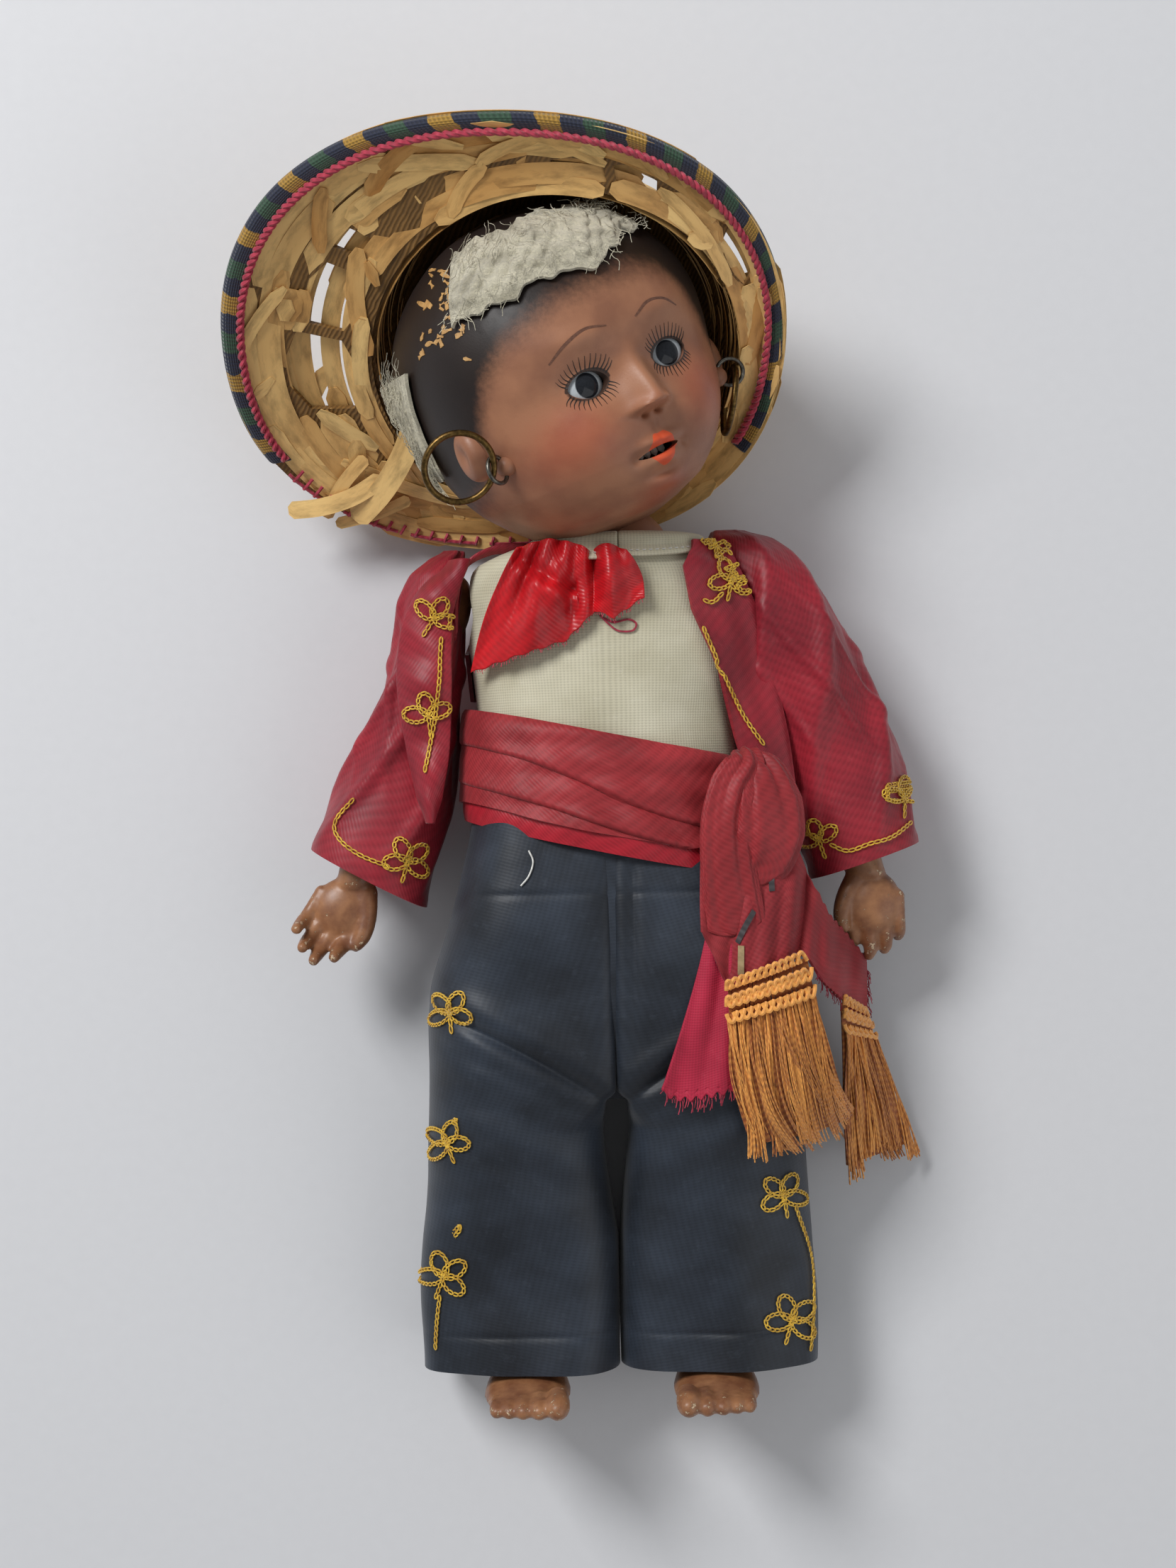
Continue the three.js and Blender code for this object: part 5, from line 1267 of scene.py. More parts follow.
def make_loose_straws():
    """Flat straws that have come away at the lower left and reach over the edge of the brim."""
    straws = Bundle()
    facing = unit(np.array([0, 0.3, 0.3]) - HAT_BACK)
    for marks, width, tone in (
        ([(-28, -13, 3.4), (-31, -20, 2.2), (-35.4, -27, 1.4), (-41, -33.6, 1.6)], 6.6, 1.0),
        ([(-35, -24.5, 2.6), (-41, -28, 1.6), (-47.4, -30, 1.2), (-54, -30.8, 1.4)], 5, 0.85),
        ([(-38, -20, 3.2), (-43, -26, 2.8), (-47, -33.5, 2.8)], 3.8, 0.6),
        ([(-30, -30, 3.2), (-37, -33, 2.8), (-45, -35, 2.6)], 3.4, 0.75),
    ):
        strip(straws, in_hat(*curve(marks, 22).T), facing, width, tone)
    return dressed(strip_mesh(straws, "loose_straws"), "hat", straw, ["hat_loose_straw"])


# The trunk's form, and cloth worn over it

# height, half width, half depth and middle
TRUNK = [
    [-60, 9, 8, 20], [-56, 15, 12, 20], [-50, 21, 15, 20], [-40, 25, 16.8, 20], [-28, 26, 17.6, 20],
    [-14, 25.4, 17.6, 20], [0, 24.2, 17.3, 20], [12, 23.8, 17.3, 20], [24, 24.8, 17.4, 20],
    [32, 25.9, 16.4, 20.3], [37, 26.3, 15.4, 21.4], [41, 24.2, 14.2, 23], [43.5, 18.6, 13, 24.6],
    [45, 13.2, 11.6, 25.9],
]
TRUNK_SQUARE = 2.4
SHIRT_LIFT = 0.9  # middle of each cloth's thickness over the trunk
JACKET_LIFT = 2.25
SASH_LIFT = 4.5
WAIST_Y = -4
SHOULDER_Y = 36
SHIRT_ARMHOLE = 9.5
JACKET_ARMHOLE = 10.5
HIP_Z = 19.2


def trunk(y, degrees, lift=0.0, floor=0.4):
    """A point on the trunk or on a cloth at some height over it; 0 is the left side, 90 the front."""
    a = np.radians(degrees)
    wide, deep, middle = np.moveaxis(between(TRUNK, y), -1, 0)
    before = between(TRUNK, y - 0.5)
    after = between(TRUNK, y + 0.5)
    slope = mix(after[..., 0] - before[..., 0], after[..., 1] - before[..., 1], np.sin(a) ** 2)
    share = 1 / np.hypot(1, slope)
    x = (wide + lift * share) * power(np.cos(a), 2 / TRUNK_SQUARE)
    up = (deep + lift * share) * power(np.sin(a), 2 / TRUNK_SQUARE)
    return np.stack(np.broadcast_arrays(x, y - lift * slope * share, np.maximum(middle + up, floor)), -1)


def rod(name, start, end, radius):
    """A round bar between two points, for cutting armholes and necklines."""
    start, end = np.asarray(start, float), np.asarray(end, float)
    piece = cylinder(name, 48)
    along = unit(end - start)
    across = unit(np.cross(along, [0.3, 0.5, 0.81]))
    places = corners(piece)
    moved = (start + end) / 2 + places[:, 2:] * (end - start)
    moved = moved + radius * (places[:, :1] * across + places[:, 1:2] * np.cross(along, across))
    move(piece, doll(moved))
    return piece


def armhole(side, radius):
    return rod("armhole", [side * 15, SHOULDER_Y, 20], [side * 70, SHOULDER_Y, 20], radius)


def neckline():
    """A bar up through the neck, which leaves the jacket's neck opening."""
    low = [NECK[0], 38.5, NECK[2] - 1]
    return rod("neckline", low, [low[0], 90, low[2]], 18.2)


def wrinkle(s, t, scale, depth, seed):
    """Slow, crossing waves, as soft cloth has where nothing pulls it."""
    wave = np.sin(scale * (s + 0.6 * t) + seed) * np.sin(0.7 * scale * (t - 0.4 * s) + 2 * seed)
    return depth * (wave + 0.5 * np.sin(1.9 * scale * (s - 0.8 * t) + 3 * seed))


def make_shirt():
    def place(s, t):
        degrees = 360 * s
        y = mix(WAIST_Y - 2, 44.6, t)
        front = np.maximum(0, np.sin(np.radians(degrees)))
        lift = SHIRT_LIFT + front * (0.35 + wrinkle(6 * s, 3 * t, 4.5, 0.3, 1.2))
        return trunk(y, degrees, lift, 1.8)

    piece = cloth("lawn_shirt", 150, 60, place, (150, 62), rolled=True, levels=0)
    cut(piece, armhole(-1, SHIRT_ARMHOLE), armhole(1, SHIRT_ARMHOLE))
    return dressed(piece, "trunk", lawn, ["shirt"])


def make_collar():
    """A turned-down collar whose two wings meet under the chin."""
    def place(s, t):
        b = np.radians(mix(-4, 356, s))
        side = np.sin(b) ** 2
        front = np.maximum(0, np.cos(b))
        wing = bell(np.degrees(b), 52, 30) + 6.5 * bell(np.degrees(b), 305, 34)
        reach = 14.6 + 2.2 * side + 0.3 * front * (1 - side) + wing
        drop = 42.6 + 2.4 * side + 2.6 * np.maximum(0, -np.cos(b)) - 0.6 * np.sqrt(wing)
        height = mix(47.2, drop, t ** 1.3)
        radius = mix(12.4, reach, t ** 0.7)
        roll = 0.9 * np.sin(math.pi * np.clip(t * 1.6, 0, 1))
        x = NECK[0] + (radius + roll) * np.sin(b)
        z = NECK[2] - 1 + (radius + roll) * np.cos(b)
        return np.stack([x, height + 0.4 * roll, z], -1)

    piece = cloth("lawn_collar", 120, 16, place, (95, 10), 0.7)
    dressed(piece, "trunk", lawn, ["shirt_collar"])
    seam = Bundle()
    s = np.linspace(0.01, 0.99, 150)
    for start in range(0, 148, 2):
        run = slice(start, start + 2)
        path = place(s[run], np.full(2, 0.86)) + np.array([0, 0.35, 0.45])
        seam.sweep(path, [0, 0.4, 0.9], 0.12, 0.1, tone=0.5)
    dressed(seam.mesh("collar_stitches"), "trunk", white_thread)
    return piece


BOW_FRAYS = 90


def bow_place(s, t):
    """The bow before its folds: gathered at its top, with a long end, a notch and a short end."""
    marks = [0, 0.5, 0.7, 0.8, 1]
    low_x = np.interp(s, marks, [-25.8, -7.4, -2.0, 1.4, 7.4])
    low_y = np.interp(s, marks, [21.6, 27.0, 32.4, 31.0, 34.8])
    x = mix(np.interp(s, marks, [-16.4, -7, -2.6, -0.4, 4.2]), low_x, t)
    x = x - 1.2 * np.sin(math.pi * t) * (1 - s) + 1.0 * np.sin(math.pi * t) * s ** 3
    top = 44.4 + 1.5 * bell(s, 0.35, 0.25) + 0.8 * bell(s, 0.85, 0.1) - 0.9 * bell(s, 0.7, 0.05) - s ** 4
    return x, mix(top, low_y, t)


def make_bow():
    def place(s, t):
        x, y = bow_place(s, t)
        crease = bell(s, 0.7 + 0.02 * np.sin(4 * t), 0.035) + 0.6 * bell(s, 0.44 + 0.14 * t, 0.04) * (1 - t)
        pleats = 0.75 * np.cos(TAU * 6 * s + 1.2 * np.sin(3 * t)) * (1 - t) ** 0.6
        folds = 1.25 * np.sin(TAU * 2.4 * s + 3.1 * t + 0.5) * np.sin(math.pi * np.clip(t, 0, 1) * 0.85)
        slanted = t - 0.9 * s
        tuck = (0.7 * bell(slanted, 0.13, 0.08) - 1.2 * bell(slanted, 0.0, 0.07)) * (s < 0.6)
        puff = 1.6 * np.sin(math.pi * np.clip(s / 0.68, 0, 1)) * np.sin(math.pi * t ** 0.8)
        puff = puff + 1.5 * np.sin(math.pi * np.clip((s - 0.7) / 0.3, 0, 1)) * np.sin(math.pi * t ** 0.9)
        z = 42.6 - 2.2 * crease * (1 - 0.4 * t) + pleats + folds + puff + tuck - 1.4 * t
        z = z - 7.5 * np.maximum(0, (-x - 9) / 17) ** 2
        frayed = 0.2 * np.sin(61 * s) * (t > 0.97)
        return np.stack([x, y + frayed, z], -1)

    piece = cloth("satin_bow", 130, 70, place, (36, 25), 0.5)
    dressed(piece, "trunk", ribbon_satin, ["bow"])
    trims = Bundle()
    s = np.linspace(0.02, 0.98, BOW_FRAYS)
    for end in place(s, np.full(BOW_FRAYS, 0.985)):
        fall = np.array([chance.uniform(-0.5, 0.5), -chance.uniform(0.4, 1.2), -0.2])
        trims.sweep(np.stack([end, end + fall]), [0, 0, 1], 0.07, 0.07, sides=3, tone=0.7)
    loose, facing = laid(surface(bpy.data.objects["lawn_shirt"]), [
        (846, 868), (858, 880), (872, 890), (892, 890), (897, 880), (886, 874), (866, 878), (852, 872),
    ], 0.35, 60)
    trims.sweep(loose, facing, 0.2, 0.2, sides=5, tone=0.3)
    dressed(trims.mesh("bow_threads"), "trunk", red_floss)
    return piece


def make_jacket_back():
    def place(s, t):
        degrees = mix(186, 354, s)
        y = mix(17, 44.4, t)
        return trunk(y, degrees, JACKET_LIFT + wrinkle(4 * s, 2 * t, 4, 0.12, 0.4), 0.6)

    piece = cloth("jacket_back", 90, 44, place, (74, 30), levels=0)
    cut(piece, armhole(-1, JACKET_ARMHOLE), armhole(1, JACKET_ARMHOLE), neckline())
    return dressed(piece, "trunk", red_sateen, ["jacket_back"])


LEFT_FRONT_EDGE = [[5, 25.4], [8.3, 24.5], [21.2, 21.6], [32.5, 16.6], [40.6, 15], [44.6, 17]]


def make_jacket_left_front():
    def place(s, t):
        y = mix(5.5, 44.4, t)
        edge = straight(LEFT_FRONT_EDGE, y)
        wide = between(TRUNK, y)[..., 0]
        last = np.degrees(np.arccos(np.clip(edge / (wide + 2.7), 0, 1) ** (TRUNK_SQUARE / 2)))
        degrees = mix(-7, last, s)
        lift = JACKET_LIFT + 0.35 * np.sin(5 * t + 3 * s) * s + 0.5 * ease(s, 0.8, 1)
        return trunk(y, degrees, lift, 0.6)

    piece = cloth("jacket_left_front", 44, 70, place, (24, 42), levels=0)
    cut(piece, armhole(1, JACKET_ARMHOLE), neckline())
    return dressed(piece, "trunk", red_sateen, ["jacket_front_left"])


LEFT_FRONT_OUTER = [[-0.5, 35.8], [8, 34.6], [16, 33], [24, 31.2], [34, 28.4], [46, 23.4]]


def make_jacket_left_lap():
    """The left front's outer layer, spreading from its edge over the inner side of the sleeve."""
    def place(s, t):
        low = mix(-0.5, 5.2, s)
        y = mix(low, 45.8, t)
        inner = straight(LEFT_FRONT_EDGE, y) - 0.3
        x = mix(straight(LEFT_FRONT_OUTER, y), inner, s)
        wide, deep, middle = np.moveaxis(between(TRUNK, np.clip(y, 5, 43)), -1, 0)
        share = np.clip(x / (wide + 3), 0, 1)
        body = middle + (deep + 3) * (1 - share ** TRUNK_SQUARE) ** (1 / TRUNK_SQUARE)
        spread = 33.6 - 0.42 * (x - 22)
        height = np.logaddexp(1.6 * body, 1.6 * spread) / 1.6
        folds = 0.45 * np.sin(0.5 * x - 0.16 * y) + 0.35 * np.sin(0.9 * x + 0.22 * y) * (1 - s)
        height = height + folds - 1.2 * ease(y, 42, 46) - 0.5 * bell(s, 0, 0.06)
        return np.stack([x, y, height], -1)

    piece = cloth("jacket_left_lap", 50, 80, place, (20, 46), levels=0)
    return dressed(piece, "trunk", red_sateen)


RIGHT_FRONT = [[-6.8, 33.6, 34.8], [-2, 32, 36.4], [6.4, 30.3, 38.2], [14, 29.8, 39.4], [20.6, 29.5, 40],
               [28, 29.3, 39.4], [33, 29, 38], [38, 27.6, 35], [43.6, 25.6, 29.5]]


def right_front_place(s, t):
    y = mix(43.6, -6.8, t)
    near, far = np.moveaxis(between(RIGHT_FRONT, y), -1, 0)
    roll = 1.3 * np.sin(math.pi * s) ** 0.8
    ripple = 0.5 * np.sin(0.34 * y + 2.6 * s) + 0.25 * np.sin(0.8 * y - 4 * s)
    z = 32.6 - 2.4 * s ** 2 + roll + ripple - 2 * ease(y, 36, 44)
    return np.stack([-mix(near, far, s), y, z], -1)


def make_jacket_neck_strip():
    """The jacket's back, pulled out at the right shoulder: a strip from the neck down the armhole."""
    line = curve([(-15.6, 45.6, 28), (-21, 45.4, 28.6), (-26.2, 42.6, 29.4), (-28.4, 36, 29.6),
                  (-28.8, 29, 27.6)], 90)

    def place(s, t):
        middle = np.stack([np.interp(t, np.linspace(0, 1, 90), line[:, k]) for k in range(3)], -1)
        across = np.stack([-0.75 + 0.6 * t, -0.66 * np.ones_like(t), -0.3 * np.ones_like(t)], -1)
        curl = np.array([0, 0, 0.5]) * np.sin(math.pi * s)[..., None]
        return middle + across * ((s - 0.5) * 2.8)[..., None] + curl

    piece = cloth("jacket_neck_strip", 8, 60, place, (2.8, 26), 0.7)
    return dressed(piece, "trunk", red_sateen)


def make_jacket_right_front():
    """The right front has slipped outwards and lies along the top of its sleeve."""
    piece = cloth("jacket_right_front", 36, 120, right_front_place, (11, 51))
    return dressed(piece, "arm_right", red_sateen, ["jacket_front_right"])


def limb_ring(rows, y, s, square):
    """A point on a limb's or sleeve's surface: s round the section at height y."""
    near, far, middle, deep, slope = np.moveaxis(between(np.array(sorted(rows)), y), -1, 0)
    a = TAU * s
    dx = (far - near) / 2 * power(np.cos(a), 2 / square)
    dz = deep * power(np.sin(a), 2 / square)
    return (near + far) / 2 + dx, y + slope * dx, middle + dz


# height, inner and outer side, middle, half depth, and how far each ring slants
SLEEVE_LEFT = [
    [48.4, 21.6, 27.4, 20, 3.2, 0], [46.8, 21, 32.4, 20, 7.4, 0], [44, 21, 36.2, 20, 10.2, 0],
    [40, 21.6, 39.6, 20, 11.6, 0], [35, 22.4, 42.8, 20, 12, 0], [29, 23.6, 46.6, 19.6, 12, 0],
    [18, 27, 51.6, 18.6, 11.8, 0], [8, 30.8, 54.8, 17.6, 11.4, 0.1], [0, 34.2, 57, 17, 11, 0.18],
    [-9, 37.2, 59, 16.8, 10.6, 0.26], [-16, 39.6, 60.2, 16.8, 10.2, 0.33],
]
SLEEVE_RIGHT = [
    [45.6, 27.4, 31, 20, 3.4, 0], [44, 27.6, 33.6, 20, 6.6, 0], [41, 27.8, 37.2, 20, 9, 0],
    [36, 27.9, 39.4, 20, 10.2, 0], [29, 28, 40.8, 19.4, 10.4, 0], [18, 29, 43.6, 18.2, 10.6, 0.1],
    [8, 30.4, 47.8, 17.4, 10.6, 0.2], [0, 31.6, 51.6, 17, 10.6, 0.34], [-9, 34, 55.2, 16.8, 10.6, 0.46],
    [-17.4, 36.6, 58.2, 16.8, 10.4, 0.55],
]


def make_sleeve(side, name, rows, body, node_name, folds):
    """A sleeve with its cap over the shoulder and deep folds slanting down its length."""
    top, cuff = rows[0][0], rows[-1][0]

    def place(s, t):
        y = mix(top, cuff, np.clip((t - 0.04) / 0.96, 0, 1))
        x, lean_y, z = limb_ring(rows, y, s, 2.3)
        shut = np.clip(t / 0.04, 0, 1) ** 0.5
        x = mix(0.5 * (rows[0][1] + rows[0][2]), x, shut)
        z = mix(20, z, shut)
        out = np.sin(math.pi * np.clip(t * 1.02, 0, 1)) ** 0.6
        line = 0.5 - s if side > 0 else s
        wave = np.sin(TAU * 3 * line + 7.5 * t + 0.4)
        long_folds = 1.6 * bell(wave, 0.2, 0.5) + 0.6 * np.sin(TAU * 2 * line + 12 * t) - 0.7
        pinch = 0.7 * bell(np.sin(TAU * 4 * line - 8 * t), 0, 0.35) * bell(t, 0.45, 0.25)
        pull = folds * out * (long_folds + pinch) * 1.5
        a = TAU * s
        x = x + pull * np.cos(a)
        z = z + pull * np.sin(a)
        return np.stack([side * x, lean_y, np.maximum(z, 0.6)], -1)

    piece = cloth(name, 150, 150, place, (62, 66), rolled=True, levels=0)
    return dressed(piece, body, red_sateen, [node_name])


# Trousers: each half runs from the waist to its hem

# height, inner and outer side, middle, half depth, slant
TROUSERS = [
    [-2, 0.05, 25.6, 20, 17.9, 0], [-8, 0.05, 26.6, 20, 18.3, 0], [-14, 0.05, 27.9, 20, 18.9, 0],
    [-22, 0.05, 30, 20, 19.4, 0], [-30, 0.05, 32.4, 19.8, 19.6, 0], [-38, 0.05, 34.6, 19.4, 19.6, 0],
    [-46, 0.05, 35.6, 19.3, 19.4, 0], [-54, 0.05, 35.9, 18.9, 18.9, 0], [-58, 0.4, 36, 18.4, 18.3, 0],
    [-61, 2.4, 36.1, 17.9, 17.7, 0], [-66, 2.9, 36.3, 17.3, 17, 0], [-72, 2.5, 36.6, 16.3, 15.9, 0],
    [-79, 1.6, 37.1, 15.1, 14.7, 0], [-88, 0.6, 38, 14, 13.6, 0], [-100, 0.4, 38.6, 13.2, 12.8, 0],
    [-113.8, 0.4, 38.5, 13, 12.6, 0],
]


def trouser_ring(y, s):
    """The section of one half: flat and square towards the middle above the crotch, rounder below."""
    near, far, middle, deep, _ = np.moveaxis(between(sorted(TROUSERS), y), -1, 0)
    a = TAU * s
    inner = mix(14.0, 3.2, ease(-y, 55, 66))
    square = np.where(np.cos(a) < 0, inner, 2.5)
    size = (np.abs(np.cos(a)) ** square + np.abs(np.sin(a)) ** square) ** (-1 / square)
    return (near + far) / 2 + (far - near) / 2 * size * np.cos(a), middle + deep * size * np.sin(a)


def trouser_place(side):
    def place(s, t):
        y = mix(-2, -113.8, t)
        x, z = trouser_ring(y, s)
        front = np.maximum(0, np.sin(TAU * s))
        groin_y = -62 + 18 * np.clip(x / 30, 0, 1.1) ** 0.8
        groin = -1.7 * bell(y, groin_y, 1.6) + 0.9 * bell(y, groin_y + 4.2, 2.6)
        groin = groin - 0.6 * bell(y, groin_y - 6, 2)
        drag = 0.5 * np.sin(0.55 * (y - 0.5 * x)) * bell(y, -66, 12)
        yoke = -0.28 * bell(y, -20.5, 0.6) - 0.35 * bell(y, -106.5, 0.6)
        over_seat = ease(-y, 12, 18) * (1 - ease(-y, 44, 54))
        middle_fold = -1.5 * bell(x, 3.5 if side > 0 else -4, 1.1) * over_seat
        fall = ease(-y, 60, 112)
        pleats = fall * (0.9 * np.sin(TAU * 3 * s + 2.4 * t + side) + 0.4 * np.sin(TAU * 7 * s + 5 * t))
        soft = 0.7 * np.sin(0.17 * y + side) * np.sin(TAU * 2 * s + 0.05 * y) * ease(-y, 14, 34)
        pull = (groin + drag + yoke + middle_fold) * front + pleats * (0.45 + 0.55 * front) + soft
        inward = ease(x, 0.3, 6)
        z = np.maximum(z + pull * np.sin(TAU * s) * (0.35 + 0.65 * inward), 0.5)
        x = np.maximum(x + 0.4 * pull * np.cos(TAU * s), np.minimum(x, 0.5))
        return np.stack([side * x, y, z], -1)
    return place


def bend_at_hip(piece, side):
    """Works out two places at the hip, which nothing uses, and bakes the piece's transform into its mesh."""
    spot(side * 18, -34, HIP_Z)
    spot(side * 18, -60, HIP_Z)
    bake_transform(piece)


def make_trouser(side, name, node_name):
    piece = cloth(name, 200, 230, trouser_place(side), (108, 112), rolled=True, levels=0)
    dressed(piece, None, navy_sateen, [node_name])
    bend_at_hip(piece, side)
    return piece


def make_trousers_top():
    """The doubled top of the trousers, under the sash and inside both halves."""
    def place(s, t):
        return trunk(mix(-1.5, -59.6, t), 360 * s, 0.9, 1.4)

    piece = cloth("trousers_top", 110, 60, place, (140, 56), 0.6, rolled=True, levels=0)
    return dressed(piece, "trunk", navy_sateen, ["trousers_seat"])


# The sash: wound on a slant, knotted at the doll's left, with two ends


def sash_place(s, t):
    """The sash's outer cloth: wound on a slant, its width gathered into overlapping folds."""
    degrees = 360 * s
    x = (24.2 + SASH_LIFT) * power(np.cos(np.radians(degrees)), 2 / TRUNK_SQUARE)
    y = mix(-13 - 0.21 * x, 9.3 - 0.2 * x, t)
    front = np.maximum(0, np.sin(np.radians(degrees)))
    slant = 2.9 * t + 0.022 * (x + 26) * np.sin(math.pi * np.clip(t, 0, 1)) + 0.12 * np.sin(0.12 * x)
    step = slant % 1.0
    overlap = 1.15 * (1 - step) ** 1.4 * ease(step, 0.0, 0.07)
    inside = np.sin(math.pi * np.clip(t, 0, 1))
    creases = 0.28 * np.cos(0.62 * x + 9 * t) * inside + 0.2 * np.cos(24 * t - 0.2 * x)
    edge = -0.9 * (np.exp(-np.maximum(t, 0) / 0.03) + np.exp(-(1 - t) / 0.035))
    lift = SASH_LIFT - 0.2 + (overlap + creases) * (0.3 + 0.7 * front) + edge
    return trunk(y, degrees, lift, 0.6)


def make_sash():
    def outer(s, t):
        return sash_place(s, mix(0.17 + 0.02 * np.sin(TAU * 3 * s), 1, t))

    def lining(s, t):
        inside = sash_place(s, np.zeros_like(t))
        x = (24.2 + SASH_LIFT) * power(np.cos(TAU * s), 2 / TRUNK_SQUARE)
        y = inside[..., 1] + 6.2 * t
        bulge = 0.55 * np.sin(math.pi * t) + 0.16 * np.sin(0.5 * x)
        return trunk(y, 360 * s, SASH_LIFT - 1.3 + bulge, 0.6)

    edge = cloth("sash_lining_edge", 150, 16, lining, (165, 7), rolled=True, levels=0)
    dressed(edge, "trunk", lining_red)
    piece = cloth("sash_band_cloth", 200, 84, outer, (165, 22), 0.9, rolled=True, levels=0)
    return dressed(piece, "trunk", sash_red, ["sash_band"])


KNOT_X = 26.4
KNOT_Z = 37.4


def turn_of_cloth(name, path, widths, heights, facing, seed):
    """One turn of the knot: a flattened roll of cloth with folds running along it."""
    def place(s, t):
        steps = 80
        middle = curve(path, steps)
        along = unit(np.gradient(middle, axis=0))
        across = unit(np.cross(along, np.asarray(facing, float)))
        up = np.cross(across, along)
        at = np.clip(t, 0, 1) * (steps - 1)
        pick = lambda table: np.stack([np.interp(at, np.arange(steps), table[:, k]) for k in range(3)], -1)
        share = np.linspace(0, 1, len(widths))
        a = TAU * s
        shut = np.clip(np.minimum(t, 1 - t) / 0.05, 0, 1) ** 0.5
        ripple = (0.42 * np.cos(7 * a + seed + 2.2 * t) + 0.22 * np.cos(12 * a - 3 * t)) * (1 - 0.6 * t)
        wide = (np.interp(t, share, widths) + ripple) * shut
        high = (np.interp(t, share, heights) + ripple) * shut
        spread = power(np.cos(a), 0.85) * wide
        rise = power(np.sin(a), 0.85) * high
        return pick(middle) + pick(across) * spread[..., None] + pick(up) * rise[..., None]

    length = float(np.linalg.norm(np.diff(np.asarray(path, float), axis=0), axis=1).sum())
    piece = shaped(grid(name, 90, 60), place, 4 * max(widths), length)
    welded(piece)
    smooth(piece, 70)
    return dressed(piece, "trunk", sash_red)


def make_knot():
    """The sash's knot: a core, and two turns drawn over it that run into the hanging end."""
    piece = globe("sash_knot_cloth", 120, 90)
    share, a = globe_places(piece)
    swell = np.sin(math.pi * share) ** 0.5
    folds = 0.5 * np.sin(9 * a + 4 * share) * np.sin(math.pi * share)
    u = (7.9 * swell + 0.4 * folds) * np.cos(a)
    v = (3.1 * swell + 0.5 * folds * swell) * np.sin(a)
    lean = math.radians(-38)
    x = KNOT_X + u * math.cos(lean) - v * math.sin(lean)
    y = mix(4.4, -16.6, share) - 0.12 * u
    z = KNOT_Z + u * math.sin(lean) + v * math.cos(lean)
    lay_map(piece, a * 8, share * 26)
    move(piece, doll(np.stack([x, y, z], 1)))
    welded(piece)
    smooth(piece, 70)
    dressed(piece, "trunk", sash_red, ["sash_knot"])
    turn_of_cloth("sash_knot_turn", [
        (25, 5.6, 37), (25.4, 3, 40.8), (23, -1, 42.6), (21.6, -7, 43), (21.6, -14, 42.4), (22.4, -22, 41.6),
        (23.4, -29, 40.9),
    ], [2.2, 3.4, 4.2, 4.6, 4.9, 5.4, 5.8], [1.2, 2.1, 1.9, 1.4, 1, 0.7, 0.3], (0.1, 0, 1), 0.4)
    turn_of_cloth("sash_knot_loop", [
        (26.2, 4, 38.6), (28.4, 1.4, 40.4), (29.6, -4, 41), (29.8, -10, 40.6), (28.4, -15, 40.2),
        (24.6, -19, 40.4),
    ], [2.4, 4.6, 6.6, 7, 5.6, 2.2], [1.2, 1.8, 2, 2, 1.6, 0.8], (0.35, 0, 0.94), 2.1)
    return piece


TAIL_TOP = [[17, -4], [33, -7], [35.6, -14], [38, -19], [41.6, -26], [45, -29.5], [50.4, -36]]
TAIL_LOW = [[17, -28], [21.2, -38.6], [36.4, -33.2], [40, -39], [44, -42.6], [50.4, -46.6]]


def tail_height(x):
    return 41.2 - 0.06 * np.maximum(0, x - 18) - 0.05 * np.maximum(0, x - 27) ** 2


FRONT_FRAYS = 110
PLAIN_FRAYS = 60


def fray(threads, start, fall, lift, half):
    """One loose thread of a torn edge, bent as it falls."""
    path = curve([start, start + 0.5 * fall + [0.2, 0, lift], start + fall], 5)
    threads.sweep(path, [0, 0, 1], half, half, sides=3, tone=chance.random())


def hung(piece):
    """Works out two places near the knot, which nothing uses, and bakes the piece's transform into its mesh.
    """
    spot(32, -13, 39)
    spot(32, -20, 39)
    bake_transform(piece)


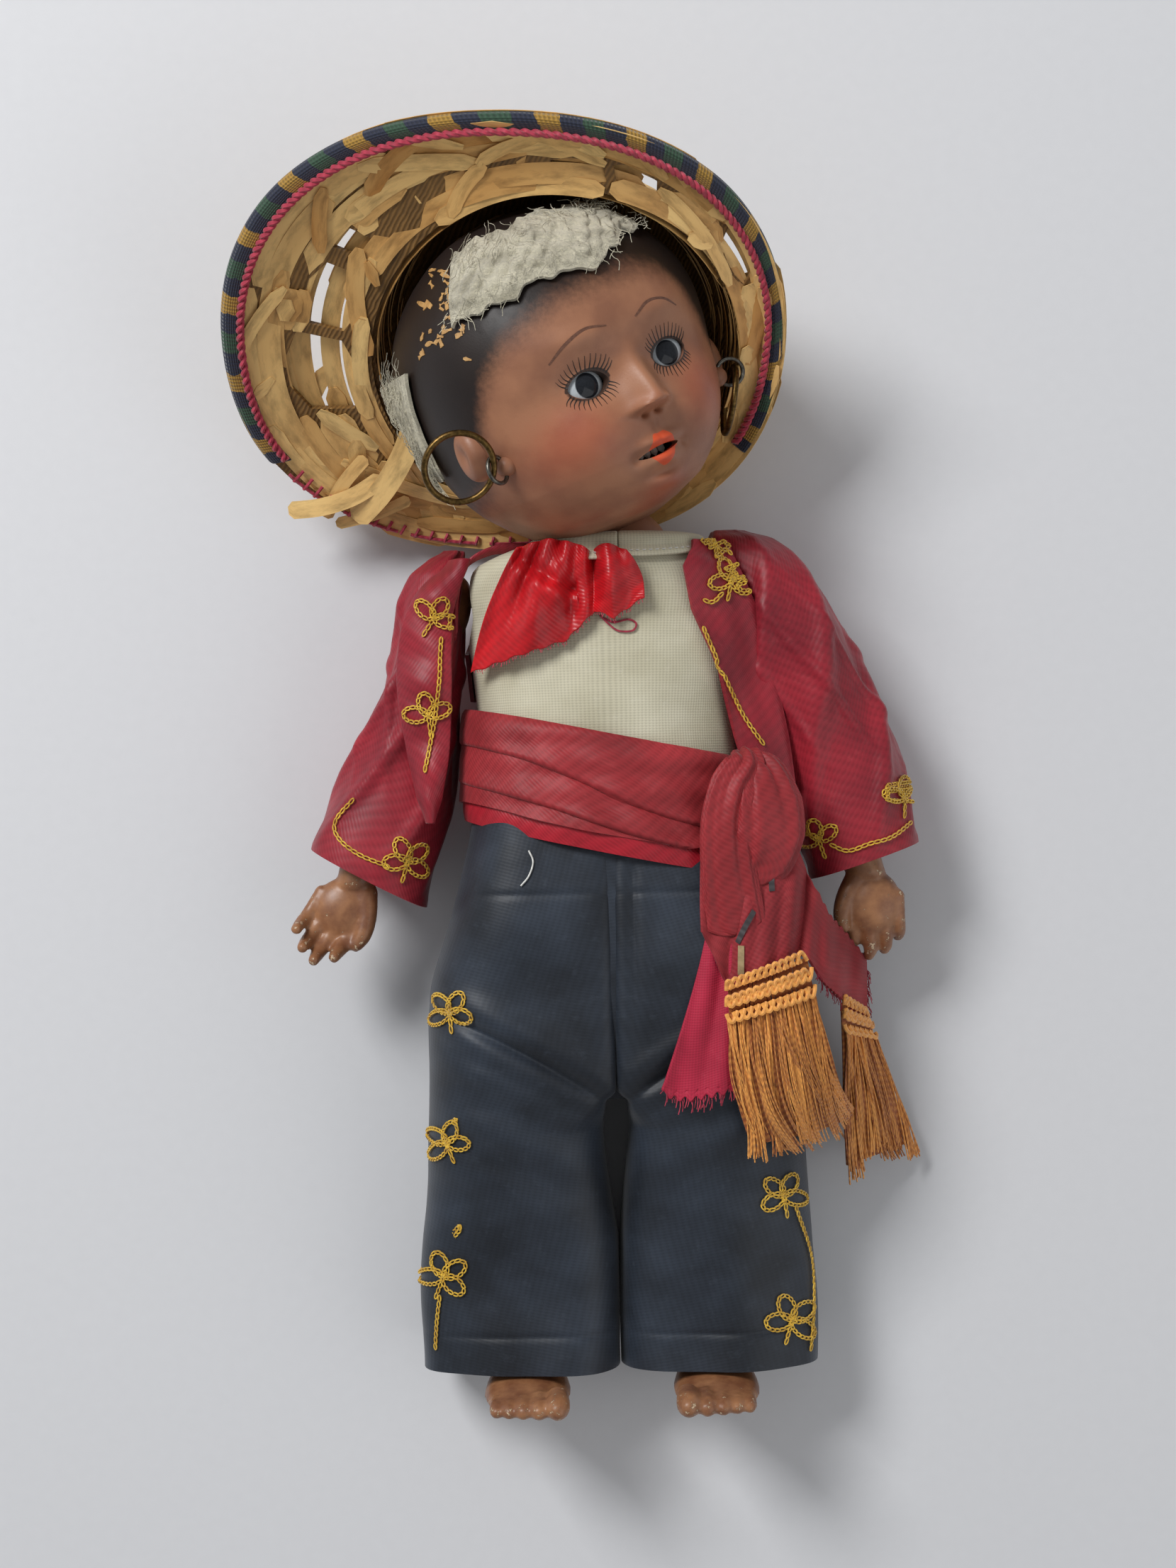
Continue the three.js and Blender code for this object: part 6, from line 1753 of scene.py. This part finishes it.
def make_front_end():
    def place(s, t):
        x = mix(16.8, 50.2, s)
        y = mix(straight(TAIL_TOP, x), straight(TAIL_LOW, x), t)
        x = x - 0.5 * (1 - s) * bell(y, -24, 8)
        under = -2.4 * ease(y, -20, -8)
        valley = -2.6 * bell(x - 0.12 * (y + 30), 35.4, 1.5) * ease(-y, 10, 18)
        folds = 0.6 * np.cos(0.62 * x + 0.12 * y) * ease(-y, 15, 22) + 0.35 * np.cos(1.5 * x - 0.25 * y)
        side = 1.3 * np.cos(0.75 * (x - 43) + 0.15 * y) * ease(x, 36, 41)
        ragged = 0.4 * np.sin(5 * x) * (t < 0.04) + 0.35 * np.sin(9 * x) * (t > 0.97)
        height = tail_height(x) + under + valley + folds + side
        return np.stack([x, y + ragged * ease(x, 38, 40), height], -1)

    piece = cloth("sash_end_front_cloth", 140, 80, place, (36, 30), 0.7)
    hung(dressed(piece, None, end_red, ["sash_end_front"]))
    tree = surface(piece, bpy.data.objects["sash_knot_turn"])
    darns = [[(1088, 1228), (1089, 1257)], [(1063, 1285), (1052, 1306), (1041, 1330)]]
    for name, look, bars, half in (
        ("sash_end_darning", grey_thread, darns, 0.75),
        ("sash_end_paper_scrap", card, [[(1046, 1334), (1045, 1375)]], 0.85),
    ):
        bar = Bundle()
        for marks in bars:
            path, normals = laid(tree, marks, 0.16, 12)
            bar.sweep(path, normals, half, 0.12, tone=0.4)
        hung(dressed(bar.mesh(name), None, look))
    frays = Bundle()
    for _ in range(FRONT_FRAYS):
        x = chance.uniform(38, 50.4)
        start = np.array([x, straight(TAIL_LOW, x) - 0.2, float(tail_height(x))])
        if chance.random() < 0.45:
            start = np.array([50.3, chance.uniform(-46, -37), float(tail_height(50.3))])
        fall = np.array([chance.uniform(-0.3, 1.2), -chance.uniform(0.6, 2.4), chance.uniform(-0.8, 0.4)])
        fray(frays, start, fall, 0.3, 0.09)
    dressed(frays.mesh("sash_end_edge_frays"), "sash_ends", red_floss)
    return piece


def make_plain_end():
    def place(s, t):
        y = mix(-20, mix(-57.5, -61 + 4.5 * s, np.sin(math.pi * s) ** 0.6), t)
        x = mix(mix(19, 8.4, t ** 1.3), mix(31, 27.4, t), s)
        settle = 1.2 * ease(-y, 44, 60)
        folds = 0.55 * np.sin(9 * s + 3 * t) * t + 0.3 * np.sin(21 * s - 4 * t)
        ragged = 0.5 * np.sin(60 * s) * (t > 0.97)
        return np.stack([x, y + ragged, tail_height(x) - 0.9 - 0.5 * settle + folds], -1)

    piece = cloth("sash_end_plain_cloth", 80, 110, place, (17, 40), 0.7)
    dressed(piece, "sash_ends", crimson_weave, ["sash_end_plain"])
    frays = Bundle()
    s = np.linspace(0.01, 0.99, PLAIN_FRAYS)
    for end in place(s, np.full(PLAIN_FRAYS, 0.985)):
        fall = np.array([chance.uniform(-0.6, 0.6), -chance.uniform(1.0, 3.2), -0.4])
        fray(frays, end, fall, 0.2, 0.1)
    dressed(frays.mesh("sash_end_frays"), "sash_ends", red_floss)
    return piece


def front_fringe(s, t):
    top = np.stack([mix(21.2, 36.6, s), mix(-38.4, -33.4, s)], -1)
    low = np.stack([mix(25.5, 47.5, s), mix(-70.8, -69.2, s)], -1)
    sweep = np.asarray(t, float)[..., None]
    flat = top + (low - top) * sweep + np.array([-1.6, 0]) * np.sin(math.pi * sweep)
    lie = mix(tail_height(mix(21.6, 36, s)) + 0.6, 35.6 - 0.045 * (flat[..., 0] - 24) ** 2,
              np.maximum(t, 0) ** 1.6)
    return np.stack([flat[..., 0], flat[..., 1], lie + 1.2 * np.sin(math.pi * t)], -1)


def side_fringe(s, t):
    x = mix(44.2, 50.2, s)
    top = np.stack([x, straight(TAIL_LOW, x) - 0.5, tail_height(x)], -1)
    low = np.stack([mix(45.5, 59.8, s), mix(-79, -75.5, s), 13 - 8 * s], -1)
    return top + (low - top) * t[..., None]


LOCK_STRANDS = 14


def make_fringe(name, node_name, place, strands, facing, heading):
    """A crocheted heading of looped rows, and a skirt of loose silky strands that hang in locks."""
    made = Bundle()
    facing = np.asarray(facing, float)
    loops = strands // 2
    for row in range(4):
        level = heading * (row + 0.3) / 4
        for k in range(loops):
            bow = np.linspace(0, math.pi, 9)
            s = (k + 0.5 * (row % 2) + np.linspace(-0.8, 0.8, 9)) / loops
            t = level + heading * 0.3 * np.sin(bow) * (1 if row % 2 else -1)
            path = place(np.clip(s, -0.02, 1.02), t) + facing * (0.7 + 0.5 * np.sin(bow))[:, None]
            made.sweep(path, facing, 0.44, 0.4, sides=6, tone=chance.uniform(0.7, 1.1))
    # a dark backing of flat strands under the locks: painted shade in the depth of the fringe
    for k in range(strands):
        t = np.linspace(0, 0.93, 12)
        s = np.full(12, (k + 0.5) / strands) + 0.01 * np.sin(8 * t + k)
        width = 0.62 * np.linalg.norm(place(s + 1 / strands, t) - place(s, t), axis=-1)
        made.sweep(place(s, t) - facing * 0.3, facing, width, 0.25, sides=4, tone=0.12)
    for lock in range(strands):
        middle = (lock + 0.5) / strands
        drift = chance.uniform(-0.1, 0.15)
        bend = chance.uniform(0, 6)
        depth = chance.uniform(-0.7, 0.9)
        reach = chance.uniform(0.88, 1.04)
        shade = chance.uniform(0.15, 0.9)
        for _ in range(LOCK_STRANDS):
            own = chance.uniform(-0.95, 0.95)
            t = np.linspace(heading * 0.9, reach + chance.uniform(-0.03, 0.02), 14)
            gather = 1 - 0.45 * np.sin(math.pi * np.clip(t, 0, 1)) * math.cos(bend)
            s = middle + own / strands * gather + 0.08 * np.sin(5 * t + bend) * t + drift * t
            s = s + 0.9 * np.sin(3 * t + 6 * own + bend) * t / strands
            rise = depth * t + 0.4 * np.sin(9 * t + bend + own) + 0.5 * abs(own)
            path = place(s, t) + facing * rise[:, None]
            tone = np.clip(shade + chance.uniform(-0.2, 0.2), 0, 1)
            made.sweep(path, facing, 0.15, 0.15, sides=4, tone=tone)
    return dressed(made.mesh(name), "sash_ends", orange_floss, [node_name])


# Arms and legs: sections joined to fingers and toes, then run together and smoothed

# height, inner and outer side, middle, half depth, slant
ARM = [
    [42.6, 29, 33, 20, 3.2, 0], [40, 26.4, 36.4, 20, 6, 0], [36, 25.9, 38.4, 20, 7.3, 0],
    [30.5, 27.4, 39.2, 19.8, 7.1, 0], [26, 31.4, 40.6, 19.4, 6.6, 0], [20, 32.2, 42.4, 19, 6.4, 0],
    [8, 34.9, 45.6, 18.2, 6, 0], [0, 37.6, 48.2, 17.8, 5.8, 0], [-10, 42.2, 51.6, 17.8, 5.1, 0],
    [-17, 45.4, 53.4, 18.4, 4.4, 0], [-20, 46.2, 54.2, 18.8, 4, 0],
]
LEG = [
    [-33, 12, 22, 19.2, 7, 0], [-38, 9.6, 25, 19.2, 12.4, 0], [-46, 9.6, 26.6, 19.2, 14.8, 0],
    [-55, 10.2, 27.2, 18, 14, 0], [-61, 11.2, 27, 17, 13, 0], [-70, 11.2, 26.4, 15.8, 11.6, 0],
    [-82, 11.2, 25.6, 14.6, 10.2, 0], [-92, 10.6, 26, 13.8, 10, 0], [-103, 11.6, 25, 13.4, 8.2, 0],
    [-109, 12, 24.4, 13.6, 7.6, 0], [-113, 12, 24.6, 14.4, 8.6, 0], [-114.1, 11.8, 24.8, 14.6, 8.8, 0],
    [-116, 10.8, 26, 18.8, 13, 0], [-118, 10, 26.8, 20.6, 15.6, 0], [-119.6, 9.8, 27, 21, 16.2, 0],
    [-120.5, 10.4, 26.6, 21, 15.6, 0],
]


LIMB_SQUARE = 2.2


def limb(name, rows, side):
    """A closed limb lofted through its sections."""
    piece = globe(name, 40, 64)
    share, a = globe_places(piece)
    shut = np.clip(np.minimum(share, 1 - share) / 0.04, 0, 1) ** 0.5
    y = mix(rows[0][0], rows[-1][0], np.clip((share - 0.02) / 0.96, 0, 1))
    x, _, z = limb_ring(rows, y, a / TAU, LIMB_SQUARE)
    middle = between(sorted(rows), y)
    x = mix((middle[:, 0] + middle[:, 1]) / 2, x, shut)
    z = mix(middle[:, 2], z, shut)
    move(piece, doll(np.stack([side * x, y, z], 1)))
    return piece


def beads(name, path, radii, steps):
    """A rounded finger, thumb or toe: balls along a path, run together later."""
    points = curve(path, steps)
    sizes = np.interp(np.linspace(0, 1, steps), np.linspace(0, 1, len(radii)), radii)
    return [ball(name, p, [r] * 3, 16, 12) for p, r in zip(points, sizes)]


def run_together(name, pieces, voxel, rounds):
    alone(pieces[0])
    for piece in pieces[1:]:
        piece.select_set(True)
    bpy.ops.object.join()
    piece = named(name)
    modify(piece, "REMESH", mode="VOXEL", voxel_size=voxel / MM)
    modify(piece, "SMOOTH", factor=0.5, iterations=rounds)
    return piece


def proudness(piece):
    """How sharply the surface bulges at each corner, for the chips along proud edges."""
    mesh = piece.data
    points = corners(piece)
    normals = np.empty(len(mesh.vertices) * 3)
    mesh.vertices.foreach_get("normal", normals)
    normals = normals.reshape(-1, 3)
    ends = np.empty(len(mesh.edges) * 2, int)
    mesh.edges.foreach_get("vertices", ends)
    a, b = ends.reshape(-1, 2).T
    way = unit(points[b] - points[a])
    reach = np.linalg.norm(points[b] - points[a], axis=1)
    bend = ((normals[b] - normals[a]) * way).sum(1) / np.maximum(reach, 1e-6)
    total = np.bincount(a, bend, len(points)) + np.bincount(b, bend, len(points))
    number = np.bincount(a, minlength=len(points)) + np.bincount(b, minlength=len(points))
    return measure(piece, "proud", np.clip(total / np.maximum(number, 1) / 400, 0, 1))


def make_arm(side, name, curl, outward, body, node_name):
    mirror = np.array([side, 1, 1])
    parts = [limb("arm", ARM, side)]
    parts.append(ball("palm", np.array([50.8, -24.2, 19.2]) * mirror, [5.9, 6.4, 3.3]))
    for k, (x, reach) in enumerate([(47.0, 5.6), (50.2, 6.8), (53.3, 6.4), (56, 5)]):
        y = -28.3 + 1.2 * abs(k - 1.2)
        path = np.array([
            [x, y + 3, 19.5], [x + 0.2, y - 0.35 * reach, 19.5 + curl * 0.5],
            [x + 0.5, y - 0.8 * reach, 19.5 + curl * 2.0], [x + 0.4, y - reach, 19.5 + curl * 4.2],
        ]) * mirror
        parts += beads("finger", path, [1.75 - 0.1 * k, 1.7 - 0.1 * k, 1.5 - 0.08 * k, 1.15], 12)
    thumb = np.array([[48.4, -19.4, 19.4], [46, -23.0, 20.2], [44.9, -26.4, 20.8], [45.1, -28.8, 21]])
    parts += beads("thumb", thumb * mirror, [2.6, 2.1, 1.8, 1.4], 12)
    wrist = doll(np.array([50.2, -20.5, 19.2]) * mirror)
    swing = turned("Z", outward)
    for part in parts[1:]:
        move(part, (corners(part) - wrist) @ swing.T + wrist)
    piece = run_together(name, parts, 0.42, 5)
    proudness(piece)
    smooth(piece, 80)
    return dressed(piece, body, composition, [node_name])


def make_leg(side, name, body, node_name):
    mirror = np.array([side, 1, 1])
    parts = [limb("leg", LEG, side)]
    for x, r in [(12.4, 2.5), (15.9, 2.05), (18.9, 1.9), (21.6, 1.75), (24, 1.6)]:
        z = 35.4 - 0.12 * (x - 12) ** 1.3
        path = np.array([[x, -119.3 + r, z - 4], [x, -119.9 + r, z], [x, -120.2 + r, z + 1.6]]) * mirror
        parts += beads("toe", path, [r * 0.9, r, r * 0.8], 6)
    piece = run_together(name, parts, 0.5, 4)
    proudness(piece)
    smooth(piece, 80)
    return dressed(piece, body, composition, [node_name])


# Embroidery: lemon chain stitch, drawn on the clothes where the photograph shows it


def chained(stitches, tree, marks, stitch=1.3):
    """A line of chain stitch: open loops, each starting inside the one before."""
    path, normals = laid(tree, marks, 0.3, 24 * len(marks))
    reach = np.concatenate([[0], np.cumsum(np.linalg.norm(np.diff(path, axis=0), axis=1))])
    count = max(2, round(reach[-1] / stitch))
    at = np.linspace(0, reach[-1], count + 1)
    pick = lambda table: np.stack([np.interp(at, reach, table[:, k]) for k in range(3)], 1)
    points, facings = pick(path), pick(normals)
    turn = np.linspace(0, TAU, 10, endpoint=False)[:, None]
    for k in range(count):
        along = points[k + 1] - points[k]
        across = unit(np.cross(along, facings[k]))
        loop = points[k] + along * 1.15 * (0.5 - 0.5 * np.cos(turn)) + across * 0.31 * np.sin(turn)
        loop = loop + 0.12 * facings[k] * (1 + np.cos(turn))
        stitches.sweep(loop, facings[k], 0.16, 0.15, sides=4, tone=chance.uniform(0.3, 0.9), closed=True)


def flower(stitches, tree, centre, size, lean, petals):
    """Looped petals round a centre, with a short stem opposite them."""
    turn = np.linspace(0, TAU, 9)
    for k in range(petals):
        way = math.radians(lean + (k - (petals - 1) / 2) * 74)
        out = size * (0.5 - 0.5 * np.cos(turn))
        wide = 0.3 * size * np.sin(turn)
        marks = np.stack([
            centre[0] + out * math.cos(way) - wide * math.sin(way),
            centre[1] - out * math.sin(way) - wide * math.cos(way),
        ], 1)
        chained(stitches, tree, marks, 1.1)
    stem = math.radians(lean + 180)
    tip = (centre[0] + 0.9 * size * math.cos(stem), centre[1] - 0.9 * size * math.sin(stem))
    chained(stitches, tree, [centre, tip])


def embroider(name, cloths, body, lines, flowers):
    stitches = Bundle()
    tree = surface(*cloths)
    for marks in lines:
        chained(stitches, tree, marks)
    for u, v, size, lean, petals in flowers:
        flower(stitches, tree, (u, v), size, lean, petals)
    return dressed(stitches.mesh(name), body, gold_thread)


def make_embroidery():
    embroider("left_front_embroidery", [left_lap], "trunk", [
        [(1002, 742), (1006, 765), (1018, 790)], [(1018, 836), (1004, 850), (992, 846)],
        [(990, 884), (1010, 930), (1030, 975), (1048, 1010), (1076, 1050)],
    ], [(1030, 818, 32, 80, 4), (1036, 752, 22, 160, 3)])
    embroider("left_cuff_embroidery", [sleeve_left], "arm_left", [
        [(1172, 1190), (1196, 1200), (1226, 1190), (1258, 1180), (1284, 1160)],
    ], [(1156, 1184, 30, 110, 3), (1274, 1126, 30, 90, 3)])
    embroider("right_front_embroidery", [right_front], "arm_right", [
        [(622, 900), (619, 960), (611, 1030), (601, 1088)],
    ], [(612, 872, 32, 60, 3), (604, 1010, 34, 100, 3)])
    embroider("right_cuff_embroidery", [sleeve_right], "arm_right", [
        [(500, 1126), (474, 1160), (480, 1184), (508, 1206), (548, 1222)],
    ], [(574, 1214, 34, 75, 4)])
    for side, name, piece, lines, flowers in (
        (-1, "leg_right", trouser_right, [[(622, 1826), (618, 1862), (616, 1902)]],
         [(636, 1428, 32, 95, 4), (632, 1612, 32, 110, 4), (627, 1800, 36, 70, 4)]),
        (1, "leg_left", trouser_left, [[(1120, 1700), (1142, 1770), (1146, 1840), (1142, 1904)]],
         [(1104, 1686, 34, 100, 4), (1116, 1862, 38, 75, 4)]),
    ):
        stitches = embroider(f"trouser_{name}_embroidery", [piece], None, lines, flowers)
        bend_at_hip(stitches, side)
    threads = Bundle()
    tree = surface(bpy.data.objects["sash_lining_edge"], trouser_right)
    for marks in ([(746, 1200), (752, 1216), (746, 1236), (735, 1250)],
                  [(878, 1212), (892, 1220), (904, 1214)]):
        path, normals = laid(tree, marks, 0.4, 24)
        threads.sweep(path, normals, 0.17, 0.17, sides=5, tone=0.8)
    dressed(threads.mesh("loose_white_threads"), "trunk", white_thread)


def make_floor():
    floor = primitive(bpy.ops.mesh.primitive_plane_add, "pale_floor", size=6)
    look = started("matt_paper", Roughness=0.9, Specular_IOR_Level=0.2)
    places = object_places(look)
    fleck = node(look, "TexNoise", {"Vector": places, "Scale": 0.4, "Detail": 4.0}, out="Fac")
    greys = {0: fleck, 6: colour("#d8d9dc"), 7: colour("#dcdde0")}
    tint = node(look, "Mix", greys, out=2, data_type="RGBA")
    finished(look, tint, fleck, 0.01)
    floor.data.materials.append(look)


def light_room():
    """A soft even room, with a large soft light from the upper left."""
    bpy.context.scene.view_settings.view_transform = "Standard"
    world = bpy.data.worlds.new("pale_room")
    world.use_nodes = True
    world.node_tree.nodes["Background"].inputs[0].default_value = colour("#f4f5f7")
    world.node_tree.nodes["Background"].inputs[1].default_value = 0.33
    bpy.context.scene.world = world
    soft_light("window", (-0.5, 0.55, 0.75), 0.34, 8.2)
    soft_light("bounce", (0.7, -0.3, 0.6), 0.8, 1.6)


def finish_fittings():
    """Gives the frame's small inner parts, which keep their own shape, the finish of the real ones."""
    looks = {
        "torso": composition, "hat_crown": plait, "hat_brim": plait, "pate": card, "eye_plaster": plaster,
        "teeth": enamel, "neck_button": timber, "neck_hook": iron_wire, "arm_left_bar": iron_wire,
        "arm_right_bar": iron_wire, "leg_left_bar": iron_wire, "leg_right_bar": iron_wire,
        "arm_elastic": rubber_elastic, "leg_elastic": rubber_elastic, "neck_elastic": rubber_elastic,
    }
    for name, look in looks.items():
        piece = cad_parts[name]
        for slot in piece.material_slots:
            slot.material = look


camera()
light_room()
make_floor()
finish_fittings()
make_head()
make_ear(-1, "ear_right")
make_ear(1, "ear_left")
make_eye(-1, "eye_right")
make_eye(1, "eye_left")
neck_ball = smooth(ball("neck_ball", NECK, [NECK_R] * 3))
leave_bare(neck_ball)
dressed(neck_ball, "head", bisque)
make_lashes()
make_brows()
make_pad("front_wadding", "wig_pad_front", front_pad, 2.2)
make_pad("side_wadding", "wig_pad_side", side_pad, 1.3)
make_glue_flakes()
for hand in ("right", "left"):
    ring_from(f"ear_ring_{hand}", f"split_ring_{hand}", RING_WIRE, f"ring_{hand}", dull_wire)
    ring_from(f"ear_hoop_{hand}", f"brass_hoop_{hand}", HOOP_WIRE, f"hoop_{hand}",
              antique_brass)
make_brim_strips("brim_strips_front", True)
make_brim_strips("brim_strips_back", False)
make_crown_strips("crown_strips_inside", True)
make_crown_strips("crown_strips_outside", False)
make_band()
make_hat_cord()
make_hat_stitches()
make_loose_straws()
make_shirt()
make_collar()
make_bow()
make_jacket_back()
make_jacket_left_front()
sleeve_left = make_sleeve(1, "sleeve_left_cloth", SLEEVE_LEFT, "arm_left", "sleeve_left", 0.75)
sleeve_right = make_sleeve(-1, "sleeve_right_cloth", SLEEVE_RIGHT, "arm_right", "sleeve_right", 0.6)
left_lap = make_jacket_left_lap()
make_jacket_neck_strip()
right_front = make_jacket_right_front()
trouser_left = make_trouser(1, "trouser_left", "trouser_leg_left")
trouser_right = make_trouser(-1, "trouser_right", "trouser_leg_right")
make_trousers_top()
make_sash()
make_knot()
make_front_end()
make_plain_end()
make_fringe("front_fringe", "fringe_front", front_fringe, 24, (0, 0, 1), 0.18)
make_fringe("side_fringe", "fringe_side", side_fringe, 13, (0.5, 0.1, 0.86), 0.15)
make_arm(-1, "arm_and_hand_right", 1.4, -30, "arm_right", "arm_right")
make_arm(1, "arm_and_hand_left", -1, 0, "arm_left", "arm_left")
make_leg(-1, "leg_and_foot_right", "leg_right", "leg_right")
make_leg(1, "leg_and_foot_left", "leg_left", "leg_left")
make_embroidery()
